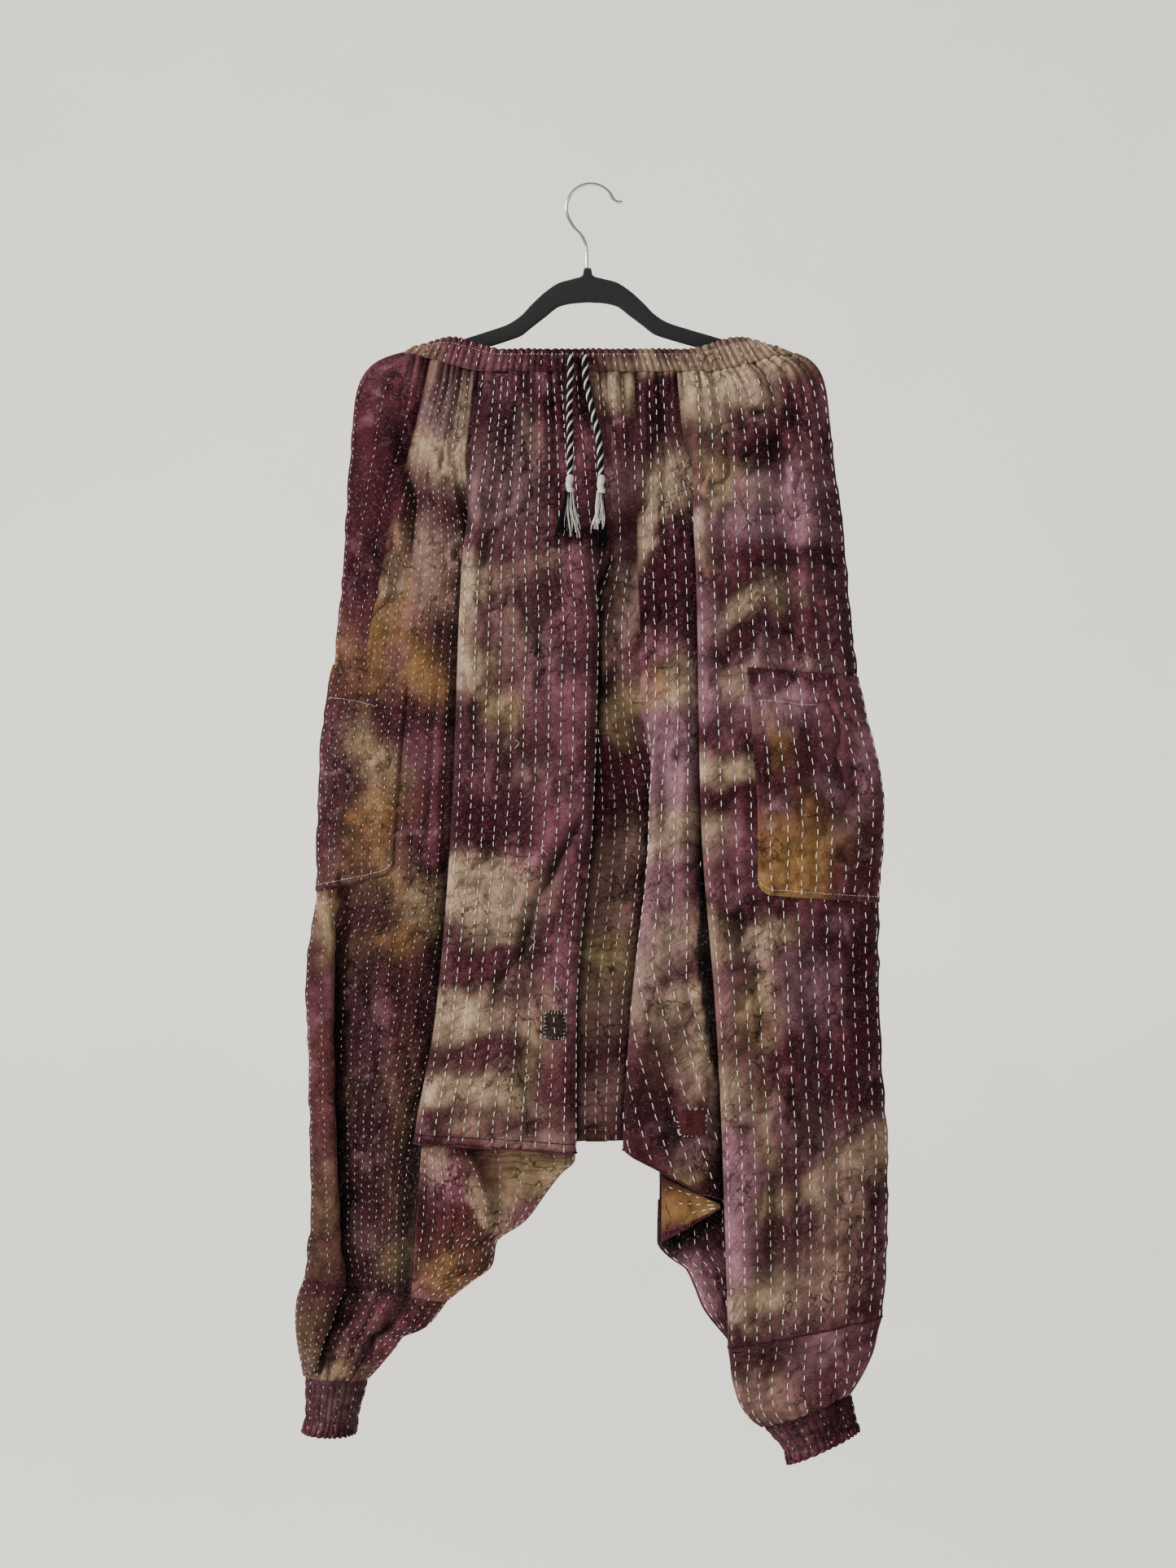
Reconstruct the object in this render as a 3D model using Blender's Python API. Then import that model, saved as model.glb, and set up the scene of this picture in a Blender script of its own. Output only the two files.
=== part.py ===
"""Harem pants of hand-stitched tie-dyed cotton, hung by their waist on a flocked hanger.

The origin is the inside top of the hanger's hook, where a rail or a peg holds it.
X runs to the right as the pants are seen from the front, the front faces -Y, and Z is up.
All sizes below are millimetres. A height is given as a drop, measured down from the origin.
The body of the pants is a ring of cloth: each ring is worked out from the table of
sections, and the table of folds makes the ring double back on itself where a pleat lies.
"""

import math
from collections import namedtuple

import bmesh
import bpy
import numpy as np

MM = 0.001
SHARP_ANGLE = math.radians(45)

# Cloth
WALL = 1.6
SEAM_GAP = 0.4
LAY_GAP = 0.6
POCKET_WALL = 1.4
PATCH_WALL = 1.0

# Hem and seam heights
CASING_DROP = 183.0
LAST_SHARED_DROP = 896.0
CROTCH_DROP = 929.0

Section = namedtuple("Section", "name mid ends left right front back")
SECTIONS = (
    Section("casing", 183, 165.5, -184, 200, 9, 9),
    Section("yoke", 190, 171.5, -203, 213, 11, 11),
    Section("shoulder", 199, 183, -216, 223, 13, 13),
    Section("upper hip", 211, 200, -224, 229, 15, 15),
    Section("hip", 232, 226, -229, 233, 17, 17),
    Section("seat", 270, 270, -232, 238, 20, 19),
    Section("tassel", 330, 330, -236, 246, 23, 21),
    Section("upper thigh", 385, 385, -240, 251, 25, 23),
    Section("pocket mouth", 450, 450, -246, 257, 27, 25),
    Section("pocket", 510, 510, -256, 267, 28, 26),
    Section("pocket middle", 560, 560, -261, 279, 29, 27),
    Section("pocket belly", 611, 611, -262, 286, 30, 28),
    Section("pocket foot", 689, 689, -264, 281, 30, 28),
    Section("knee", 767, 767, -275, 281, 30, 28),
    Section("under knee", 846, 846, -272, 284, 30, 28),
    Section("crotch", 929, 929, -271, 289, 30, 28),
    Section("calf", 1003, 1003, -270, 290, 29, 27),
    Section("leg seam", 1060, 1060, -276, 288, 27, 25),
    Section("leg foot", 1122, 1122, -284, 281, 25, 23),
)

# Each fold's edge at six drops, and the levels of the cloth on its left and on its right.
FOLD_DROPS = (183, 375, 611, 807, 929, 1100)
Fold = namedtuple(
    "Fold",
    "name over waist hip thigh knee hem calf starts full overlap hem_overlap "
    "level_left level_right hem_left hem_right",
)
FOLDS = (
    Fold("side strip", "left", -160, -206, -238, -246.5, -244, -233, 686, 745, 15, 15, 9, -4, 0, 0),
    Fold("left pleat", "right", -105, -122, -131, -147, -168, -180, 260, 380, 22, 7, -3, 9, 926, 926),
    Fold("centre pleat", "left", -5, 9, 3, -13, -13, -13, 350, 440, 20, 16, 12, -10, 935, 926),
    Fold("inner pleat", "right", 50, 54, 58, 40, 33, 33, 500, 620, 14, 12, -10, 5, 926, 933),
    Fold("right pleat", "right", 91, 103, 107.5, 122, 128, 133.5, 232, 350, 18, 16, -3, 12, 989, 989),
)
FOLD_SMOOTH_STEP = 4.0
FOLD_RISE_BEFORE = 60.0
FOLD_RISE_AFTER = 30.0
TURN_ANGLE = math.radians(58)
OVERLAP_NARROWS_FROM = 700.0
PANEL_POINTS = (1, 3, 3, 2, 2, 4)
RIGHT_CENTRE_HEMS = (955, 975)

# The turn of the cloth at either side: its width and how much of the next level shows on it
SIDE_WIDTH = 0.012
SIDE_NEAR = 0.35
LEFT_SIDE_LEVELS = (0.45, 0.8)
RIGHT_SIDE_LEVELS = (0.25, 0.1)
SHOULDER_STARTS = 0.55

# Soft vertical folds that the cloth hangs in, without doubling back.
SoftFold = namedtuple("SoftFold", "side top_x low_x top low rise width")
SOFT_FOLDS = (
    SoftFold("front", -172, -170, 200, 560, -5, 9),
    SoftFold("front", -150, -150, 200, 620, 4, 10),
    SoftFold("front", -92, -60, 200, 520, -4, 9),
    SoftFold("front", -38, -45, 190, 440, -5, 8),
    SoftFold("front", -70, -85, 330, 900, 4, 20),
    SoftFold("front", -52, -70, 600, 900, -5, 14),
    SoftFold("front", 76, 30, 190, 430, -5, 9),
    SoftFold("front", 84, 85, 430, 900, 4, 14),
    SoftFold("front", 150, 165, 200, 480, 4, 12),
    SoftFold("front", 180, 200, 220, 760, -4, 14),
    SoftFold("front", 225, 240, 260, 460, -4, 9),
    SoftFold("front", 190, 215, 560, 1040, 4, 24),
    SoftFold("back", -150, -190, 200, 1000, 6, 16),
    SoftFold("back", -90, -110, 200, 920, -7, 14),
    SoftFold("back", -45, -55, 200, 920, 6, 15),
    SoftFold("back", 5, 0, 220, 920, -8, 15),
    SoftFold("back", 55, 65, 200, 920, 6, 16),
    SoftFold("back", 105, 125, 220, 940, -6, 14),
    SoftFold("back", 160, 205, 200, 1000, 6, 18),
)
SOFT_FADE_BEFORE = 15.0
SOFT_FADE = 60.0

# Columns of the back's centre panel, right to left, at the casing and at the hem, and
# how far forward each comes at the hem, where the back closes against the front
BackColumn = namedtuple("BackColumn", "casing hem forward")
BACK_COLUMNS = (
    BackColumn(105, 152, 0), BackColumn(80, 100, 0), BackColumn(62, 62, 0), BackColumn(46, 44, 1),
    BackColumn(24, 26, 1), BackColumn(6, 8, 1), BackColumn(-14, -11, 0), BackColumn(-34, -34, 0),
    BackColumn(-58, -78, 0), BackColumn(-84, -128, 0), BackColumn(-108, -178, 0),
)
BACK_LEG_POINTS = 4
BRIDGE_STARTS = 830.0
BACK_HEM = 934.0
BRIDGE_HEM = 925.0

BODY_ROWS = (
    183, 190, 199, 211, 232, 256, 278, 298, 318, 340, 362, 384, 410, 440,
    470, 500, 530, 560, 590, 620, 686, 706, 726, 746, 820, 896,
)
# Where a panel is cut into walls: at the seam of either side, and in the two hidden turns of
# the front's inner pleats
WALL_SEAMS = {
    "leg_left": ("side_left",),
    "front_center": ("middle_left", "middle_right"),
    "leg_right": ("side_right",),
    "back_center": (),
}
WALL_NAMES = {
    "leg_left": ("leg_left_back", "leg_left_front"),
    "front_center": ("front_left", "front_recess", "front_right"),
    "leg_right": ("leg_right_front", "leg_right_back"),
    "back_center": ("back_center",),
}
# Rows that a panel leaves out, where none of its own folds turns
ROWS_LEFT_OUT = {
    "leg_left": (410, 470, 530, 560),
    "front_center": (706, 726),
    "leg_right": (362, 410, 470, 530, 560, 706, 726),
    "back_center": (278, 318, 362, 410, 470, 530, 560, 620, 706, 726),
}
LEFT_LEG_ROWS = (929, 965, 1003, 1035)
RIGHT_LEG_ROWS = LEFT_LEG_ROWS + (1072,)

# Inner edge of each leg below the crotch: drop and x
InnerEdge = namedtuple("InnerEdge", "drop x")
LEFT_INNER = (
    InnerEdge(915, -17), InnerEdge(947, -15), InnerEdge(958, -27), InnerEdge(977, -42),
    InnerEdge(1005, -63), InnerEdge(1026, -91), InnerEdge(1048, -95), InnerEdge(1064, -115),
    InnerEdge(1082, -138),
)
RIGHT_INNER = (
    InnerEdge(945, 68), InnerEdge(970, 69), InnerEdge(1027, 68), InnerEdge(1040, 78),
    InnerEdge(1052, 95), InnerEdge(1068, 103), InnerEdge(1090, 112), InnerEdge(1122, 137),
)
# Slanting seam at the foot of each leg: x and drop of its outer and inner ends
SeamEnds = namedtuple("SeamEnds", "left_x left_drop right_x right_drop")
LEFT_SEAM = SeamEnds(-276, 1060, -138, 1082)
RIGHT_SEAM = SeamEnds(137, 1122, 281, 1099)

# Gussets: a fold in the left one at four drops, its points as steps out from its turn and
# as depths from the front seam, and the way that each one's cloth falls back behind the front
GUSSET_FOLD_DROPS = (915, 956, 1003, 1030)
GUSSET_FOLD_X = (-127, -106, -95, -98)
GUSSET_FOLD_ROOM = 16.0
GUSSET_FOLD_FADES = (985, 1035)
GUSSET_FOLD = ((-5, 2.0), (-1.2, 1.0), (0, -1.5), (-1.2, -4.0), (-8, -5.0), (-10.5, -7.5), (-8, -10.0))
GUSSET_FOLD_START = (0.40, 0.7)
GUSSET_FOLD_END = ((0.38, -4.0, -6.0), (0.72, -7.0, -5.0))
RIGHT_GUSSET_FADES = (1010, 1085)
RIGHT_GUSSET_SINK = 12.0
RIGHT_GUSSET_FRONT = ((0.35, -4.0, -0.7), (0.62, -5.5, -0.9), (0.85, -9.0, -1.0))
RIGHT_GUSSET_TURN = (-1.2, -3.6)
GUSSET_EDGE = (2.0, 4.0)
LEFT_GUSSET_MIDDLE = 0.35
RIGHT_GUSSET_MIDDLE = 0.2
GUSSET_ROWS = (0.0, 0.14, 0.30, 0.45, 0.60, 0.75, 0.88, 1.0)
GUSSET_BACK = ((0.16, 0.55), (0.38, 0.9), (0.62, 1.0), (0.84, 1.0))
GussetTop = namedtuple("GussetTop", "front third middle back below_hem")
LEFT_GUSSET_TOP = GussetTop(928.0, 917.0, 917.0, 925.0, 935.5)
RIGHT_GUSSET_TOP = GussetTop(992.5, 970.0, 955.0, 944.0, 935.5)
TUCK = 4.5

# Lower legs: ends of each ring, depth in front and behind, and how far it has become a plain oval
LegRing = namedtuple("LegRing", "left left_drop right right_drop front back plain")
LEFT_SHIN = (
    LegRing(-284, 1085, -151, 1096, 27, 24, 0.10),
    LegRing(-285, 1103, -168, 1110, 29, 26, 0.24),
    LegRing(-284, 1118, -180, 1122, 30, 27, 0.40),
    LegRing(-282, 1132, -191, 1134, 30, 28, 0.58),
    LegRing(-279, 1145, -203, 1146, 30, 29, 0.80),
    LegRing(-277, 1156, -213, 1157, 29, 29, 1.0),
)
RIGHT_SHIN = (
    LegRing(136, 1137, 280, 1115, 26, 24, 0.06),
    LegRing(138, 1154, 277, 1130, 27, 24, 0.25),
    LegRing(145, 1179, 269, 1149, 27, 23, 0.50),
    LegRing(157, 1198, 261, 1163, 25, 21, 0.80),
    LegRing(167, 1206, 255, 1172, 18, 17, 1.0),
)

# Cuffs: ends of each ring and depth
CUFF_GATHERS = 28
CUFF_RUFFLE = 1.3
CUFF_TUCK = 0.5
CUFF_EASE = 0.6
CuffRing = namedtuple("CuffRing", "left left_drop right right_drop front back")
LEFT_CUFF = (
    CuffRing(-274, 1196, -226, 1197, 24, 24),
    CuffRing(-278, 1211, -228, 1212, 26, 26),
)
RIGHT_CUFF = (
    CuffRing(191, 1231, 259, 1203, 14, 14),
    CuffRing(194, 1243, 262, 1211, 16, 16),
)

# Waistband: a gathered casing with a frill above it
WAIST_GATHERS = 104
WAIST_FRONT = 12.1
FRILL_SAG = 160.5
FRILL_HIGH = 148.5
FRILL_ENDS = 157.5
FRILL_RISE_FROM = 0.50
FRILL_RISE_TO = 0.80
FRILL_LEFT = -171.0
FRILL_RIGHT = 182.0
FRILL_DEPTH = 9.5
FRILL_SWELL = 0.08
CASING_GAP = 0.75
CASING_ROWS = (0.0, 0.40, 1.0)
CASING_RUFFLES = (1.9, 1.2, 0.0)

# Patch pockets: outline on the leg panels, in columns of the ring and in drops
Pocket = namedtuple("Pocket", "name inner_x top bottom inner_top inner_bottom back_columns")
POCKETS = (
    Pocket("pocket_left", -187, 466, 686, 488, 668, 3),
    Pocket("pocket_right", 163, 478, 697, 470, 688, 3),
)
POCKET_CORNER = 14.0
POCKET_CORNER_RISE = 0.7
POCKET_CORNER_STEPS = (14.0, 4.0, 0.0)
POCKET_COLUMN_ROOM = 18.2
POCKET_ROW_ROOM = 4.0
POCKET_ROW = 15

Patch = namedtuple("Patch", "name x drop width height")
PATCHES = (
    Patch("patch_left", -32.5, 812, 19, 27),
    Patch("patch_right", 99, 907, 24, 24),
)
PATCH_COLUMNS = (range(4, 10), range(21, 25))

# Drawstring ends and tassels
CORD_DIAMETER = 6.0
CORD_STEP = 20.0
CORD_POINT_STEP = 12.0
CORD_REACH = 9.0
CORD_BEND_STEP = 2.4
CORD_BEND_LENGTH = 14.4
CORD_BEND = ((0.0, 0.0), (3.4, 0.7), (5.8, 3.6), (6.4, 8.5), (6.2, 14.0))
DRAWSTRINGS = {
    "drawstring_left": ((-18, 169), (-18.5, 190), (-19, 225), (-18, 258), (-19, 286)),
    "drawstring_right": ((-4, 169), (-5, 182), (0, 210), (7, 240), (10.5, 265), (11, 286)),
}
CORD_LIFT = 0.8
ROUNDNESS = 2
SWING_FROM = 90.0
SWING_TO = 16.0
FACE_POINTS = 7
FACE_ROWS = 8
FRONT_FACE_FROM = 187.0
TASSEL_RADIUS = 3.6
TASSEL_HEAD_ROWS = ((0.4, 0.75), (2.4, 1.1), (13.0, 1.0), (17.0, 1.25))
TASSEL_CELLS = 4
TASSEL_SKIRT = 46.0
TASSEL_LENGTH = 64.0
TASSEL_SPREAD = {"tassel_left": (-13.0, 10.0), "tassel_right": (-5.0, 5.0)}
STRAND_INSET = 0.34
STRAND_STEPS = 2
STRAND_DEPTH = 1.5
STRAND_UNEVEN = 0.18

# Hanger
HOOK_RADIUS = 22.0
HOOK_CENTRE = (1.5, 22.0)
HOOK_ARC = (200, 22)
HOOK_STEPS = 16
HOOK_SHANK = ((-2.4, 79.6), (-2.4, 70), (-2.8, 60), (-6.5, 50), (-14.5, 41))
HOOK_TIP = ((25.6, 15.2), (29.0, 16.2), (32.5, 15.4))
WIRE_DIAMETER = 3.2
WIRE_POINT_STEP = 6.4
HANGER_THICKNESS = 5.4
HANGER_EDGE = 1.2
HangerStation = namedtuple("HangerStation", "out upper lower")
HANGER_CENTRE = -1.6
HANGER_TILT = 0.012
HANGER_STATIONS = (
    HangerStation(0, 80.0, 113.8), HangerStation(3.4, 80.6, 113.9), HangerStation(4.6, 87.0, 114.0),
    HangerStation(14, 90.5, 114.6), HangerStation(27, 94, 117.4),
    HangerStation(41, 102.8, 127.5), HangerStation(54, 114.6, 137.4), HangerStation(65, 126.0, 145.7),
    HangerStation(77, 133.8, 150.0), HangerStation(98, 141.0, 156.4), HangerStation(124, 149.0, 163.4),
    HangerStation(160, 161.1, 174.0), HangerStation(190, 171.9, 184.4), HangerStation(199, 175.6, 187.4),
)


def smooth(value, low, high):
    """0 below low, 1 above high, and an even S between them."""
    share = np.clip((np.asarray(value, float) - low) / (high - low), 0.0, 1.0)
    return share * share * (3.0 - 2.0 * share)


def steady_curve(at, places, values):
    """A smooth curve through the values that never overshoots them, read at the given places."""
    places = np.asarray(places, float)
    values = np.asarray(values, float)
    at = np.clip(np.asarray(at, float), places[0], places[-1])
    step = np.diff(places)
    rise = np.diff(values) / step
    slope = np.zeros_like(values)
    slope[0], slope[-1] = rise[0], rise[-1]
    same_way = rise[:-1] * rise[1:] > 0
    before, after = step[:-1], step[1:]
    weight_a, weight_b = 2 * after + before, after + 2 * before
    safe = np.where(same_way, rise[:-1] * rise[1:], 1.0)
    middle = (weight_a + weight_b) * safe / (weight_a * rise[1:] + weight_b * rise[:-1] + 1e-30)
    slope[1:-1] = np.where(same_way, middle, 0.0)
    k = np.clip(np.searchsorted(places, at, side="right") - 1, 0, len(step) - 1)
    t = (at - places[k]) / step[k]
    h = step[k]
    return (
        values[k] * (1 + 2 * t) * (1 - t) ** 2
        + slope[k] * h * t * (1 - t) ** 2
        + values[k + 1] * t * t * (3 - 2 * t)
        + slope[k + 1] * h * t * t * (t - 1)
    )


def section_at(mid, column):
    """One column of the sections' table, read at a drop."""
    return float(steady_curve(mid, [s.mid for s in SECTIONS], [getattr(s, column) for s in SECTIONS]))


def base_depth(x, left, right, depth):
    """Depth of the plain oval ring at x: flat across the middle and rounded at its ends."""
    across = np.clip((2 * np.asarray(x, float) - left - right) / (right - left), -1, 1)
    return depth * np.sqrt(1 - across**4)


def soft_depth(side, x, drop):
    """Height of the soft folds above the plain ring."""
    total = np.zeros(np.shape(x))
    for fold in SOFT_FOLDS:
        if fold.side != side:
            continue
        line = fold.top_x + (fold.low_x - fold.top_x) * (drop - fold.top) / (fold.low - fold.top)
        begun = smooth(drop, fold.top - SOFT_FADE_BEFORE, fold.top + SOFT_FADE)
        ended = smooth(drop, fold.low - SOFT_FADE, fold.low)
        total = total + fold.rise * begun * (1 - ended) * np.exp(-(((x - line) / fold.width) ** 2))
    return total


def fold_rise(fold, drop):
    """How much of a fold's levels shows at a drop: all of it by the time the cloth starts to turn."""
    return float(smooth(drop, fold.starts - FOLD_RISE_BEFORE, fold.starts + FOLD_RISE_AFTER))


def fold_points(fold, drop):
    """Six points (x, level) of a fold, left to right along the cloth.

    Where the fold is open they lie on a straight slope. Where it is closed they go round
    its hidden turn and its edge, so that the cloth lies in three layers.
    """
    edge = float(steady_curve(drop, FOLD_DROPS, fold[2:8]))
    shut = float(smooth(drop, fold.starts, fold.full))
    narrowed = float(smooth(drop, OVERLAP_NARROWS_FROM, CROTCH_DROP))
    overlap = fold.overlap + (fold.hem_overlap - fold.overlap) * narrowed
    low, high = sorted((fold.level_left, fold.level_right))
    radius = (high - low) / 4.0
    c, s = radius * math.cos(TURN_ANGLE), radius * math.sin(TURN_ANGLE)
    hidden_turn = overlap - radius
    # These six run from the under layer to the over layer of a fold that opens to the right.
    closed = [
        (hidden_turn + c, low + radius - s),
        (hidden_turn + radius, low + radius),
        (hidden_turn + c, low + radius + s),
        (radius - c, high - radius - s),
        (0.0, high - radius),
        (radius - c, high - radius + s),
    ]
    opened = [((i - 2.5) * FOLD_SMOOTH_STEP, (low + (high - low) * i / 5.0)) for i in range(6)]
    if fold.over == "left":
        closed = [(-x, level) for x, level in reversed(closed)]
        opened = [(-x, level) for x, level in reversed(opened)]
    lifted = fold_rise(fold, drop)
    return [
        (edge + o[0] + (c_[0] - o[0]) * shut, lifted * (o[1] + (c_[1] - o[1]) * shut))
        for o, c_ in zip(opened, closed)
    ]


def front_points(drop, left, right, front):
    """The front of one ring, from its left end to its right end: lists of x and depth, with seams."""
    turns = [fold_points(fold, drop) for fold in FOLDS]
    last_level = FOLDS[-1].level_right * fold_rise(FOLDS[-1], drop)
    side = SIDE_WIDTH * (right - left)
    start_level = turns[0][0][1]
    points = [(left, 0.0)]
    points += [
        (left + side * out, share * start_level) for out, share in zip((SIDE_NEAR, 1.0), LEFT_SIDE_LEVELS)
    ]
    begin = points[-1]
    seams = {}
    for number, turn in enumerate(turns + [None]):
        if turn is None:
            finish = (right - side, RIGHT_SIDE_LEVELS[0] * last_level)
        else:
            finish = turn[0]
        count = PANEL_POINTS[number]
        for i in range(1, count + 1):
            share = i / (count + 1)
            x = begin[0] + (finish[0] - begin[0]) * share
            level = begin[1] + (finish[1] - begin[1]) * share
            points.append((x, level))
        if turn is not None:
            if FOLDS[number].name == "left pleat":
                seams["front_left"] = len(points) + 1
            if FOLDS[number].name == "centre pleat":
                seams["middle_left"] = len(points) + 4
            if FOLDS[number].name == "inner pleat":
                seams["middle_right"] = len(points) + 1
            if FOLDS[number].name == "right pleat":
                seams["front_right"] = len(points) + 1
            points += turn
            begin = turn[-1]
    points += [finish, (right - side * SIDE_NEAR, RIGHT_SIDE_LEVELS[1] * last_level), (right, 0.0)]
    seams["side_left"], seams["side_right"] = 0, len(points) - 1
    x = np.array([p[0] for p in points])
    level = np.array([p[1] for p in points])
    depth = base_depth(x, left, right, front) + level + soft_depth("front", x, drop)
    depth[0] = depth[-1] = 0.0
    return x, depth, seams


def back_points(drop, left, right, back):
    """The back of one ring, from its right end to its left end, without the ends themselves."""
    share = float(smooth(drop, CASING_DROP, CROTCH_DROP))
    columns = [c.casing + (c.hem - c.casing) * share for c in BACK_COLUMNS]
    side = SIDE_WIDTH * (right - left)
    steps = [i / (BACK_LEG_POINTS + 1) for i in range(1, BACK_LEG_POINTS + 1)]
    x = [right - side * SIDE_NEAR, right - side]
    x += [right - side + (columns[0] - right + side) * step for step in steps]
    right_at = len(x)
    x += columns
    left_at = len(x) - 1
    x += [columns[-1] + (left + side - columns[-1]) * step for step in steps]
    x += [left + side, left + side * SIDE_NEAR]
    x = np.array(x)
    depth = -base_depth(x, left, right, back) - soft_depth("back", x, drop)
    return x, depth, right_at, left_at


def body_ring(mid):
    """One closed ring of the pants as points (x, depth, drop), and the columns of its four seams.

    The ring's ends lie higher than its middle near the waist, where they hang over the hanger.
    """
    left, right = section_at(mid, "left"), section_at(mid, "right")
    front, back = section_at(mid, "front"), section_at(mid, "back")
    ends = section_at(mid, "ends")
    fx, fd, seams = front_points(mid, left, right, front)
    bx, bd, right_at, left_at = back_points(mid, left, right, back)
    seams["back_right"] = len(fx) + right_at
    seams["back_left"] = len(fx) + left_at
    x = np.concatenate([fx, bx])
    depth = np.concatenate([fd, bd])
    across = np.abs((2 * x - left - right) / (right - left))
    drop = mid + (ends - mid) * smooth(across, SHOULDER_STARTS, 1.0)
    return np.stack([x, depth, drop], axis=1), seams


def to_world(points):
    """Points (x, depth, drop) in millimetres as points in metres, with the front facing -Y."""
    points = np.asarray(points, float)
    return np.stack([points[..., 0], -points[..., 1], -points[..., 2]], axis=-1) * MM


def grid_normals(grid, closed):
    """Outward unit normals of a grid whose rows run down and whose columns run left to right in front."""
    down = np.gradient(grid, axis=0)
    if closed:
        along = np.roll(grid, -1, axis=1) - np.roll(grid, 1, axis=1)
    else:
        along = np.gradient(grid, axis=1)
    return unit(np.cross(down, along))


def make_object(name, points, faces, finish):
    """A mesh object with one material, its points in metres."""
    mesh = bpy.data.meshes.new(name)
    mesh.from_pydata([tuple(p) for p in points], [], [tuple(f) for f in faces])
    mesh.validate()
    mesh.shade_smooth()
    mesh.set_sharp_from_angle(angle=SHARP_ANGLE)
    mesh.materials.append(finish)
    obj = bpy.data.objects.new(name, mesh)
    bpy.context.scene.collection.objects.link(obj)
    return obj


def wall_faces(rows, columns, closed):
    """Triangles of a closed wall: its outer grid, its inner grid, and the rims between them."""
    inner = rows * columns
    faces = []
    last = columns if closed else columns - 1

    def at(row, column):
        return row * columns + column % columns

    for row in range(rows - 1):
        for column in range(last):
            a, b = at(row, column), at(row, column + 1)
            c, d = at(row + 1, column + 1), at(row + 1, column)
            faces += [(d, c, b), (d, b, a)]
            faces += [(b + inner, c + inner, d + inner), (a + inner, b + inner, d + inner)]
    for column in range(last):
        a, b = at(0, column), at(0, column + 1)
        faces += [(a, b, b + inner), (a, b + inner, a + inner)]
        a, b = at(rows - 1, column), at(rows - 1, column + 1)
        faces += [(b, a, a + inner), (b, a + inner, b + inner)]
    if not closed:
        for row in range(rows - 1):
            a, b = at(row, 0), at(row + 1, 0)
            faces += [(b, a, a + inner), (b, a + inner, b + inner)]
            a, b = at(row, columns - 1), at(row + 1, columns - 1)
            faces += [(a, b, b + inner), (a, b + inner, a + inner)]
    return faces


def wall(name, grid, normals, finish, thickness=WALL, closed=False, lift=0.0, ruffle=None):
    """A cloth wall about a grid of middle points, moved out along the normals by lift.

    A ruffle stands the outer points further out, over the plain inside.
    """
    rows, columns = grid.shape[:2]
    outer = grid + normals * (lift + thickness / 2)
    if ruffle is not None:
        outer = outer + normals * ruffle[..., None]
    inner = grid + normals * (lift - thickness / 2)
    points = to_world(np.concatenate([outer.reshape(-1, 3), inner.reshape(-1, 3)]))
    return make_object(name, points, wall_faces(rows, columns, closed), finish)


def material(name, colour, roughness, metallic=0.0):
    """A Principled BSDF material."""
    made = bpy.data.materials.new(name)
    made.use_nodes = True
    shader = made.node_tree.nodes["Principled BSDF"]
    shader.inputs["Base Color"].default_value = (*colour, 1.0)
    shader.inputs["Roughness"].default_value = roughness
    shader.inputs["Metallic"].default_value = metallic
    return made


def pulled_in(grid):
    """The grid with its first and last columns pulled in a little, which leaves the gap of a seam."""
    grid = grid.copy()
    for column, towards in ((0, 1), (-1, -2)):
        grid[:, column] += unit(grid[:, towards] - grid[:, column]) * (SEAM_GAP / 2)
    return grid


def front_hems(seams):
    """The drop of the front's hem at each column of the front centre panel."""
    hems = []
    start = FOLDS[1]
    hems += [start.hem_left] + [start.hem_right] * 4
    panels = PANEL_POINTS[2:5]
    for number, fold in enumerate(FOLDS[2:]):
        before = FOLDS[number + 1].hem_right
        for i in range(1, panels[number] + 1):
            share = i / (panels[number] + 1)
            hems.append(before + (fold.hem_left - before) * share)
        if fold.name == "right pleat":
            hems[-len(RIGHT_CENTRE_HEMS):] = list(RIGHT_CENTRE_HEMS)
            hems += [fold.hem_left, fold.hem_left]
        else:
            hems += [fold.hem_left] * 3 + [fold.hem_right] * 3
    if len(hems) != seams["front_right"] - seams["front_left"] + 1:
        raise ValueError("the hem has a drop for every column")
    return np.array(hems, float)


def ring_columns(rows, chosen):
    """The chosen columns of the body's rings at these drops, as a grid."""
    return np.array([body_ring(drop)[0][chosen] for drop in rows])


def at_drops(chosen, drops):
    """Points of the chosen columns, each at a drop of its own."""
    return np.array([body_ring(drop)[0][column] for column, drop in zip(chosen, drops)])


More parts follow.
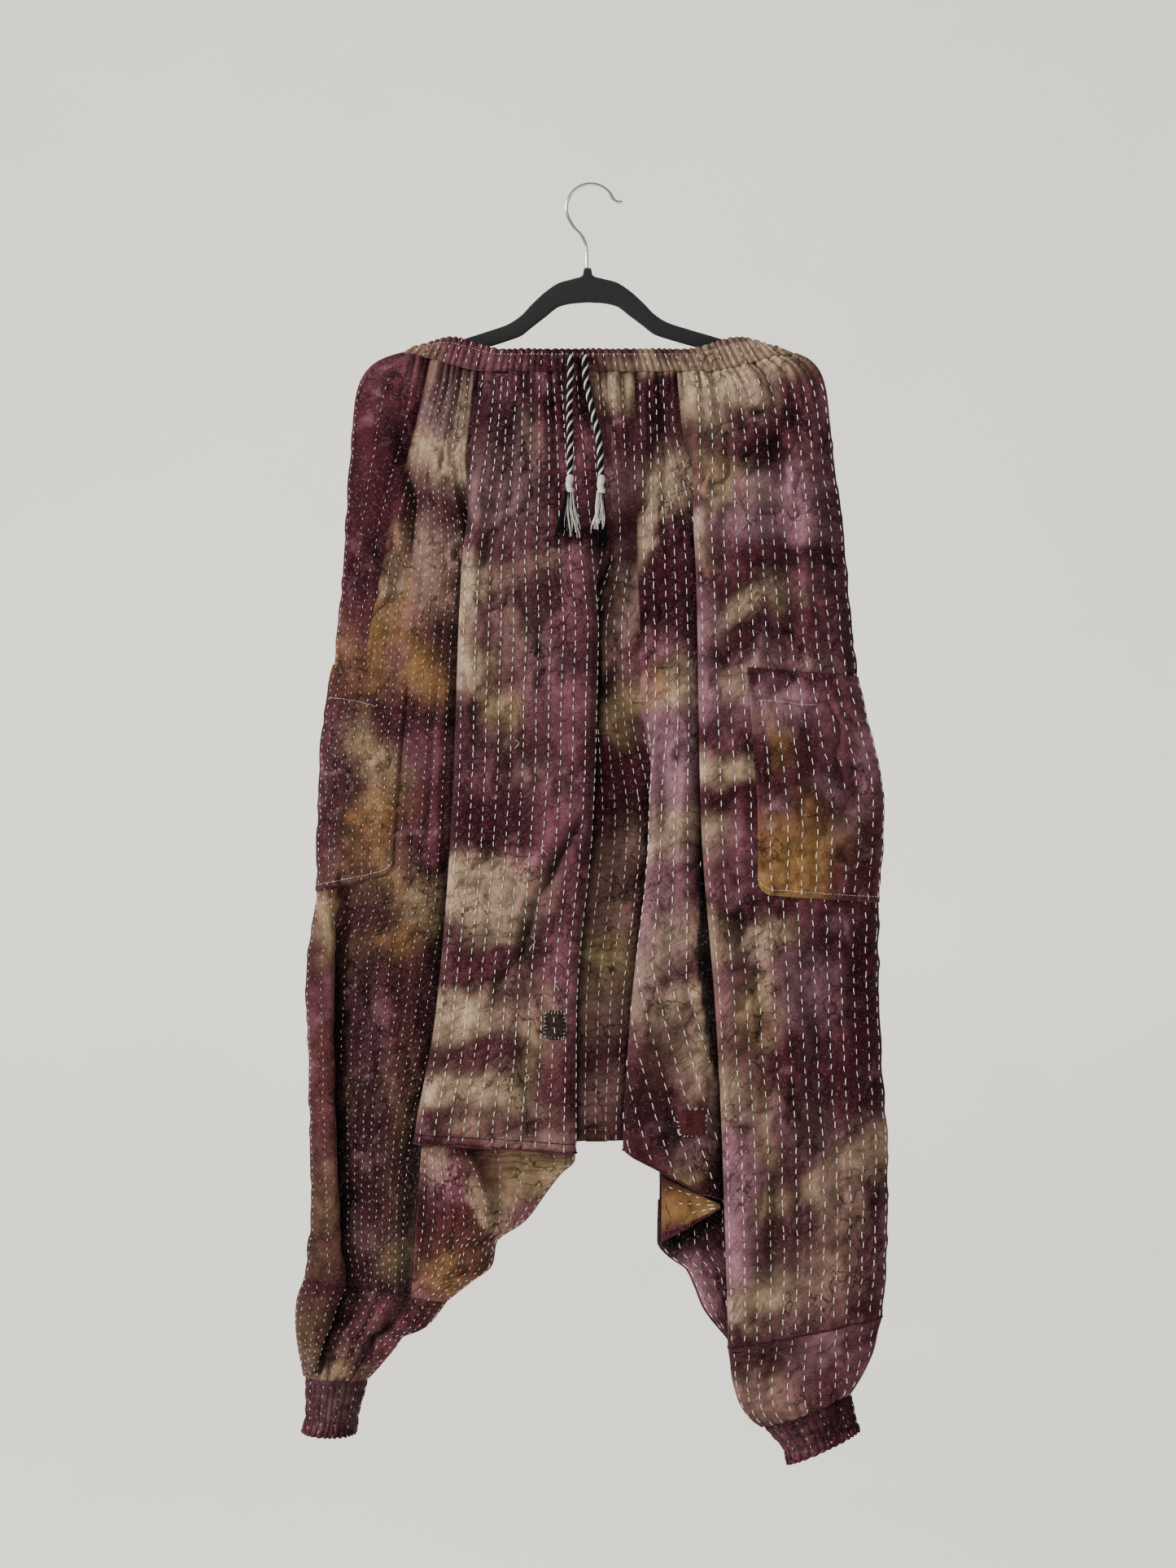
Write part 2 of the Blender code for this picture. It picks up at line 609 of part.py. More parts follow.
def body_panels(cloth):
    """The four panels of the body: both legs' outer panels, the front centre and the back centre."""
    ring, seams = body_ring(CASING_DROP)
    count = len(ring)
    shared = ring_columns(BODY_ROWS, np.arange(count))
    whole = grid_normals(shared, closed=True)
    shared[0] += unit(shared[1] - shared[0]) * (SEAM_GAP / 2)
    spans = {
        "front_center": (seams["front_left"], seams["front_right"]),
        "back_center": (seams["back_right"], seams["back_left"]),
        "leg_left": (seams["back_left"], seams["front_left"] + count),
        "leg_right": (seams["front_right"], seams["back_right"]),
    }
    panels = {}
    for name, (first, last) in spans.items():
        chosen = np.arange(first, last + 1) % count
        kept = [i for i, row in enumerate(BODY_ROWS) if row not in ROWS_LEFT_OUT[name]]
        upper = shared[kept][:, chosen]
        if name == "front_center":
            lower = centre_foot(chosen, front_hems(seams))
        elif name == "back_center":
            forward = np.array([column.forward for column in BACK_COLUMNS], float)
            lower = centre_foot(chosen, BACK_HEM + (BRIDGE_HEM - BACK_HEM) * forward)
        else:
            lower = leg_foot(name, chosen)
        grid = np.concatenate([upper, lower])
        if name == "back_center":
            bridge_forward(grid, forward)
        normals = grid_normals(grid, closed=False)
        normals[0] = whole[0, chosen]
        for column in (0, -1):
            normals[: len(kept), column] = whole[kept, chosen[column]]
            normals[len(kept):, column] = whole[-1, chosen[column]]
        cuts = [0] + [int(np.argmax(chosen == seams[seam])) for seam in WALL_SEAMS[name]] + [len(chosen) - 1]
        for wall_name, begin, end in zip(WALL_NAMES[name], cuts[:-1], cuts[1:]):
            part = slice(begin, end + 1)
            wall(wall_name, pulled_in(grid[:, part]), normals[:, part], cloth)
        panels[name] = (pulled_in(grid), normals)
    return panels, seams


def unit(vectors):
    """Vectors of length one."""
    return vectors / np.linalg.norm(vectors, axis=-1, keepdims=True)


def centre_foot(chosen, hems):
    """The last two rows of a centre panel, whose hem has a drop for each column."""
    left_over = hems - LAST_SHARED_DROP
    return np.stack([at_drops(chosen, LAST_SHARED_DROP + left_over * share) for share in (0.5, 1.0)])


def bridge_forward(grid, forward):
    """Brings the chosen columns of the back forward to the front's recess, which closes the crotch."""
    recess = section_at(CROTCH_DROP, "front") + FOLDS[2].level_right - WALL - LAY_GAP
    share = smooth(grid[..., 2], BRIDGE_STARTS, BRIDGE_HEM) ** 2 * forward
    grid[..., 1] += (recess - grid[..., 1]) * share


def leg_foot(name, chosen):
    """The rows of a leg's outer panel below the crotch, down to its slanting lower seam."""
    rows, seam = (LEFT_LEG_ROWS, LEFT_SEAM) if name == "leg_left" else (RIGHT_LEG_ROWS, RIGHT_SEAM)
    lower = ring_columns(rows, chosen)
    foot = at_drops(chosen, seam_line(lower[-1, :, 0], seam) - SEAM_GAP / 2)
    return np.concatenate([lower, foot[None]])


def seam_line(x, seam):
    """The drop of a leg's lower seam at x: a straight line between its two ends."""
    return np.interp(x, (seam.left_x, seam.right_x), (seam.left_drop, seam.right_drop))


def inner_x(edges, drop):
    """Where a leg's inner edge lies at a drop."""
    return float(steady_curve(drop, [e.drop for e in edges], [e.x for e in edges]))


def left_gusset_front(drop, front, edge):
    """The front of the left gusset's ring: a fold that opens to the right and fades downwards."""
    turn = min(float(steady_curve(drop, GUSSET_FOLD_DROPS, GUSSET_FOLD_X)), edge - GUSSET_FOLD_ROOM)
    shut = float(1 - smooth(drop, *GUSSET_FOLD_FADES))
    early, late = GUSSET_FOLD_START
    over = GUSSET_FOLD[0][1]
    start = (max(turn - GUSSET_FOLD_ROOM, front[0] + late * (turn - front[0])), front[1] + over)
    ends = [
        (turn + share * (edge - turn), front[1] + behind + sink * shut)
        for share, behind, sink in GUSSET_FOLD_END
    ]
    points = [front, (front[0] + early * (turn - front[0]), front[1] + over * late), start]
    for i, (out, rise) in enumerate(GUSSET_FOLD, start=1):
        share = i / (len(GUSSET_FOLD) + 1)
        open_x = start[0] + (ends[0][0] - start[0]) * share
        open_depth = start[1] + (ends[0][1] - start[1]) * share
        x = open_x + (turn + out - open_x) * shut
        points.append((x, open_depth + (front[1] + rise - open_depth) * shut))
    return points + ends


def right_gusset_front(drop, front, edge):
    """The front of the right gusset's ring, which lies behind the hem of the centre panel."""
    deep = RIGHT_GUSSET_SINK * float(1 - smooth(drop, *RIGHT_GUSSET_FADES))
    turned = (front[0] + RIGHT_GUSSET_TURN[0], front[1] + RIGHT_GUSSET_TURN[1])
    return [front, turned] + [
        (front[0] + share * (edge - front[0]), front[1] + behind + sink * deep)
        for share, behind, sink in RIGHT_GUSSET_FRONT
    ]


def gusset_ring(side, drop, seams):
    """The inner part of a leg's ring below the crotch, from the front seam round to the back seam."""
    ring = body_ring(drop)[0]
    front = tuple(ring[seams["front_" + side]][:2])
    back = tuple(ring[seams["back_" + side]][:2])
    if side == "left":
        edge, out, middle = inner_x(LEFT_INNER, drop), 1.0, LEFT_GUSSET_MIDDLE * (front[1] + back[1])
        points = left_gusset_front(drop, front, edge)
    else:
        edge, out, middle = inner_x(RIGHT_INNER, drop), -1.0, RIGHT_GUSSET_MIDDLE * (front[1] + back[1])
        points = right_gusset_front(drop, front, edge)
    round_x, round_depth = GUSSET_EDGE
    near = edge - round_x * out
    points += [(near, middle + round_depth), (edge, middle), (near, middle - round_depth)]
    for share, sink in GUSSET_BACK:
        points.append((edge + (back[0] - edge) * share, middle + (back[1] + TUCK - middle) * sink))
    points.append(back)
    return np.column_stack([np.array(points), np.full(len(points), drop)])


def gusset_tops(side, count):
    """The drop at which each column of a gusset starts, hidden inside the hems of the body."""
    spec = LEFT_GUSSET_TOP if side == "left" else RIGHT_GUSSET_TOP
    tops = np.full(count, spec.middle)
    tops[:2] = spec.front
    tops[2] = spec.third
    tops[-1 - len(GUSSET_BACK):] = spec.back
    tops[-2:] = spec.below_hem
    return tops


def gusset(side, seams, legs, cloth):
    """The piece that closes a leg on its inner side, from the crotch to the lower seam."""
    seam = LEFT_SEAM if side == "left" else RIGHT_SEAM
    foot = gusset_ring(side, max(seam.left_drop, seam.right_drop), seams)
    tops = gusset_tops(side, len(foot))
    feet = seam_line(foot[:, 0], seam) - SEAM_GAP / 2
    grid = np.array([
        [gusset_ring(side, drop, seams)[column] for column, drop in enumerate(tops + (feet - tops) * share)]
        for share in GUSSET_ROWS
    ])
    if side == "right":
        grid = grid[:, ::-1]
    normals = grid_normals(grid, closed=False)
    leg_grid, leg_normals = legs["leg_" + side]
    for column, leg_column in ((0, -1), (-1, 0)):
        for row in range(len(grid)):
            nearest = int(np.argmin(np.abs(leg_grid[:, leg_column, 2] - grid[row, column, 2])))
            normals[row, column] = leg_normals[nearest, leg_column]
    grid = pulled_in(grid)
    wall("gusset_" + side, grid, normals, cloth)
    return grid, normals


def oval(angle, left, right, front, back):
    """Points of a flat oval: 0 is its left end, half a turn its right end, and the front comes between."""
    x = (left + right) / 2 - (right - left) / 2 * np.cos(angle)
    depth = np.where(np.sin(angle) >= 0, front, back) * np.sin(angle)
    return x, depth


def ring_angles(ring):
    """The angle of each point of a ring, half by its length along the cloth and half by its number."""
    count = len(ring)
    left_at, right_at = int(np.argmin(ring[:, 0])), int(np.argmax(ring[:, 0]))
    step = np.linalg.norm(np.diff(ring[:, :2], axis=0, append=ring[:1, :2]), axis=1)
    order = (left_at + np.arange(count)) % count
    along = np.concatenate([[0], np.cumsum(step[order])])[:-1]
    whole = step.sum()
    half = along[(right_at - left_at) % count]
    behind = math.pi * (1 + (along - half) / (whole - half))
    angle = np.where(along <= half, math.pi * along / half, behind)
    number, turn = np.arange(count), (right_at - left_at) % count
    even_behind = math.pi * (1 + (number - turn) / (count - turn))
    angle = (angle + np.where(number <= turn, math.pi * number / turn, even_behind)) / 2
    result = np.empty(count)
    result[order] = angle
    return result


def tilted(ring, x):
    """The drop of a leg's or a cuff's ring at x, on the line between its two ends."""
    return ring.left_drop + (ring.right_drop - ring.left_drop) * (x - ring.left) / (ring.right - ring.left)


def shin(side, top, top_normals, fall, table, cloth):
    """A lower leg: the leg's ring at its seam turns step by step into a plain oval at the cuff."""
    angle = ring_angles(top)
    share = (top[:, 0] - top[:, 0].min()) / np.ptp(top[:, 0])
    front_depth, back_depth = top[:, 1].max(), -top[:, 1].min()
    rows = [top + fall * SEAM_GAP]
    for ring in table:
        scale = np.where(top[:, 1] > 0, ring.front / front_depth, ring.back / back_depth)
        folded_x = ring.left + (ring.right - ring.left) * share
        folded_depth = top[:, 1] * scale
        plain_x, plain_depth = oval(angle, ring.left, ring.right, ring.front, ring.back)
        x = folded_x + (plain_x - folded_x) * math.sin(math.pi / 2 * ring.plain)
        depth = folded_depth + (plain_depth - folded_depth) * ring.plain
        rows.append(np.stack([x, depth, tilted(ring, x)], axis=1))
    grid = np.array(rows)
    normals = grid_normals(grid, closed=True)
    normals[0] = top_normals
    wall("lower_leg_" + side, grid, normals, cloth, closed=True)


def cuff(side, hem, table, cloth):
    """A cuff: oval rings whose outer points stand out in gathers over a plain inside.

    Its first ring fits inside the lower leg's last ring.
    """
    inset = WALL + SEAM_GAP + CUFF_EASE
    down = (hem.right_drop - hem.left_drop) / (hem.right - hem.left)
    table = (
        CuffRing(
            hem.left + inset, hem.left_drop + inset * down - CUFF_TUCK,
            hem.right - inset, hem.right_drop - inset * down - CUFF_TUCK,
            hem.front - inset, hem.back - inset,
        ),
    ) + table
    count = 2 * CUFF_GATHERS
    angle = np.arange(count) * 2 * math.pi / count
    rows = []
    for ring in table:
        x, depth = oval(angle, ring.left, ring.right, ring.front, ring.back)
        rows.append(np.stack([x, depth, tilted(ring, x)], axis=1))
    grid = np.array(rows)
    ruffle = np.outer([0.0] + [CUFF_RUFFLE] * (len(table) - 1), np.arange(count) % 2)
    wall("cuff_" + side, grid, grid_normals(grid, closed=True), cloth, closed=True, ruffle=ruffle)


def resampled(ring, count):
    """A ring's points, and what goes with them, read at even steps of its length."""
    step = np.linalg.norm(np.diff(ring[:, :3], axis=0, append=ring[:1, :3]), axis=1)
    along = np.concatenate([[0], np.cumsum(step)])
    at = np.arange(count) * along[-1] / count
    closed = np.concatenate([ring, ring[:1]])
    return np.stack([np.interp(at, along, closed[:, axis]) for axis in range(ring.shape[1])], axis=1)


def waistband(cloth):
    """The gathered casing and its frill, which stand on the top edge of the body's panels."""
    count = 2 * WAIST_GATHERS
    rings = ring_columns(BODY_ROWS[:2], np.arange(len(body_ring(CASING_DROP)[0])))
    edge = rings[0] - unit(rings[1] - rings[0]) * (CASING_GAP - SEAM_GAP / 2)
    low = resampled(np.concatenate([edge, grid_normals(rings, closed=True)[0]], axis=1), count)
    low, low_normals = low[:, :3], unit(low[:, 3:])
    middle = (low[:, 0].min() + low[:, 0].max()) / 2
    reach = np.abs(low[:, 0] - middle) / (np.ptp(low[:, 0]) / 2)
    top = low.copy()
    top_middle = (FRILL_LEFT + FRILL_RIGHT) / 2
    top[:, 0] = top_middle + (low[:, 0] - middle) * (FRILL_RIGHT - FRILL_LEFT) / np.ptp(low[:, 0])
    top[:, 1] *= FRILL_DEPTH / np.abs(low[:, 1]).max()
    top[:, 2] = FRILL_SAG + (FRILL_HIGH - FRILL_SAG) * smooth(reach, FRILL_RISE_FROM, FRILL_RISE_TO)
    top[:, 2] += (FRILL_ENDS - FRILL_HIGH) * smooth(reach, FRILL_RISE_TO, 1.0)
    shares = np.array(CASING_ROWS)[:, None, None]
    grid = top + (low - top) * shares
    grid[..., 1] *= 1 + FRILL_SWELL * np.sin(math.pi * shares[..., 0])
    ruffle = np.outer(CASING_RUFFLES, np.arange(count) % 2)
    normals = grid_normals(grid, closed=True)
    normals[-1] = low_normals
    wall("waistband", grid, normals, cloth, closed=True, ruffle=ruffle)


def on_panel(grid, normals, column, drop):
    """The place and the normal on a panel's triangles at a column, or between two, and at a drop."""
    left = int(min(math.floor(column), grid.shape[1] - 2))
    u = column - left
    drops = grid[:, left, 2]
    row = int(np.clip(np.searchsorted(drops, drop) - 1, 0, len(drops) - 2))
    v = (drop - drops[row]) / (drops[row + 1] - drops[row])
    found = []
    for field in (grid, normals):
        a, b = field[row, left], field[row, left + 1]
        d, c = field[row + 1, left], field[row + 1, left + 1]
        if u + v <= 1:
            found.append(a + (b - a) * u + (d - a) * v)
        else:
            found.append(c + (d - c) * (1 - u) + (b - c) * (1 - v))
    return found[0], unit(found[1])


def pocket(spec, panel, cloth):
    """A patch pocket made from its panel's own points, moved out, with a rounded lower inner corner."""
    grid, normals = panel
    x = grid[POCKET_ROW, :, 0]
    if spec.name == "pocket_left":
        end, inward = int(np.argmin(x)), 1
    else:
        end, inward = int(np.argmax(x)), -1
    front = np.arange(end, len(x)) if inward > 0 else np.arange(end, -1, -1)
    columns = [float(end - inward * step) for step in range(spec.back_columns, 0, -1)]
    columns += [float(c) for c in front if inward * (spec.inner_x - x[c]) > POCKET_COLUMN_ROOM]
    columns += [
        float(np.interp(inward * spec.inner_x - away, inward * x[front], front))
        for away in POCKET_CORNER_STEPS
    ]
    across = np.interp(columns, np.arange(len(x)), x)
    lean = np.clip((across - x[end]) / (spec.inner_x - x[end]), 0, 1)
    away = np.clip(1 - inward * (spec.inner_x - across) / POCKET_CORNER, 0, 1)
    corner = np.where(inward * (np.array(columns) - end) > 0, 1 - np.sqrt(1 - away**2), 0.0)
    tops = spec.top + (spec.inner_top - spec.top) * lean
    bottoms = spec.bottom + (spec.inner_bottom - spec.bottom) * lean
    bottoms -= corner * POCKET_CORNER * POCKET_CORNER_RISE
    first_row, last_row = max(tops) + POCKET_ROW_ROOM, min(bottoms) - POCKET_ROW_ROOM
    inside = [row for row in grid[:, end, 2] if first_row < row < last_row]
    lines = [tops] + [np.full(len(columns), row) for row in inside] + [bottoms]
    rows = [[on_panel(grid, normals, c, drop) for c, drop in zip(columns, line)] for line in lines]
    place = np.array([[cell[0] for cell in row] for row in rows])
    normal = np.array([[cell[1] for cell in row] for row in rows])
    if inward < 0:
        place, normal = place[:, ::-1], normal[:, ::-1]
    lift = WALL / 2 + LAY_GAP + POCKET_WALL / 2
    wall(spec.name, place, normal, cloth, thickness=POCKET_WALL, lift=lift)


def on_surface(grid, normals, columns, x, drop):
    """The place and the normal at x and a drop, between two columns of a panel's top layer."""
    across = [on_panel(grid, normals, c, drop)[0][0] for c in columns]
    return on_panel(grid, normals, float(np.interp(x, across, columns)), drop)


def patch(spec, panel, columns, cloth):
    """A small square patch laid on the front centre panel."""
    grid, normals = panel
    shares = (-0.5, 0.0, 0.5)
    cells = [
        [
            on_surface(grid, normals, columns, spec.x + spec.width * a, spec.drop + spec.height * d)
            for a in shares
        ]
        for d in shares
    ]
    place = np.array([[cell[0] for cell in row] for row in cells])
    normal = np.array([[cell[1] for cell in row] for row in cells])
    wall(spec.name, place, normal, cloth, thickness=PATCH_WALL, lift=WALL / 2 + LAY_GAP + PATCH_WALL / 2)


def tube(name, points, diameter, finish):
    """A round tube with flat ends along points (x, depth, drop)."""
    curve = bpy.data.curves.new(name, "CURVE")
    curve.dimensions = "3D"
    curve.bevel_depth = diameter / 2 * MM
    curve.bevel_resolution = ROUNDNESS
    curve.use_fill_caps = True
    spline = curve.splines.new("POLY")
    spline.points.add(len(points) - 1)
    for point, place in zip(spline.points, to_world(points)):
        point.co = (*place, 1.0)
    curve.materials.append(finish)
    obj = bpy.data.objects.new(name, curve)
    bpy.context.scene.collection.objects.link(obj)
    return obj


def route(points, step, first_step=None, first_length=0.0):
    """A smooth line through the points, read at about even steps: each axis is a steady curve of the length.

    Its first length may be read at a shorter step.
    """
    points = np.array(points, float)
    along = np.concatenate([[0], np.cumsum(np.linalg.norm(np.diff(points, axis=0), axis=1))])
    at = np.linspace(first_length, along[-1], int(math.ceil((along[-1] - first_length) / step)) + 1)
    if first_step:
        at = np.concatenate([np.arange(0, first_length - first_step / 2, first_step), at])
    return np.stack([steady_curve(at, along, points[:, axis]) for axis in range(3)], axis=1)


def front_face(x, drop, half):
    """The depth of the cloth's front surface at x, the highest within a half width of it."""
    if drop < FRONT_FACE_FROM:
        return WAIST_FRONT
    ring = body_ring(drop)[0]
    front = ring[: int(np.argmax(ring[:, 0])) + 1]
    at = np.linspace(x - half, x + half, FACE_POINTS)
    levels = []
    for a, b in zip(front[:-1], front[1:]):
        low, high = sorted((a[0], b[0]))
        inside = at[(at >= low) & (at <= high)]
        if len(inside) and high > low:
            levels.append(np.max(a[1] + (b[1] - a[1]) * (inside - a[0]) / (b[0] - a[0])))
    return max(levels) + WALL / 2


def drawstring(name, line, spread, cord):
    """One drawstring end: out of the casing, then down on the cloth's front to its tassel."""
    half = CORD_DIAMETER / 2
    flat = route([(x, 0.0, drop) for x, drop in line], CORD_STEP)
    for point in flat:
        near = [front_face(point[0], point[2] + up, half) for up in (-CORD_REACH, 0.0, CORD_REACH)]
        point[1] = max(near) + CORD_LIFT + half
    end_x, _, end_drop = flat[-1]
    reach = max(abs(spread[0]), abs(spread[1])) + half
    below = [front_face(end_x, end_drop + fall, reach) for fall in np.linspace(0, TASSEL_LENGTH, FACE_ROWS)]
    needed = max(below) + TASSEL_RADIUS * TASSEL_HEAD_ROWS[-1][1] + CORD_LIFT
    flat[:, 1] = np.maximum.accumulate(flat[:, 1])
    swing = smooth(flat[:, 2], end_drop - SWING_FROM, end_drop - SWING_TO)
    flat[:, 1] = np.maximum(flat[:, 1], flat[:, 1] + (needed - flat[:, 1]) * swing)
    start = np.array([flat[0, 0], WAIST_FRONT + SEAM_GAP, flat[0, 2]])
    bend = start + np.array([(0.0, out, fall) for out, fall in CORD_BEND])
    line = route(np.concatenate([bend, flat[2:]]), CORD_POINT_STEP, CORD_BEND_STEP, CORD_BEND_LENGTH)
    tube(name, line, CORD_DIAMETER, cord)
    return flat[-1]


def tassel(name, top, spread, thread):
    """A tassel: a wrapped head and separate strands that grow from its underside."""
    x, depth, drop = top
    bm = bmesh.new()
    cells = TASSEL_CELLS
    radius = TASSEL_RADIUS
    rows = []
    for level, swell in TASSEL_HEAD_ROWS:
        ring = []
        for i in range(4 * cells):
            edge, along = divmod(i, cells)
            a, b = [(-1, -1), (1, -1), (1, 1), (-1, 1)][edge], [(1, -1), (1, 1), (-1, 1), (-1, -1)][edge]
            u = a[0] + (b[0] - a[0]) * along / cells
            v = a[1] + (b[1] - a[1]) * along / cells
            ring.append(disc_point(u, v, radius * swell))
        rows.append([bm.verts.new(to_world((x + u, depth + v, drop + level))) for u, v in ring])
    count = 4 * cells
    for upper, lower in zip(rows[:-1], rows[1:]):
        for i in range(count):
            bm.faces.new((upper[i], upper[(i + 1) % count], lower[(i + 1) % count], lower[i]))
    bm.faces.new(rows[0][::-1])
    base = {}
    for i in range(cells + 1):
        for j in range(cells + 1):
            u, v = 2 * i / cells - 1, 2 * j / cells - 1
            on_rim = i in (0, cells) or j in (0, cells)
            level, swell = TASSEL_HEAD_ROWS[-1]
            across, out = disc_point(u, v, radius * swell)
            place = to_world((x + across, depth + out, drop + level))
            if on_rim:
                base[i, j] = min(rows[-1], key=lambda vert: float(np.linalg.norm(np.array(vert.co) - place)))
            else:
                base[i, j] = bm.verts.new(place)
    roots = []
    for i in range(cells):
        for j in range(cells):
            face = bm.faces.new((base[i, j], base[i + 1, j], base[i + 1, j + 1], base[i, j + 1]))
            roots.append((face, (2 * i + 1) / cells - 1, (2 * j + 1) / cells - 1))
    for number, (face, u, v) in enumerate(roots):
        bmesh.ops.inset_individual(bm, faces=[face], thickness=STRAND_INSET * MM, use_even_offset=True)
        length = TASSEL_SKIRT * (1 - STRAND_UNEVEN * ((number * 7) % 5) / 4)
        middle = spread[0] + (spread[1] - spread[0]) * 0.5
        half = (spread[1] - spread[0]) * 0.5
        for step in range(STRAND_STEPS):
            share = ((step + 1) / STRAND_STEPS) ** 2 - (step / STRAND_STEPS) ** 2
            made = bmesh.ops.extrude_discrete_faces(bm, faces=[face])["faces"]
            face = made[0]
            move = to_world(((u * half + middle) * share, v * STRAND_DEPTH * share, length / STRAND_STEPS))
            bmesh.ops.translate(bm, verts=face.verts, vec=move.tolist())
    bmesh.ops.recalc_face_normals(bm, faces=bm.faces)
    mesh = bpy.data.meshes.new(name)
    bm.to_mesh(mesh)
    bm.free()
    mesh.materials.append(thread)
    obj = bpy.data.objects.new(name, mesh)
    bpy.context.scene.collection.objects.link(obj)


def disc_point(u, v, radius):
    """A point of the square from -1 to 1 moved onto a round disc."""
    return radius * u * math.sqrt(1 - v * v / 2), radius * v * math.sqrt(1 - u * u / 2)


def hanger(flock, steel):
    """The hanger: a flat bar along its two sloping arms, and a wire hook."""
    bm = bmesh.new()
    stations = [HangerStation(-s.out, s.upper, s.lower) for s in HANGER_STATIONS[:0:-1]]
    stations += list(HANGER_STATIONS)
    stations = [
        HangerStation(s.out, s.upper - s.out * HANGER_TILT, s.lower - s.out * HANGER_TILT) for s in stations
    ]
    half = HANGER_THICKNESS / 2
    rings = []
    for station in stations:
        height = station.lower - station.upper
        soft = min(HANGER_EDGE, height / 3)
        profile = (
            (half - soft, 0), (half, soft), (half, height - soft), (half - soft, height),
            (-half + soft, height), (-half, height - soft), (-half, soft), (-half + soft, 0),
        )
        ring = [(HANGER_CENTRE + station.out, depth, station.upper + fall) for depth, fall in profile]
        rings.append([bm.verts.new(point) for point in to_world(ring)])
    for left, right in zip(rings[:-1], rings[1:]):
        for i in range(8):
            j = (i + 1) % 8
            bm.faces.new((left[i], left[j], right[j], right[i]))
    bm.faces.new(rings[0][::-1])
    bm.faces.new(rings[-1])
    bmesh.ops.recalc_face_normals(bm, faces=bm.faces)
    mesh = bpy.data.meshes.new("hanger_body")
    bm.to_mesh(mesh)
    bm.free()
    mesh.materials.append(flock)
    mesh.shade_smooth()
    mesh.set_sharp_from_angle(angle=SHARP_ANGLE)
    obj = bpy.data.objects.new("hanger_body", mesh)
    bpy.context.scene.collection.objects.link(obj)

    radius = HOOK_RADIUS + WIRE_DIAMETER / 2
    arc = [
        (HOOK_CENTRE[0] + radius * math.cos(a), 0.0, HOOK_CENTRE[1] - radius * math.sin(a))
        for a in np.radians(np.linspace(*HOOK_ARC, HOOK_STEPS))
    ]
    shank = [(x, 0.0, drop) for x, drop in HOOK_SHANK]
    tip = [(x, 0.0, drop) for x, drop in HOOK_TIP]
    tube("hanger_hook", route(shank + arc + tip, WIRE_POINT_STEP), WIRE_DIAMETER, steel)


def clear_scene():
    """Removes the startup objects."""
    for obj in list(bpy.data.objects):
        bpy.data.objects.remove(obj, do_unlink=True)


def main():
    """Builds every piece."""
    clear_scene()
    cloth = material("stitched cotton", (0.17, 0.06, 0.085), 0.9)
    band = material("gathered cotton", (0.15, 0.06, 0.08), 0.9)
    patch_cloth = material("patch cotton", (0.08, 0.025, 0.03), 0.9)
    cord = material("twisted cord", (0.35, 0.33, 0.30), 0.85)
    thread = material("tassel thread", (0.75, 0.73, 0.68), 0.85)
    flock = material("black flock", (0.006, 0.006, 0.007), 0.95)
    steel = material("hook steel", (0.62, 0.62, 0.64), 0.25, 1.0)

    panels, seams = body_panels(cloth)
    for side, table in (("left", LEFT_SHIN), ("right", RIGHT_SHIN)):
        inner, inner_normals = gusset(side, seams, panels, cloth)
        leg, leg_normals = panels["leg_" + side]
        order = 1 if side == "left" else -1
        top = np.concatenate([leg[-1], inner[-1, 1:-1]][::order])
        top_normals = np.concatenate([leg_normals[-1], inner_normals[-1, 1:-1]][::order])
        fall = np.concatenate([unit(leg[-1] - leg[-2]), unit(inner[-1, 1:-1] - inner[-2, 1:-1])][::order])
        shin(side, top, top_normals, fall, table, cloth)
        cuff(side, table[-1], LEFT_CUFF if side == "left" else RIGHT_CUFF, band)
    waistband(band)
    for spec in POCKETS:
        pocket(spec, panels["leg_" + spec.name.split("_")[1]], cloth)
    for spec, columns in zip(PATCHES, PATCH_COLUMNS):
        patch(spec, panels["front_center"], columns, patch_cloth)
    for name, line in DRAWSTRINGS.items():
        knot = name.replace("drawstring", "tassel")
        end = drawstring(name, line, TASSEL_SPREAD[knot], cord)
        tassel(knot, end, TASSEL_SPREAD[knot], thread)
    hanger(flock, steel)


main()
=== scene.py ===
"""Harem pants of hand-stitched tie-dyed cotton, hung by their waist on a flocked hanger.

Sizes are millimetres until a mesh is made. A place is (x, depth, drop): x runs to the right as
the pants are seen from the front, depth comes towards the viewer, and drop is measured down
from the inside top of the hanger's hook, which is the frame's origin.
"""

import logging
import math
from dataclasses import dataclass, field
from enum import Enum
from typing import NamedTuple, Sequence

import bpy
import numpy as np
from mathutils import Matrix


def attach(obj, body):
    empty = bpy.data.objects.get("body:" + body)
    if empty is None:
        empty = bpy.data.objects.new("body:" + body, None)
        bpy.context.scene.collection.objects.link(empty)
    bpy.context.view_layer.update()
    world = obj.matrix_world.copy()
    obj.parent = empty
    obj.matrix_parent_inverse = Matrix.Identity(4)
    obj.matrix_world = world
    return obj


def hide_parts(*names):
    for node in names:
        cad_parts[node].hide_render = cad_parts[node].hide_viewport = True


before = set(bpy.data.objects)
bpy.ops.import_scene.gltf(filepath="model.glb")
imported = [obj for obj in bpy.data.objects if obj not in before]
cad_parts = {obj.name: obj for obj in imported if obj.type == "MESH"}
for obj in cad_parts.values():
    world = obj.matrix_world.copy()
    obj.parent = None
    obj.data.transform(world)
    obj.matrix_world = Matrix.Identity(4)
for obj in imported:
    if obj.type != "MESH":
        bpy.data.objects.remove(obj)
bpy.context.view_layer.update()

LOG = logging.getLogger("pants")
MM = 0.001
BODY = "root"
Array = np.ndarray

WALL = 1.6
SEAM_GAP = 0.4
LAY_GAP = 0.6
CASING_DROP = 183.0
CROTCH_DROP = 929.0
TURN_ANGLE = math.radians(58)


# Numbers and noise

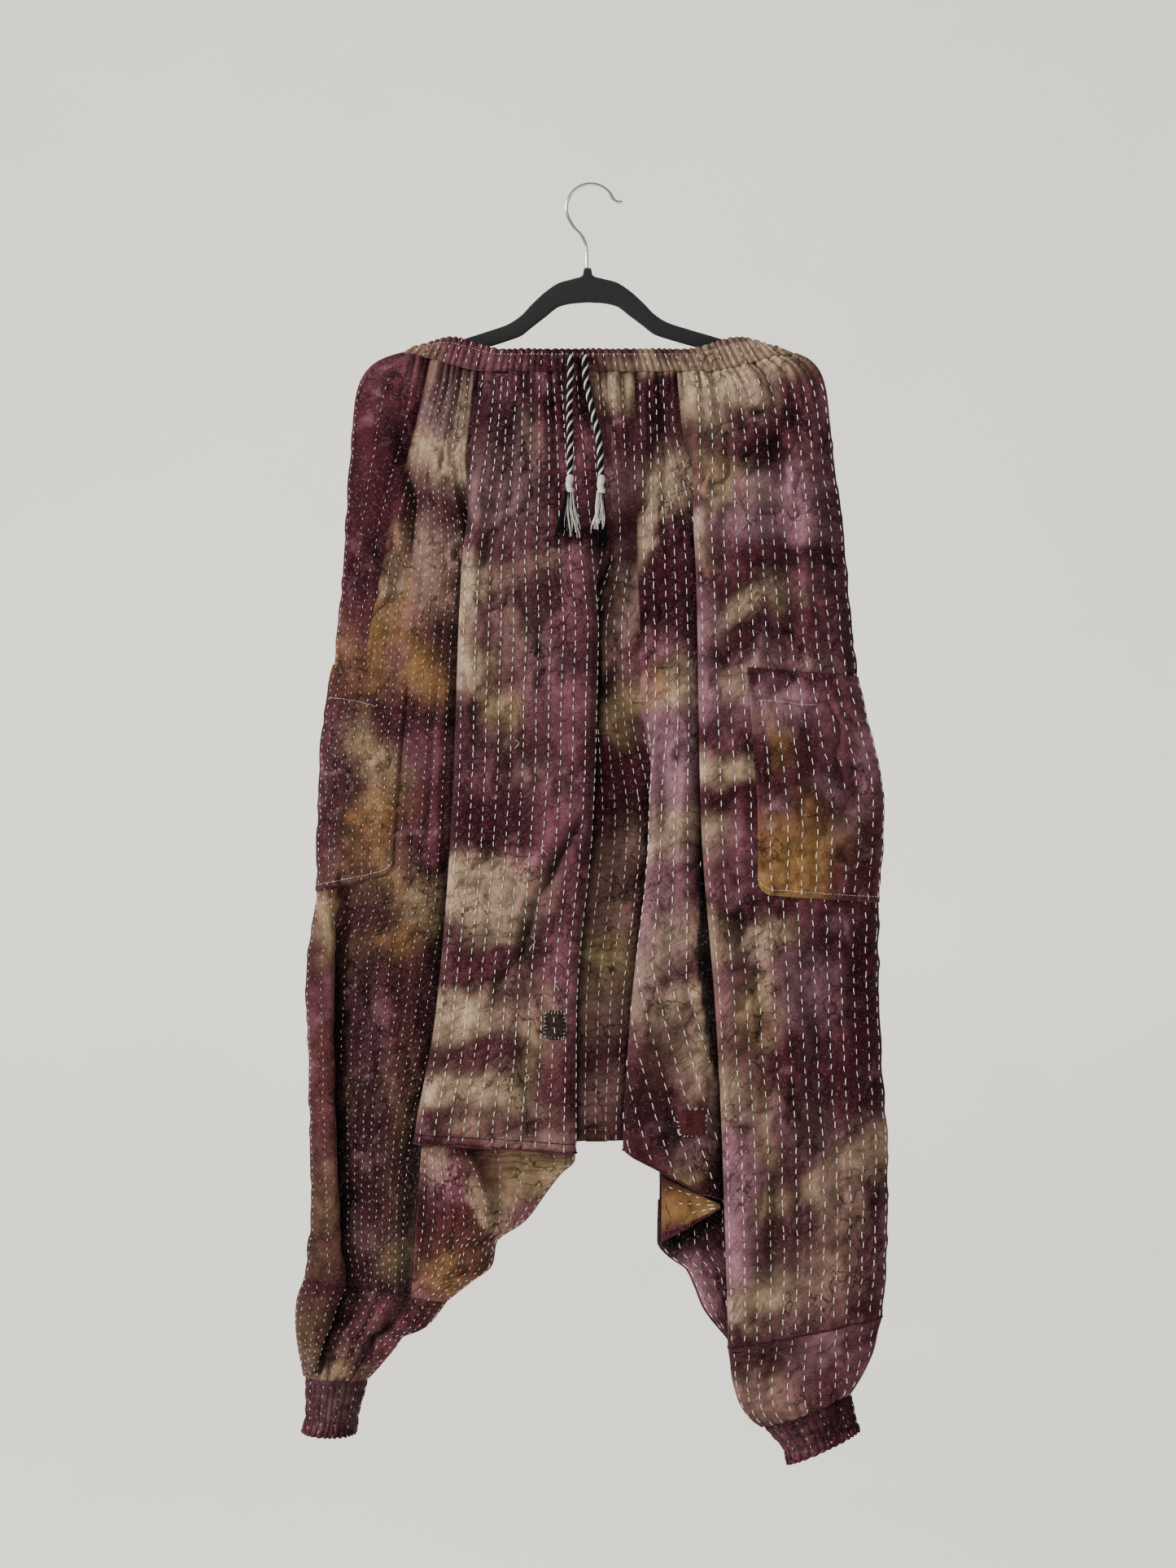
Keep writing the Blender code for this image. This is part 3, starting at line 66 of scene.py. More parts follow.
def smooth(value: Array | float, low: float, high: float) -> Array:
    """0 below low, 1 above high, and an even S between them."""
    share = np.clip((np.asarray(value, float) - low) / (high - low), 0.0, 1.0)
    return share * share * (3.0 - 2.0 * share)


def unit(vectors: Array) -> Array:
    """Vectors of length one."""
    return vectors / np.maximum(np.linalg.norm(vectors, axis=-1, keepdims=True), 1e-9)


def steady_curve(at: Array | float, places: Sequence[float], values: Sequence[float]) -> Array:
    """A smooth curve through the values that never overshoots them.

    Each stretch is a cubic whose end slopes are harmonic means of the neighbouring rises.

    Args:
        at: Where it is read, clamped to the first and last place.
        places: Rising places of the values.
        values: The value at each place.

    Returns:
        The curve's value at each of at.
    """
    places, values = np.asarray(places, float), np.asarray(values, float)
    at = np.clip(np.asarray(at, float), places[0], places[-1])
    step = np.diff(places)
    rise = np.diff(values) / step
    slope = np.zeros_like(values)
    slope[0], slope[-1] = rise[0], rise[-1]
    same_way = rise[:-1] * rise[1:] > 0
    weight_a, weight_b = 2 * step[1:] + step[:-1], step[1:] + 2 * step[:-1]
    safe = np.where(same_way, rise[:-1] * rise[1:], 1.0)
    middle = (weight_a + weight_b) * safe / (weight_a * rise[1:] + weight_b * rise[:-1] + 1e-30)
    slope[1:-1] = np.where(same_way, middle, 0.0)
    k = np.clip(np.searchsorted(places, at, side="right") - 1, 0, len(step) - 1)
    t, h = (at - places[k]) / step[k], step[k]
    return (
        values[k] * (1 + 2 * t) * (1 - t) ** 2 + slope[k] * h * t * (1 - t) ** 2
        + values[k + 1] * t * t * (3 - 2 * t) + slope[k + 1] * h * t * t * (t - 1)
    )


def noise(x: Array, y: Array, scale: float, seed: int) -> Array:
    """Smooth noise from -1 to 1: a fixed value at each corner of a square grid, joined by S curves.

    Args:
        x: Places across.
        y: Places down.
        scale: The grid's pitch.
        seed: Which noise it is.

    Returns:
        Its value at each place.
    """
    u, v = np.asarray(x, float) / scale, np.asarray(y, float) / scale
    i, j = np.floor(u).astype(np.int64), np.floor(v).astype(np.int64)
    a, b = u - i, v - j
    a, b = a * a * a * (a * (a * 6 - 15) + 10), b * b * b * (b * (b * 6 - 15) + 10)

    def corner(across: int, down: int) -> Array:
        """The fixed value at one corner of the square that each place is in.

        Args:
            across: 0 for the square's left side, 1 for its right one.
            down: 0 for its upper side, 1 for its lower one.

        Returns:
            The value for each place.
        """
        mixed = ((i + across) * 374761393 + (j + down) * 668265263 + seed * 2246822519) & 0xFFFFFFFF
        mixed = ((mixed ^ (mixed >> 13)) * 1274126177) & 0xFFFFFFFF
        mixed = ((mixed ^ (mixed >> 15)) * 2246822519) & 0xFFFFFFFF
        return ((mixed ^ (mixed >> 16)) & 0xFFFF) / 32767.5 - 1.0

    top = corner(0, 0) * (1 - a) + corner(1, 0) * a
    low = corner(0, 1) * (1 - a) + corner(1, 1) * a
    return top * (1 - b) + low * b


def layered(x: Array, y: Array, seed: int, waves: Sequence[tuple[float, float]]) -> Array:
    """A sum of noises, one for each pair of a height and a scale, with seeds that count up."""
    return sum(height * noise(x, y, scale, seed + number) for number, (height, scale) in enumerate(waves))


def running_length(path: Array) -> Array:
    """The length along a line of places, from 0 at its first place."""
    return np.concatenate([[0.0], np.cumsum(np.linalg.norm(np.diff(path, axis=0), axis=1))])


def to_world(points: Array) -> Array:
    """Places in millimetres as points in metres, with the front facing -Y."""
    return np.stack([points[..., 0], -points[..., 1], -points[..., 2]], axis=-1) * MM


# Dyes

class Tone(Enum):
    """The dyes of the cloth, as display colours from 0 to 255."""

    INK = (34, 11, 15)
    WINE = (57, 19, 28)
    PLUM = (78, 35, 44)
    MAUVE = (114, 70, 80)
    ROSE = (138, 100, 110)
    SAND = (164, 142, 116)
    TAUPE = (126, 99, 88)
    KHAKI = (140, 121, 88)
    OCHRE = (132, 99, 57)
    RUST = (84, 44, 37)
    SMOKE = (114, 86, 86)
    OLIVE = (90, 68, 48)
    PINK = (138, 96, 96)

    @property
    def linear(self) -> Array:
        """The dye as linear light, a little deeper where it is dark."""
        shown = np.array(self.value, float) / 255.0
        light = np.where(shown <= 0.04045, shown / 12.92, ((shown + 0.055) / 1.055) ** 2.4)
        return light * DYE_GAIN * (light.mean() / MIDDLE_LIGHT) ** DYE_DEPTH


INK, WINE, PLUM, MAUVE, ROSE, SAND, TAUPE, KHAKI, OCHRE, RUST, SMOKE, OLIVE, PINK = Tone
DYE_GAIN = 0.94
DYE_DEPTH = 0.16
MIDDLE_LIGHT = 0.1
GROUND_WEIGHT = 0.34


class Zone(Enum):
    """The lengths of cloth that were dyed apart from one another."""

    LEFT_LEG = 1
    STRIP = 2
    LEFT_CENTRE = 3
    RECESS = 4
    RIGHT_CENTRE = 5
    RIGHT_LEG = 6
    RIGHT_POCKET = 7
    WAIST = 8
    LEFT_SHIN = 9
    RIGHT_SHIN = 10
    LEFT_GUSSET = 11
    RIGHT_GUSSET = 12
    LEFT_FLAP = 13
    RIGHT_FLAP = 14
    LEFT_CUFF = 15
    RIGHT_CUFF = 16
    BACK = 17


class Blot(NamedTuple):
    """One soft-edged place of dye: its middle, half sizes, tone, strength and tilt in degrees."""

    x: float
    drop: float
    half_width: float
    half_height: float
    tone: Tone
    strength: float
    tilt: float = 0.0


BLOT_ROWS = {
    Zone.LEFT_LEG: (
        (-205, 985, 20, 95, WINE, 0.7), (-215, 300, 20, 90, WINE, 0.6), (-195, 900, 58, 190, INK, 0.75),
        (-185, 560, 55, 90, WINE, 0.5), (-184, 179, 20, 14, KHAKI, 0.5), (-207, 226, 20, 27, WINE, 0.8),
        (-144, 214, 19, 20, SMOKE, 0.7), (-137, 267, 25, 22, SAND, 0.59), (-119, 250, 6, 33, SAND, 0.56),
        (-185, 259, 17, 12, KHAKI, 0.8), (-144, 305, 30, 20, WINE, 0.9), (-206, 305, 27, 36, WINE, 0.7),
        (-144, 371, 31, 27, TAUPE, 0.8), (-198, 386, 19, 16, SAND, 0.49),
        (-177, 394, 8, 30, OCHRE, 0.9, -5), (-211, 432, 35, 28, OCHRE, 1), (-236, 429, 8, 31, OCHRE, 0.7),
        (-149, 429, 19, 11, WINE, 0.95), (-170, 416, 8, 9, MAUVE, 0.92), (-180, 471, 7, 20, MAUVE, 0.92),
        (-158, 476, 13, 22, OCHRE, 0.95), (-199, 481, 19, 13, OCHRE, 0.7), (-131, 469, 8, 35, INK, 0.7),
        (-172, 515, 49, 17, WINE, 0.8), (-166, 557, 24, 22, MAUVE, 0.75),
        (-221, 542, 11, 20, KHAKI, 0.8, -25), (-199, 575, 13, 27, KHAKI, 0.8, -20),
        (-206, 611, 20, 20, OCHRE, 0.6), (-245, 571, 19, 55, INK, 0.8), (-171, 609, 17, 14, RUST, 0.75),
        (-151, 598, 14, 20, WINE, 0.9), (-223, 664, 27, 20, OLIVE, 0.7), (-195, 646, 8, 33, OCHRE, 0.5),
        (-179, 667, 9, 14, MAUVE, 0.69), (-173, 689, 16, 25, KHAKI, 0.85, -20),
        (-217, 713, 30, 20, WINE, 0.85), (-231, 740, 20, 20, OLIVE, 0.8),
        (-194, 730, 16, 13, OCHRE, 0.75, -30), (-174, 752, 11, 31, RUST, 0.6),
        (-235, 815, 22, 47, INK, 0.8), (-187, 790, 20, 24, WINE, 0.8), (-200, 810, 16, 20, MAUVE, 0.69),
        (-174, 838, 9, 22, RUST, 0.6), (-232, 876, 14, 14, OLIVE, 0.4), (-184, 887, 10, 33, OLIVE, 0.9),
        (-231, 960, 14, 52, INK, 0.85), (-189, 977, 14, 33, OLIVE, 0.55), (-214, 1013, 13, 14, SMOKE, 0.4),
        (-184, 1039, 16, 16, KHAKI, 0.85), (-215, 1062, 24, 13, WINE, 0.8),
    ),
    Zone.STRIP: (
        (-225, 380, 40, 230, WINE, 0.8), (-230, 470, 14, 30, OCHRE, 0.4), (-272, 752, 8, 47, WINE, 0.8),
        (-255, 724, 7, 27, KHAKI, 0.8), (-257, 846, 11, 66, RUST, 0.4), (-268, 824, 6, 27, MAUVE, 0.45),
        (-246, 983, 14, 41, OLIVE, 0.8), (-264, 1007, 8, 39, OLIVE, 0.5), (-250, 1047, 20, 13, WINE, 0.6),
        (-251, 1074, 24, 14, WINE, 0.85),
    ),
    Zone.LEFT_SHIN: (
        (-278, 1108, 10, 34, OLIVE, 0.8), (-262, 1142, 16, 14, KHAKI, 0.5), (-255, 1080, 22, 12, WINE, 1.0),
        (-254, 1108, 12, 14, OLIVE, 0.7), (-253, 1116, 5, 6, WINE, 0.8),
        (-203, 1115, 9, 24, RUST, 0.4, -15), (-214, 1146, 10, 9, OLIVE, 0.5),
        (-222, 1090, 12, 34, INK, 0.8), (-176, 1088, 24, 14, PLUM, 0.7), (-165, 1072, 22, 9, OLIVE, 0.6),
    ),
    Zone.LEFT_GUSSET: (
        (-156, 934, 11, 11, SAND, 0.63), (-147, 951, 13, 19, MAUVE, 1.03, -15),
        (-154, 995, 22, 19, WINE, 0.7), (-129, 1002, 19, 14, RUST, 0.8),
        (-141, 1052, 28, 16, OCHRE, 0.85, -15), (-111, 1041, 14, 13, WINE, 0.8),
        (-166, 1075, 17, 19, MAUVE, 0.69), (-176, 1047, 9, 27, RUST, 0.5),
    ),
    Zone.LEFT_FLAP: (
        (-61, 961, 28, 17, KHAKI, 1), (-44, 956, 13, 9, SAND, 0.56), (-97, 966, 11, 9, PLUM, 0.85),
        (-33, 937, 17, 7, INK, 0.9), (-89, 991, 11, 13, SAND, 0.56), (-66, 1000, 17, 8, MAUVE, 0.8, -40),
    ),
    Zone.LEFT_CENTRE: (
        (-88, 188, 13, 17, MAUVE, 0.57), (-71, 238, 25, 27, INK, 0.65), (-84, 300, 16, 31, SMOKE, 0.85),
        (-60, 243, 9, 19, TAUPE, 0.5), (-86, 347, 33, 14, WINE, 0.9), (-72, 367, 35, 10, TAUPE, 0.7),
        (-100, 392, 13, 17, SAND, 0.42), (-114, 416, 7, 44, SAND, 0.63), (-54, 416, 31, 27, WINE, 0.75),
        (-8, 385, 17, 33, MAUVE, 0.8), (-66, 443, 14, 27, TAUPE, 0.75), (-105, 476, 13, 13, SAND, 0.59),
        (-89, 487, 7, 7, WINE, 0.7), (-79, 510, 12, 14, KHAKI, 0.7), (-97, 542, 28, 13, INK, 0.8),
        (-33, 493, 27, 30, MAUVE, 0.69), (-107, 557, 16, 16, MAUVE, 0.8), (-100, 601, 33, 16, WINE, 0.9),
        (-74, 625, 27, 11, WINE, 0.85), (-54, 575, 16, 14, TAUPE, 0.4), (-31, 611, 28, 31, MAUVE, 0.69),
        (-97, 683, 33, 14, SAND, 0.66), (-57, 667, 22, 16, MAUVE, 0.8), (-122, 703, 16, 24, SAND, 0.56),
        (-88, 714, 24, 13, SAND, 0.42), (-129, 748, 13, 17, PLUM, 0.9), (-93, 761, 19, 14, PLUM, 0.7),
        (-121, 804, 28, 13, SAND, 1), (-107, 820, 17, 8, SAND, 0.63), (-94, 807, 9, 5, WINE, 0.7),
        (-111, 842, 30, 9, WINE, 0.95, -30), (-82, 848, 25, 13, PLUM, 0.75), (-57, 812, 27, 28, TAUPE, 0.7),
        (-60, 843, 11, 24, KHAKI, 0.75), (-140, 876, 24, 12, SAND, 0.66), (-94, 884, 39, 13, SAND, 0.42),
        (-149, 909, 24, 8, WINE, 0.9), (-62, 903, 20, 6, PLUM, 0.8), (-29, 854, 19, 33, PLUM, 1),
        (-47, 922, 31, 7, TAUPE, 0.8), (-17, 768, 11, 55, MAUVE, 0.69), (-19, 917, 11, 16, MAUVE, 0.8),
    ),
    Zone.RECESS: (
        (22, 198, 12, 13, SAND, 0.56), (13, 237, 14, 22, WINE, 0.8), (27, 290, 16, 19, SMOKE, 0.6),
        (15, 330, 11, 24, WINE, 0.9), (31, 399, 11, 30, TAUPE, 0.7), (26, 432, 9, 27, TAUPE, 0.6),
        (30, 513, 14, 16, KHAKI, 0.7), (11, 477, 8, 63, INK, 0.3), (36, 568, 20, 24, PLUM, 0.6),
        (38, 617, 19, 22, WINE, 0.6), (26, 656, 19, 19, TAUPE, 0.7), (11, 705, 19, 20, TAUPE, 0.7),
        (14, 752, 24, 19, KHAKI, 0.8), (11, 796, 22, 22, TAUPE, 0.8), (14, 837, 19, 13, PLUM, 0.6),
        (9, 879, 22, 22, TAUPE, 0.8), (24, 912, 13, 11, PLUM, 0.6),
    ),
    Zone.RIGHT_CENTRE: (
        (62, 690, 24, 60, ROSE, 0.69), (74, 800, 22, 40, SAND, 0.35), (58, 170, 25, 9, SAND, 0.52),
        (61, 234, 19, 36, WINE, 0.8), (36, 265, 13, 24, SMOKE, 0.4), (77, 295, 19, 20, SAND, 0.63),
        (85, 301, 5, 9, WINE, 0.9), (51, 331, 8, 31, SAND, 0.56, 15), (88, 356, 14, 25, WINE, 0.9),
        (69, 416, 11, 27, WINE, 0.7), (68, 446, 14, 14, MAUVE, 0.8), (73, 491, 14, 9, OCHRE, 0.9, -30),
        (94, 476, 11, 14, SAND, 0.59), (88, 502, 14, 7, SAND, 0.63), (77, 556, 22, 38, ROSE, 0.92),
        (83, 619, 13, 22, SAND, 0.66), (66, 641, 9, 20, SAND, 0.52), (59, 683, 13, 13, PLUM, 0.85),
        (85, 722, 24, 10, SAND, 0.59), (57, 744, 6, 35, SAND, 0.52, 10), (82, 746, 10, 13, WINE, 0.9),
        (99, 757, 8, 13, WINE, 0.7), (78, 771, 8, 9, WINE, 0.7), (99, 787, 11, 17, SAND, 0.66),
        (57, 781, 11, 14, SMOKE, 0.8), (96, 810, 14, 10, SMOKE, 0.8), (106, 837, 10, 20, SAND, 1),
        (60, 827, 20, 14, WINE, 0.95), (57, 873, 22, 27, WINE, 0.85), (99, 871, 13, 13, TAUPE, 0.7),
        (116, 913, 7, 20, SMOKE, 0.7), (89, 934, 16, 8, SMOKE, 0.6), (60, 948, 27, 14, PLUM, 0.9),
        (89, 956, 16, 8, KHAKI, 0.7), (116, 973, 14, 8, WINE, 0.8),
    ),
    Zone.RIGHT_LEG: (
        (119, 195, 35, 24, SAND, 1), (163, 178, 33, 16, SAND, 1, -8), (205, 199, 16, 20, PLUM, 0.9),
        (170, 256, 52, 20, WINE, 1), (138, 228, 20, 13, WINE, 0.8), (220, 246, 8, 41, MAUVE, 0.92),
        (181, 294, 36, 9, ROSE, 0.98, -12), (120, 287, 16, 19, KHAKI, 0.75), (147, 301, 8, 7, PLUM, 0.8),
        (160, 301, 11, 9, SAND, 0.35), (168, 330, 39, 13, ROSE, 0.86), (136, 347, 19, 11, WINE, 0.8),
        (190, 377, 36, 14, WINE, 0.85, -10), (159, 411, 28, 10, SAND, 0.52, -25),
        (113, 328, 6, 31, SAND, 0.42), (225, 392, 16, 13, MAUVE, 0.8), (182, 440, 41, 16, WINE, 0.95, -15),
        (111, 434, 8, 24, ROSE, 0.69), (253, 422, 8, 71, INK, 0.8), (198, 463, 19, 14, SMOKE, 0.85),
        (157, 489, 16, 11, SAND, 0.52), (187, 499, 24, 17, ROSE, 0.86), (116, 493, 11, 19, ROSE, 0.69),
        (118, 567, 14, 7, SAND, 0.66), (155, 568, 24, 5, SAND, 0.52), (129, 598, 24, 12, WINE, 0.9),
        (120, 626, 14, 11, SAND, 0.45), (144, 650, 16, 27, MAUVE, 0.86), (148, 705, 25, 19, WINE, 0.85),
        (116, 713, 8, 31, SAND, 0.35), (155, 730, 28, 10, SAND, 0.52), (159, 793, 24, 20, KHAKI, 0.8),
        (130, 785, 14, 30, MAUVE, 0.8), (209, 785, 24, 22, ROSE, 0.92), (204, 788, 18, 18, WINE, 1),
        (256, 804, 28, 86, WINE, 0.95), (246, 887, 36, 41, WINE, 0.9), (234, 796, 5, 27, MAUVE, 0.8, 30),
        (185, 840, 36, 20, PLUM, 0.6), (138, 870, 13, 20, SAND, 0.45, 20), (181, 881, 22, 20, WINE, 0.8),
        (165, 909, 9, 24, KHAKI, 0.7), (220, 907, 30, 13, SMOKE, 0.6), (267, 936, 22, 24, SAND, 0.66),
        (190, 933, 19, 30, WINE, 1), (144, 934, 11, 31, ROSE, 0.86), (219, 969, 13, 13, SAND, 0.59),
        (168, 985, 12, 15, KHAKI, 0.8), (185, 1013, 27, 20, WINE, 0.95), (206, 984, 11, 14, INK, 0.7),
        (240, 1000, 11, 31, TAUPE, 0.9), (277, 1020, 11, 46, WINE, 1), (165, 1071, 22, 20, SAND, 1),
        (218, 1058, 28, 30, TAUPE, 0.95), (187, 1074, 6, 19, WINE, 0.7), (137, 1011, 9, 47, ROSE, 0.92),
        (162, 1107, 35, 10, WINE, 0.85),
    ),
    Zone.RIGHT_POCKET: (
        (217, 579, 39, 47, WINE, 0.9), (185, 507, 27, 16, ROSE, 0.8), (192, 648, 36, 27, OCHRE, 1, -20),
        (184, 675, 20, 20, OCHRE, 1), (223, 644, 20, 11, OCHRE, 0.9, -15), (163, 638, 8, 31, RUST, 0.7),
        (181, 535, 8, 20, OCHRE, 0.65, -25), (178, 597, 6, 6, ROSE, 0.92), (234, 591, 11, 6, ROSE, 0.69),
        (242, 534, 14, 25, MAUVE, 0.8), (273, 550, 11, 17, ROSE, 0.86), (256, 620, 9, 25, SMOKE, 0.65, 35),
        (265, 672, 19, 24, WINE, 0.9), (248, 688, 13, 6, RUST, 0.5),
    ),
    Zone.WAIST: (
        (-172, 165, 22, 9, KHAKI, 0.7), (-129, 162, 17, 9, WINE, 0.8), (-83, 171, 19, 9, MAUVE, 0.69),
        (-27, 171, 35, 11, WINE, 0.7), (55, 171, 28, 9, SAND, 0.52), (99, 168, 20, 9, TAUPE, 0.7),
        (142, 168, 35, 9, SAND, 0.66), (126, 151, 24, 4, PLUM, 0.9), (179, 160, 19, 11, SAND, 0.63),
    ),
    Zone.LEFT_CUFF: (
        (-237, 1182, 9, 16, SMOKE, 0.5), (-266, 1192, 11, 16, WINE, 0.6),
    ),
    Zone.RIGHT_CUFF: (
        (205, 1206, 20, 13, MAUVE, 0.69), (240, 1196, 16, 14, WINE, 0.7),
    ),
    Zone.RIGHT_SHIN: (
        (200, 1190, 70, 22, WINE, 0.5), (158, 1125, 25, 14, WINE, 0.85), (165, 1163, 27, 24, TAUPE, 0.85),
        (220, 1121, 19, 20, ROSE, 0.8), (257, 1145, 17, 31, MAUVE, 0.86), (195, 1129, 16, 11, WINE, 0.7),
        (187, 1184, 17, 9, TAUPE, 0.7), (225, 1160, 16, 13, PLUM, 0.7),
    ),
    Zone.RIGHT_FLAP: (
        (96, 989, 31, 17, OCHRE, 1), (115, 986, 11, 6, KHAKI, 0.6), (74, 1011, 11, 9, WINE, 0.6),
    ),
    Zone.RIGHT_GUSSET: (
        (85, 1036, 20, 9, WINE, 0.9), (108, 1060, 13, 17, ROSE, 1.03), (116, 1027, 11, 20, PLUM, 0.8),
        (126, 1090, 9, 19, WINE, 0.7),
    ),
}


BACK_TONES = (SAND, MAUVE, WINE, OCHRE, TAUPE, INK, ROSE, KHAKI, WINE)
BACK_LAYOUT = {"rows": 15, "columns": 9, "left": -255, "top": 205, "across": 64, "down": 62, "shift": 20}


def back_blots() -> tuple[Blot, ...]:
    """The back's blots, spread evenly and unevenly sized, in the same dyes as the front's.

    Returns:
        The blots.
    """
    chance = np.random.default_rng(23)
    layout = BACK_LAYOUT
    made = []
    for row in range(layout["rows"]):
        for column in range(layout["columns"]):
            x = layout["left"] + layout["across"] * column + chance.uniform(-24, 24)
            x += layout["shift"] * (row % 2)
            drop = layout["top"] + layout["down"] * row + chance.uniform(-22, 22)
            size = chance.uniform(14, 38)
            tone = BACK_TONES[int(chance.integers(len(BACK_TONES)))]
            height = size * chance.uniform(0.5, 1.3)
            made.append(Blot(x, drop, size, height, tone, chance.uniform(0.55, 0.95)))
    return tuple(made)


BLOTS = {zone: tuple(Blot(*row) for row in rows) for zone, rows in BLOT_ROWS.items()}
BLOTS[Zone.BACK] = back_blots()
PUSH_ACROSS = ((13, 38), (6, 13))
PUSH_DOWN = ((15, 42), (7, 14))
SMOKE_WAVES = ((0.55, 24), (0.45, 10), (0.3, 5))
UNEVEN_WAVES = ((0.17, 15), (0.15, 7))
VEIN_SHARE = 0.34
BLOT_SPREAD = 1.12
BLOT_FRINGE = 3.0
BLOT_FALL = 1.15


def dyed(zone: Zone, x: Array, drop: Array) -> Array:
    """The cloth's colour at places of one zone.

    A dark ground wavers between wine, plum and ink. The ground and the blots are mixed by their
    weights, and a blot's weight is a bell of its own distance, so that dyes run into each other.
    The places are first pushed about by noise.

    Args:
        zone: The length of cloth.
        x: Across, in millimetres.
        drop: Down, in millimetres.

    Returns:
        Linear colours, one more axis than x.
    """
    seed = 10 * zone.value
    across = x + layered(x, drop, seed + 1, PUSH_ACROSS)
    down = drop + layered(x, drop, seed + 3, PUSH_DOWN)
    slow, quick = noise(x, drop, 52, seed + 5), noise(x, drop * 0.7, 19, seed + 6)
    smoke = layered(x, drop, seed + 7, SMOKE_WAVES)

    def lay(ground: Array, tone: Tone, share: Array) -> Array:
        """The ground with a share of a tone over it."""
        return ground + (tone.linear - ground) * share[..., None]

    colour = np.broadcast_to(WINE.linear, (*np.shape(x), 3)).copy()
    colour = lay(colour, PLUM, 0.9 * smooth(slow + 0.5 * quick + 0.4 * smoke, -0.6, 0.6))
    colour = lay(colour, MAUVE, 0.45 * smooth(quick + 0.6 * slow + 0.5 * smoke, 0.1, 1.1))
    colour = lay(colour, INK, 0.55 * smooth(-quick - 0.3 * slow + 0.4 * smoke, 0.25, 1.0))
    weight = np.full(np.shape(x), GROUND_WEIGHT)
    colour = colour * GROUND_WEIGHT
    for blot in BLOTS.get(zone, ()):
        turn, lean = math.cos(math.radians(blot.tilt)), math.sin(math.radians(blot.tilt))
        dx, dd = across - blot.x, down - blot.drop
        along = (dx * turn + dd * lean) / (BLOT_SPREAD * blot.half_width + BLOT_FRINGE)
        beside = (dd * turn - dx * lean) / (BLOT_SPREAD * blot.half_height + BLOT_FRINGE)
        share = blot.strength * np.exp(-BLOT_FALL * (along**2 + beside**2)) * (1 + 0.45 * smoke)
        colour = colour + blot.tone.linear * share[..., None]
        weight = weight + share
    colour = colour / weight[..., None] * (1 + layered(x, drop, seed + 3, UNEVEN_WAVES))[..., None]
    veins = np.maximum(1 - np.abs(noise(across, down, 31, seed + 1)) * 7, 0) ** 1.5
    return lay(colour, ROSE, VEIN_SHARE * veins * smooth(slow + smoke, -0.4, 0.6))


# The form of the hung cloth

class Section(NamedTuple):
    """One height of the body.

    Attributes:
        mid: Its drop in the middle.
        ends: Its drop at the ring's two ends.
        left: The ring's left end.
        right: Its right end.
        front: How far it stands out in front.
        back: How far it stands out behind.
    """

    mid: float
    ends: float
    left: float
    right: float
    front: float
    back: float


SECTIONS = (
    Section(183, 165.5, -184, 200, 9, 9), Section(190, 171.5, -203, 213, 11, 11),
    Section(199, 183, -216, 223, 13, 13), Section(211, 200, -224, 229, 15, 15),
    Section(232, 226, -229, 233, 17, 17), Section(270, 270, -232, 238, 20, 19),
    Section(330, 330, -236, 246, 23, 21), Section(385, 385, -240, 251, 25, 23),
    Section(450, 450, -246, 257, 27, 25), Section(510, 510, -256, 267, 28, 26),
    Section(560, 560, -261, 279, 29, 27), Section(611, 611, -262, 286, 30, 28),
    Section(689, 689, -264, 281, 30, 28), Section(767, 767, -275, 281, 30, 28),
    Section(846, 846, -272, 284, 30, 28), Section(929, 929, -271, 289, 30, 28),
    Section(1003, 1003, -270, 290, 29, 27), Section(1060, 1060, -276, 288, 27, 25),
    Section(1122, 1122, -284, 281, 25, 23),
)


class Fold(NamedTuple):
    """A pleat of the front.

    Attributes:
        name: What it is called.
        over: The side whose cloth lies on top.
        edges: Its edge's x at each of FOLD_DROPS.
        starts: The drop where it begins to close.
        full: The drop where it is closed.
        overlap: How far its hidden turn lies from its edge.
        hem_overlap: The same at the hem.
        level_left: How far the cloth left of it stands out.
        level_right: How far the cloth right of it stands out.
        hem_left: The drop of the hem left of it.
        hem_right: The drop of the hem right of it.
        shadow: How far its dark goes over the cloth beneath.
        gap: Pairs of a drop and a width of painted shadow beside its edge, where the fold would stand open.
    """

    name: str
    over: str
    edges: tuple[float, ...]
    starts: float
    full: float
    overlap: float
    hem_overlap: float
    level_left: float
    level_right: float
    hem_left: float
    hem_right: float
    shadow: float
    gap: tuple[tuple[float, float], ...] = ()


FOLD_DROPS = (CASING_DROP, 375, 611, 807, CROTCH_DROP, 1100)
# Widths of painted shadow beside the right and centre pleats' edges, by drop: the dye goes near black there.
RIGHT_GAP_SHADOW = (
    (560, 0.0), (640, 3.0), (700, 7.0), (745, 16.0), (800, 13.0), (838, 9.5), (862, 5.0), (900, 3.2),
    (1000, 3.0),
)
CENTRE_GAP_SHADOW = ((350, 0.0), (372, 5.5), (470, 5.5), (530, 2.5), (700, 1.2), (950, 1.2))
FOLDS = (
    Fold("side strip", "left", (-160, -206, -238, -246.5, -244, -233), 686, 745, 15, 15, 9, -4, 0, 0, 11),
    Fold("left pleat", "right", (-105, -122, -131, -147, -168, -180), 260, 380, 22, 7, -3, 9, 926, 926, 9),
    Fold("centre pleat", "left", (-5, 9, 3, -13, -13, -13), 350, 440, 20, 16, 12, -10, 935, 926, 5,
         CENTRE_GAP_SHADOW),
    Fold("inner pleat", "right", (50, 54, 58, 40, 33, 33), 500, 620, 14, 12, -10, 5, 926, 933, 5),
    Fold("right pleat", "right", (91, 103, 107.5, 122, 128, 133.5), 232, 350, 18, 16, -3, 12, 989, 989, 9,
         RIGHT_GAP_SHADOW),
)
PANEL_POINTS = (1, 3, 3, 2, 2, 4)
END_SHARE = 0.012
RIGHT_CENTRE_HEMS = (955, 975)
OPEN_STEP = 4.0


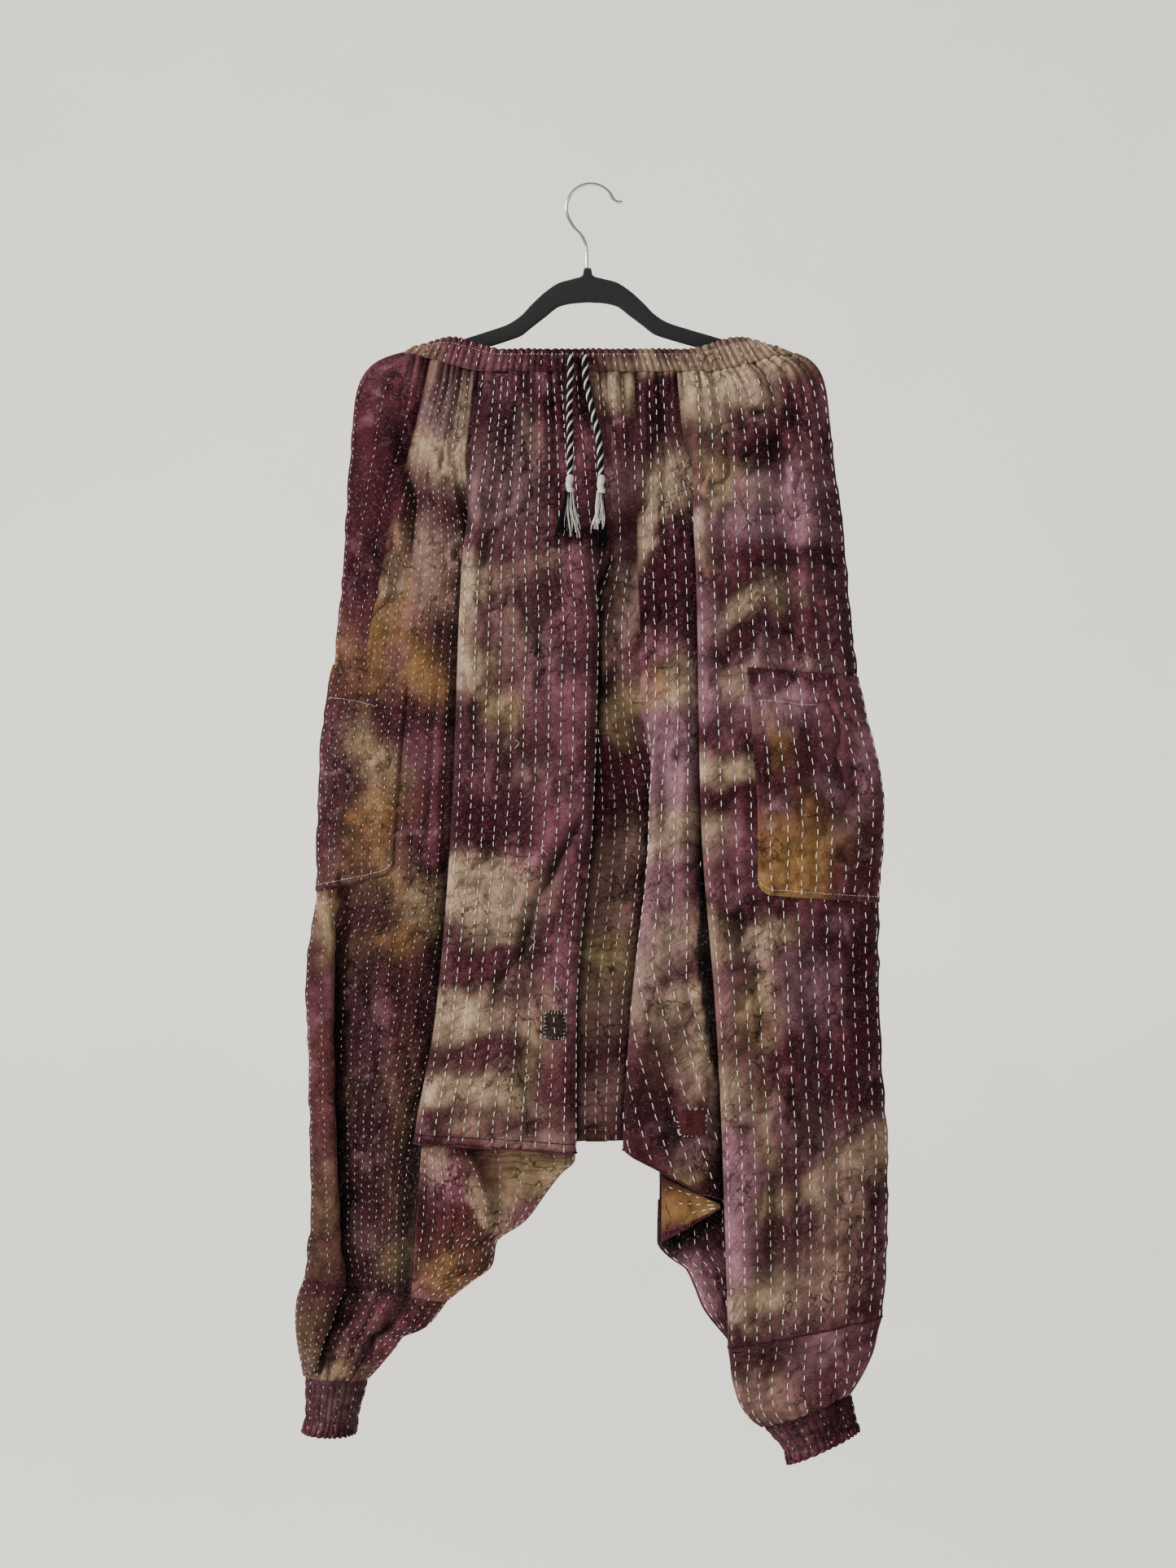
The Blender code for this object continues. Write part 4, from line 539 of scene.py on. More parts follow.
class SoftFold(NamedTuple):
    """A fold that the cloth hangs in without doubling back: a ridge or a trough along a line.

    Attributes:
        side: Front or back.
        top_x: Its upper end, across.
        low_x: Its lower end, across.
        top: The drop where it begins.
        low: The drop where it ends.
        rise: How far it stands out. A trough is below 0.
        width: How wide its bell is.
    """

    side: str
    top_x: float
    low_x: float
    top: float
    low: float
    rise: float
    width: float


SOFT_FOLDS = (
    SoftFold("front", -172, -170, 200, 560, -5, 9), SoftFold("front", -150, -150, 200, 620, 4, 10),
    SoftFold("front", -92, -60, 200, 520, -4, 9), SoftFold("front", -38, -45, 190, 440, -5, 8),
    SoftFold("front", -70, -85, 330, 900, 4, 20), SoftFold("front", -52, -70, 600, 900, -5, 14),
    SoftFold("front", 76, 30, 190, 430, -5, 9), SoftFold("front", 84, 85, 430, 900, 4, 14),
    SoftFold("front", 150, 165, 200, 480, 4, 12), SoftFold("front", 180, 200, 220, 760, -4, 14),
    SoftFold("front", 225, 240, 260, 460, -4, 9), SoftFold("front", 190, 215, 560, 1040, 4, 24),
    SoftFold("back", -150, -190, 200, 1000, 6, 16), SoftFold("back", -90, -110, 200, 920, -7, 14),
    SoftFold("back", -45, -55, 200, 920, 6, 15), SoftFold("back", 5, 0, 220, 920, -8, 15),
    SoftFold("back", 55, 65, 200, 920, 6, 16), SoftFold("back", 105, 125, 220, 940, -6, 14),
    SoftFold("back", 160, 205, 200, 1000, 6, 18),
)


class BackColumn(NamedTuple):
    """A control column of the back's centre: its x at the waist and the hem, and if it closes the crotch."""

    casing_x: float
    hem_x: float
    forward: int = 0


BACK_COLUMNS = (
    BackColumn(105, 152), BackColumn(80, 100), BackColumn(62, 62), BackColumn(46, 44, 1),
    BackColumn(24, 26, 1), BackColumn(6, 8, 1), BackColumn(-14, -11), BackColumn(-34, -34),
    BackColumn(-58, -78), BackColumn(-84, -128), BackColumn(-108, -178),
)
BACK_LEG_POINTS = 4


class SeamEnds(NamedTuple):
    """The slanting seam at the foot of a leg."""

    left_x: float
    left_drop: float
    right_x: float
    right_drop: float

    def at(self, x: Array) -> Array:
        """The seam's drop at x: a straight line between its two ends."""
        return np.interp(x, (self.left_x, self.right_x), (self.left_drop, self.right_drop))


LEFT_SEAM = SeamEnds(-276, 1060, -138, 1082)
RIGHT_SEAM = SeamEnds(137, 1122, 281, 1099)


class Crease(NamedTuple):
    """A crease of the cloth from one place to another: a ridge if it rises, a trough if it sinks."""

    x0: float
    drop0: float
    x1: float
    drop1: float
    width: float
    rise: float
    side: str = "front"


CREASES = (
    Crease(-199.39, 194.68, -175.84, 281.03, 5, -3), Crease(-171.13, 277.105, -169.56, 367.38, 4.5, -3.5),
    Crease(-179.765, 277.105, -182.12, 367.38, 5, 2.5), Crease(-138.945, 481.99, -149.935, 671.96, 4, 3.5),
    Crease(-146.01, 492.98, -157, 657.83, 4, -3), Crease(-116.965, 202.53, -118.535, 367.38, 4.5, -3),
    Crease(-105.19, 265.33, -110.685, 422.33, 5, 2.5), Crease(-65.94, 186.83, -80.07, 328.13, 6, -3),
    Crease(-43.96, 194.68, -47.1, 296.73, 6, 2.5), Crease(142.085, 218.23, 189.185, 215.875, 4, 3),
    Crease(138.16, 227.65, 185.26, 226.08, 4, -2.5), Crease(130.31, 265.33, 191.54, 220.585, 6, 3.5),
    Crease(142.085, 269.255, 197.035, 233.93, 6, -3), Crease(114.61, 304.58, 185.26, 277.105, 7, 2.5),
    Crease(110.685, 390.93, 185.26, 343.83, 8, 2.5), Crease(122.46, 410.555, 197.035, 367.38, 8, -2.5),
    Crease(51.81, 453.73, 100.48, 466.29, 4, 2.5), Crease(51.81, 461.58, 98.91, 475.71, 5, -2.5),
    Crease(-1.57, 602.88, -56.52, 701.79, 6, -6), Crease(-18.84, 598.955, -69.08, 692.37, 8, 4),
    Crease(-51.81, 693.94, -73.79, 755.17, 6, -5.5), Crease(-70.65, 745.75, -94.2, 800.7, 7, -5),
    Crease(-116.965, 630.355, -26.69, 634.28, 5, 2), Crease(-116.965, 637.42, -34.54, 643.7, 5, -2.2),
    Crease(-128.74, 703.36, -65.94, 709.64, 5, 2), Crease(-128.74, 730.05, -58.09, 725.34, 5, -2),
    Crease(47.885, 822.68, 87.135, 827.39, 4, 2), Crease(47.885, 830.53, 87.135, 836.81, 4, -2),
    Crease(142.085, 524.38, 149.935, 673.53, 8, 3), Crease(138.16, 681.38, 165.635, 830.53, 9, -3),
    Crease(161.71, 704.93, 193.11, 869.78, 9, 3), Crease(204.885, 712.78, 224.51, 940.43, 10, -3),
    Crease(244.135, 712.78, 251.985, 1003.23, 10, 3), Crease(169.56, 909.03, 181.335, 1081.73, 9, -3.5),
    Crease(142.085, 924.73, 149.935, 1089.58, 8, 3), Crease(216.66, 956.13, 248.06, 1081.73, 9, 2.5),
    Crease(-222.94, 202.53, -211.165, 296.73, 8, 3), Crease(-222.94, 328.13, -175.84, 406.63, 9, -2.5),
    Crease(-211.165, 492.98, -199.39, 673.53, 9, 2.5), Crease(-222.94, 704.93, -199.39, 846.23, 8, -3),
    Crease(-199.39, 712.78, -183.69, 924.73, 8, 3), Crease(-211.165, 861.93, -199.39, 1018.93, 9, -3),
    Crease(-97.34, 500.83, -89.49, 610.73, 9, 2.5), Crease(-50.24, 375.23, -42.39, 500.83, 10, -2.5),
    Crease(-120.89, 759.88, -97.34, 916.88, 9, 2.5), Crease(-65.94, 806.98, -54.165, 924.73, 9, -3),
    Crease(-34.54, 759.88, -26.69, 916.88, 8, 2.5), Crease(67.51, 516.53, 71.435, 657.83, 8, -3),
    Crease(89.49, 532.23, 92.63, 704.93, 7, 2.5), Crease(71.435, 838.38, 81.64, 948.28, 7, -3),
    Crease(43.96, 296.73, 40.035, 438.03, 7, -3), Crease(29.83, 202.53, 25.905, 328.13, 6, 2.5),
    Crease(71.435, 202.53, 69.08, 328.13, 6, -2.5), Crease(222.94, 265.33, 240.21, 422.33, 8, -3),
    Crease(204.885, 265.33, 216.66, 453.73, 8, 2.5), Crease(-156.215, 932.58, -160.14, 1050.33, 7, -2.5),
    Crease(-120, 330, -60, 380, 10, 3, "back"), Crease(60, 420, 150, 350, 11, 3, "back"),
    Crease(-160, 600, -80, 700, 12, -3, "back"), Crease(90, 640, 190, 560, 12, 3, "back"),
    Crease(-40, 560, 60, 600, 11, -3, "back"), Crease(-70, 800, 40, 760, 11, 3, "back"),
    Crease(150, 800, 240, 860, 12, 3, "back"), Crease(-220, 880, -150, 980, 10, -3, "back"),
    Crease(200, 900, 230, 1060, 11, -3, "back"), Crease(-90, 470, 0, 440, 9, 3, "back"),
)


def bell(away: Array, width: float) -> Array:
    """A bell curve: 1 in its middle, and 1/e a width away from it."""
    return np.exp(-((away / width) ** 2))


CRUMPLE_SEEDS = {"front": 431, "back": 531}
RELIEF_SEEDS = {"front": 401, "back": 501}
CREASE_GAIN = 1.3
CREASE_SWAY = 4.0


def crumples(x: Array, drop: Array, side: str) -> Array:
    """Heights of the sharp creases of one side, in millimetres.

    Ridges and troughs follow the lines where two slow noises pass a value, each a bell across
    its line. On them come the listed creases: a bell across the line, a half wave along it.

    Args:
        x: Across, in millimetres.
        drop: Down, in millimetres.
        side: Front or back.

    Returns:
        A height for each place.
    """
    seed = CRUMPLE_SEEDS[side]
    first = noise(x, drop * 1.35, 44, seed) + 0.4 * noise(x, drop, 15, seed + 1)
    second = noise(x * 0.9, drop, 34, seed + 2) + 0.4 * noise(x, drop, 12, seed + 3)
    shown, other = smooth(second, -0.35, 0.35), smooth(first, -0.25, 0.4)
    total = shown * (2.4 * bell(first, 0.14) - 2.2 * bell(first + 0.32, 0.16))
    total = total + other * (2.0 * bell(second, 0.16) - 1.9 * bell(second - 0.34, 0.17))
    for crease in CREASES:
        if crease.side != side:
            continue
        dx, dd = crease.x1 - crease.x0, crease.drop1 - crease.drop0
        length = math.hypot(dx, dd)
        along = ((x - crease.x0) * dx + (drop - crease.drop0) * dd) / length
        beside = ((x - crease.x0) * dd - (drop - crease.drop0) * dx) / length
        beside = beside + CREASE_SWAY * noise(along, along * 0, 30, int(abs(crease.drop0)))
        wave = np.sin(np.pi * np.clip(along / length, 0, 1)) ** 0.7
        total = total + CREASE_GAIN * crease.rise * wave * bell(beside, crease.width)
    return total


def relief(x: Array, drop: Array, side: str) -> Array:
    """How far the cloth of one side stands out: slow waves of noise, and the sharp creases."""
    seed = RELIEF_SEEDS[side]
    slow = 2.0 * noise(x, drop, 62, seed) + 1.2 * noise(x, drop * 0.7, 27, seed + 1)
    return slow + 0.6 * noise(x, drop, 12, seed + 2) + crumples(x, drop, side)


def painted_crease_shading(points: Array) -> Array:
    """Painted light and shade of the creases: crowns painted lighter and troughs darker by the creases'
    height, with thin painted crease lines, each dark with a light ridge beside it.

    Args:
        points: Places.

    Returns:
        A factor for each place, about 1.
    """
    x, depth, drop = points[..., 0], points[..., 1], points[..., 2]
    height = np.where(depth > 0, crumples(x, drop, "front"), crumples(x, drop, "back"))
    first = noise(x, drop * 0.7, 31, 661) + 0.5 * noise(x, drop, 12, 662)
    shown = smooth(noise(x, drop, 40, 663), 0.05, 0.5)
    line, ridge = bell(first, 0.045) * shown, bell(first - 0.11, 0.06) * shown
    # Painted shade in the troughs and painted highlight on the crowns, then the thin painted crease lines.
    return np.clip(1 + 0.11 * height, 0.42, 1.4) * (1 - 0.5 * line + 0.28 * ridge)


def settle(points: Array) -> Array:
    """Places moved out by the relief of their side, and the outer edges waved a little across.

    The move depends on the place alone, so layers that lie on one another move together. It
    fades out at the waist, between front and back, under the cords, and where the crotch closes.

    Args:
        points: Places.

    Returns:
        The moved places.
    """
    x, depth, drop = points[..., 0], points[..., 1], points[..., 2]
    front, back = relief(x, drop, "front"), relief(x, drop, "back")
    cords = np.exp(-(((x + 4) / 27) ** 4)) * (1 - smooth(drop, 345, 380))
    closing = np.exp(-(((x - 20) / 48) ** 4)) * smooth(drop, 790, 870)
    edge = smooth(drop, 187, 222) * (1 - smooth(drop, 1175, 1215))
    move = front * smooth(depth, 1, 13) * (1 - 0.8 * cords) - back * smooth(-depth, 1, 13)
    moved = points.copy()
    moved[..., 1] += move * edge * (1 - 0.85 * closing)
    beside = smooth(np.abs(x - 5), 175, 225) * smooth(drop, 215, 260) * (1 - smooth(drop, 1120, 1150))
    moved[..., 0] += beside * (1.2 * noise(x * 0.2, drop, 21, 611) + 0.9 * noise(x * 0.2, drop, 9, 612))
    return moved


def fold_points(fold: Fold, drop: Array) -> tuple[Array, Array]:
    """The six points of a fold at each drop, left to right along the cloth.

    Open, they lie on a straight slope. Shut, they go round the fold's hidden turn and its edge,
    each a part circle of a quarter of the levels' difference, so the cloth lies in three layers.

    Args:
        fold: The pleat.
        drop: The drops, in millimetres.

    Returns:
        The points' x and their heights, a row for each drop.
    """
    edge = steady_curve(drop, FOLD_DROPS, fold.edges)[:, None]
    shut = smooth(drop, fold.starts, fold.full)[:, None]
    overlap = fold.overlap + (fold.hem_overlap - fold.overlap) * smooth(drop, 700, CROTCH_DROP)
    low, high = sorted((fold.level_left, fold.level_right))
    radius = (high - low) / 4
    c, s = radius * math.cos(TURN_ANGLE), radius * math.sin(TURN_ANGLE)
    turn, none = overlap - radius, np.zeros_like(overlap)
    closed = np.stack([turn + c, turn + radius, turn + c, none + radius - c, none, none + radius - c], axis=1)
    levels = np.array([low + radius - s, low + radius, low + radius + s, high - radius - s, high - radius,
                       high - radius + s])
    opened, open_levels = (np.arange(6) - 2.5) * OPEN_STEP, low + (high - low) * np.arange(6) / 5
    if fold.over == "left":
        closed, levels, open_levels = -closed[:, ::-1], levels[::-1], open_levels[::-1]
    lifted = smooth(drop, fold.starts - 60, fold.starts + 30)[:, None]
    height = open_levels + (levels - open_levels) * shut
    return edge + opened + (closed - opened) * shut, lifted * height


def soft_depth(side: str, x: Array, drop: Array) -> Array:
    """Height of the soft folds: each a bell across its line that begins and ends in an S.

    Args:
        side: Front or back.
        x: Places across.
        drop: Places down.

    Returns:
        The height at each place.
    """
    total = np.zeros(np.shape(x))
    for fold in SOFT_FOLDS:
        if fold.side == side:
            line = fold.top_x + (fold.low_x - fold.top_x) * (drop - fold.top) / (fold.low - fold.top)
            shown = smooth(drop, fold.top - 15, fold.top + 60) * (1 - smooth(drop, fold.low - 60, fold.low))
            total = total + fold.rise * shown * bell(x - line, fold.width)
    return total


def body_rings(mids: Array) -> tuple[Array, dict[str, int]]:
    """The body's rings at many drops.

    A ring is a flat oval, depth = size * sqrt(1 - across^4), with the folds' levels and the soft
    folds' heights added. Its ends lie higher than its middle near the waist.

    Args:
        mids: The drop of each ring's middle.

    Returns:
        Control points (ring, column, place), and the columns of note by name.
    """
    places = [s.mid for s in SECTIONS]
    left, right, ends, front, back = (
        steady_curve(mids, places, [getattr(s, name) for s in SECTIONS])
        for name in ("left", "right", "ends", "front", "back")
    )
    turns = [fold_points(fold, mids) for fold in FOLDS]
    last = FOLDS[-1].level_right * smooth(mids, FOLDS[-1].starts - 60, FOLDS[-1].starts + 30)
    side = END_SHARE * (right - left)
    first = turns[0][1][:, 0]
    xs = [left, left + side * 0.35, left + side]
    levels = [left * 0, 0.45 * first, 0.8 * first]
    marks: dict[str, int] = {}
    for number, turn in enumerate([*turns, None]):
        start_x, start_level = xs[-1], levels[-1]
        finish_x = right - side if turn is None else turn[0][:, 0]
        finish_level = 0.25 * last if turn is None else turn[1][:, 0]
        count = PANEL_POINTS[number]
        for i in range(1, count + 1):
            xs.append(start_x + (finish_x - start_x) * i / (count + 1))
            levels.append(start_level + (finish_level - start_level) * i / (count + 1))
        if turn is not None:
            marks[FOLDS[number].name] = len(xs)
            xs += list(turn[0].T)
            levels += list(turn[1].T)
    xs += [right - side, right - side * 0.35, right]
    levels += [0.25 * last, 0.1 * last, right * 0]
    x, level = np.stack(xs, axis=1), np.stack(levels, axis=1)
    down = mids[:, None]
    across = np.clip((2 * x - (left + right)[:, None]) / (right - left)[:, None], -1, 1)
    depth = front[:, None] * np.sqrt(1 - across**4) + level + soft_depth("front", x, down)
    depth[:, [0, -1]] = 0.0
    marks["right end"] = x.shape[1] - 1

    share = smooth(mids, CASING_DROP, CROTCH_DROP)[:, None]
    casing, hem, _ = np.array(BACK_COLUMNS, float).T
    middle = casing + (hem - casing) * share
    step = np.arange(1, BACK_LEG_POINTS + 1) / (BACK_LEG_POINTS + 1)
    near_right, near_left = (right - side)[:, None], (left + side)[:, None]
    behind = np.concatenate([
        (right - side * 0.35)[:, None], near_right, near_right + (middle[:, :1] - near_right) * step, middle,
        middle[:, -1:] + (near_left - middle[:, -1:]) * step, near_left, (left + side * 0.35)[:, None],
    ], axis=1)
    marks["back right"] = x.shape[1] + 2 + BACK_LEG_POINTS
    marks["back left"] = marks["back right"] + len(BACK_COLUMNS) - 1
    across = np.clip((2 * behind - (left + right)[:, None]) / (right - left)[:, None], -1, 1)
    behind_depth = -back[:, None] * np.sqrt(1 - across**4) - soft_depth("back", behind, down)
    x, depth = np.concatenate([x, behind], axis=1), np.concatenate([depth, behind_depth], axis=1)
    reach = np.abs((2 * x - (left + right)[:, None]) / (right - left)[:, None])
    drop = down + (ends - mids)[:, None] * smooth(reach, 0.55, 1.0)
    marks["front left"], marks["front right"] = marks["left pleat"] + 1, marks["right pleat"] + 1
    return np.stack([x, depth, drop], axis=2), marks


def between(control: Array, columns: Array, shares: Array, closed: bool) -> Array:
    """A smooth line across each row of control points, read at shares of the way past columns.

    Each stretch is a cubic whose end slopes are the neighbouring chords' directions, weighted
    so that the shorter chord counts for more.

    Args:
        control: Control points (row, column, place).
        columns: The control column before each place that is read.
        shares: How far past it the place is, from 0 to 1.
        closed: If the last column joins the first.

    Returns:
        Places (row, column, place).
    """
    if closed:
        chord = np.roll(control, -1, axis=1) - control
    else:
        chord = np.diff(control, axis=1, append=2 * control[:, -1:] - control[:, -2:-1])
    length = np.maximum(np.linalg.norm(chord, axis=2, keepdims=True), 1e-6)
    slope = chord / length
    before, before_length = np.roll(slope, 1, axis=1), np.roll(length, 1, axis=1)
    tangent = (slope * before_length + before * length) / (length + before_length)
    if not closed:
        tangent[:, 0], tangent[:, -1] = slope[:, 0], slope[:, -2]
    after = (columns + 1) % control.shape[1] if closed else np.minimum(columns + 1, control.shape[1] - 1)
    t, h = shares[None, :, None], length[:, columns]
    return (
        control[:, columns] * (1 + 2 * t) * (1 - t) ** 2 + tangent[:, columns] * h * t * (1 - t) ** 2
        + control[:, after] * t * t * (3 - 2 * t) + tangent[:, after] * h * t * t * (t - 1)
    )


def fine_columns(control: Array, spacings: Sequence[tuple[int, float]], closed: bool) -> tuple[Array, Array]:
    """Columns and shares that divide each stretch finely enough at each of the given rows.

    Args:
        control: Control points (row, column, place).
        spacings: Pairs of a row and the longest step in it.
        closed: If the last column joins the first.

    Returns:
        The control column before each fine column, and how far past it that one is.
    """
    chord = np.roll(control, -1, axis=1) - control
    if not closed:
        chord = chord[:, :-1]
    length = np.linalg.norm(chord, axis=2)
    counts = np.ceil(np.max([length[row] / step for row, step in spacings], axis=0)).astype(int)
    counts = np.maximum(counts, 1)
    columns = np.repeat(np.arange(len(counts)), counts)
    shares = np.concatenate([np.arange(n) / n for n in counts])
    if not closed:
        columns, shares = np.append(columns, len(counts) - 1), np.append(shares, 1.0)
    return columns, shares


def grid_normals(grid: Array, closed: bool = False) -> Array:
    """Outward unit normals: the direction down crossed with the direction along the cloth.

    Args:
        grid: Places, by rows and columns.
        closed: True for a ring.

    Returns:
        A normal for each place.
    """
    down = np.gradient(grid, axis=0)
    if closed:
        along = np.roll(grid, -1, axis=1) - np.roll(grid, 1, axis=1)
    else:
        along = np.gradient(grid, axis=1)
    return unit(np.cross(down, along))


def sample(field_: Array, row: Array, column: Array) -> Array:
    """A grid of places or numbers read between its rows and columns, straight from corner to corner.

    Args:
        field_: The grid.
        row: The rows, with their fractions.
        column: The columns, with theirs.

    Returns:
        What the grid has there.
    """
    i = np.clip(np.floor(row).astype(int), 0, field_.shape[0] - 2)
    j = np.clip(np.floor(column).astype(int), 0, field_.shape[1] - 2)
    u, v = np.clip(row - i, 0, 1), np.clip(column - j, 0, 1)
    if field_.ndim == 3:
        u, v = u[..., None], v[..., None]
    top = field_[i, j] * (1 - v) + field_[i, j + 1] * v
    low = field_[i + 1, j] * (1 - v) + field_[i + 1, j + 1] * v
    return top * (1 - u) + low * u


LOCATE_STEPS = 12
NEVER_HIDDEN = 1e9


def read_rows(table: Array, row: Array, columns: Array) -> Array:
    """Places of whole columns, each read between two rows of a table, straight from row to row.

    Args:
        table: Places, by rows and columns.
        row: The rows, with their fractions.
        columns: The columns.

    Returns:
        The places.
    """
    row = np.clip(row, 0, len(table) - 1.001)
    k = row.astype(int)
    share = (row - k)[..., None]
    return table[k, columns] * (1 - share) + table[k + 1, columns] * share


@dataclass
class ClothGrid:
    """A length of cloth on a grid of rows and columns.

    Attributes:
        places: The middle of its wall, (row, column, place).
        along: How far along the cloth each column is.
        casing: The same along the waist's casing.
        zones: The dye zone of each column.
        hidden: The drop from which each column lies in a turned-back layer.
        closed: If its last column joins its first.
        shade: The painted shade of its dye, how much darker it is, for all of it or for each place.
        normals: Outward unit normals.
    """

    places: Array
    along: Array
    casing: Array
    zones: list[Zone]
    hidden: Array
    closed: bool = False
    shade: Array | float = 1.0
    normals: Array = field(init=False)

    def __post_init__(self) -> None:
        """Works out the normals."""
        self.normals = grid_normals(self.places, self.closed)

    @classmethod
    def plain(
        cls, places: Array, along: Array, zone: Zone, closed: bool = False, shade: Array | float = 1.0,
    ) -> "ClothGrid":
        """A length of cloth in one zone, with no turned-back layer."""
        hidden = np.full(len(along), NEVER_HIDDEN)
        return cls(places, along, along, [zone] * len(along), hidden, closed, shade)

    def dye(self) -> Array:
        """The cloth's colours: each column's zone in front, the back's dye behind, with painted light and
        shade.

        Returns:
            A linear colour for each place.
        """
        x, drop = self.places[..., 0], self.places[..., 2]
        colour = np.zeros(self.places.shape)
        for zone in set(self.zones):
            chosen = np.array([z is zone for z in self.zones])
            colour[:, chosen] = dyed(zone, x[:, chosen], drop[:, chosen])
        behind = (1 - smooth(self.places[..., 1], -7, 5))[..., None]
        # Painted light and shade of the creases here, and the painted shade of the folds below.
        colour = (colour + (dyed(Zone.BACK, x, drop) - colour) * behind) * painted_crease_shading(self.places)[..., None]
        return colour * (self.shade if isinstance(self.shade, float) else self.shade[..., None])

    def locate(self, x: Array, drop: Array, first: int, last: int, lift: float) -> tuple[Array, Array]:
        """Places above the cloth at given x and drops.

        The row and the column are found by twelve steps of Newton's rule, each on its own axis.

        Args:
            x: Across, in millimetres.
            drop: Down, in millimetres.
            first: The first column that may be used.
            last: The last one.
            lift: How far off the cloth's middle the places lie.

        Returns:
            The places, and the normals there.
        """
        across = np.array([self.places[:, c, 0].mean() for c in (first, last)])
        column = first + (x - across[0]) / (across[1] - across[0]) * (last - first)
        row = np.interp(drop, self.places[:, (first + last) // 2, 2], np.arange(len(self.places)))
        by_column, by_row = np.gradient(self.places[..., 0], axis=1), np.gradient(self.places[..., 2], axis=0)
        for _ in range(LOCATE_STEPS):
            column = column.clip(first, last)
            row = row.clip(0, len(self.places) - 1)
            found = sample(self.places, row, column)
            slope_x, slope_drop = sample(by_column, row, column), sample(by_row, row, column)
            slope_x = np.where(np.abs(slope_x) < 0.3, 1.0, slope_x)
            column = column + (0.8 * (x - found[..., 0]) / slope_x).clip(-4, 4)
            row = row + 0.9 * (drop - found[..., 2]) / slope_drop
        column, row = column.clip(first, last), row.clip(0, len(self.places) - 1)
        normals = unit(sample(self.normals, row, column))
        return sample(self.places, row, column) + normals * lift, normals

    def face(self, lift: Array | float) -> Array:
        """Places that stand off the cloth's middle by one lift, or by one for each place."""
        return self.places + self.normals * (lift if isinstance(lift, float) else lift[..., None])

    def pulled_in(self) -> Array:
        """The places with the first and last columns pulled in, which leaves the gap of a seam.

        Returns:
            The places.
        """
        places = self.places.copy()
        for column, towards in ((0, 1), (-1, -2)):
            places[:, column] += unit(places[:, towards] - places[:, column]) * (SEAM_GAP / 2)
        return places


BODY_SPACINGS = ((CASING_DROP, 1.75), (611, 3.6), (CROTCH_DROP, 3.8))
LONG_FOLDS = 74


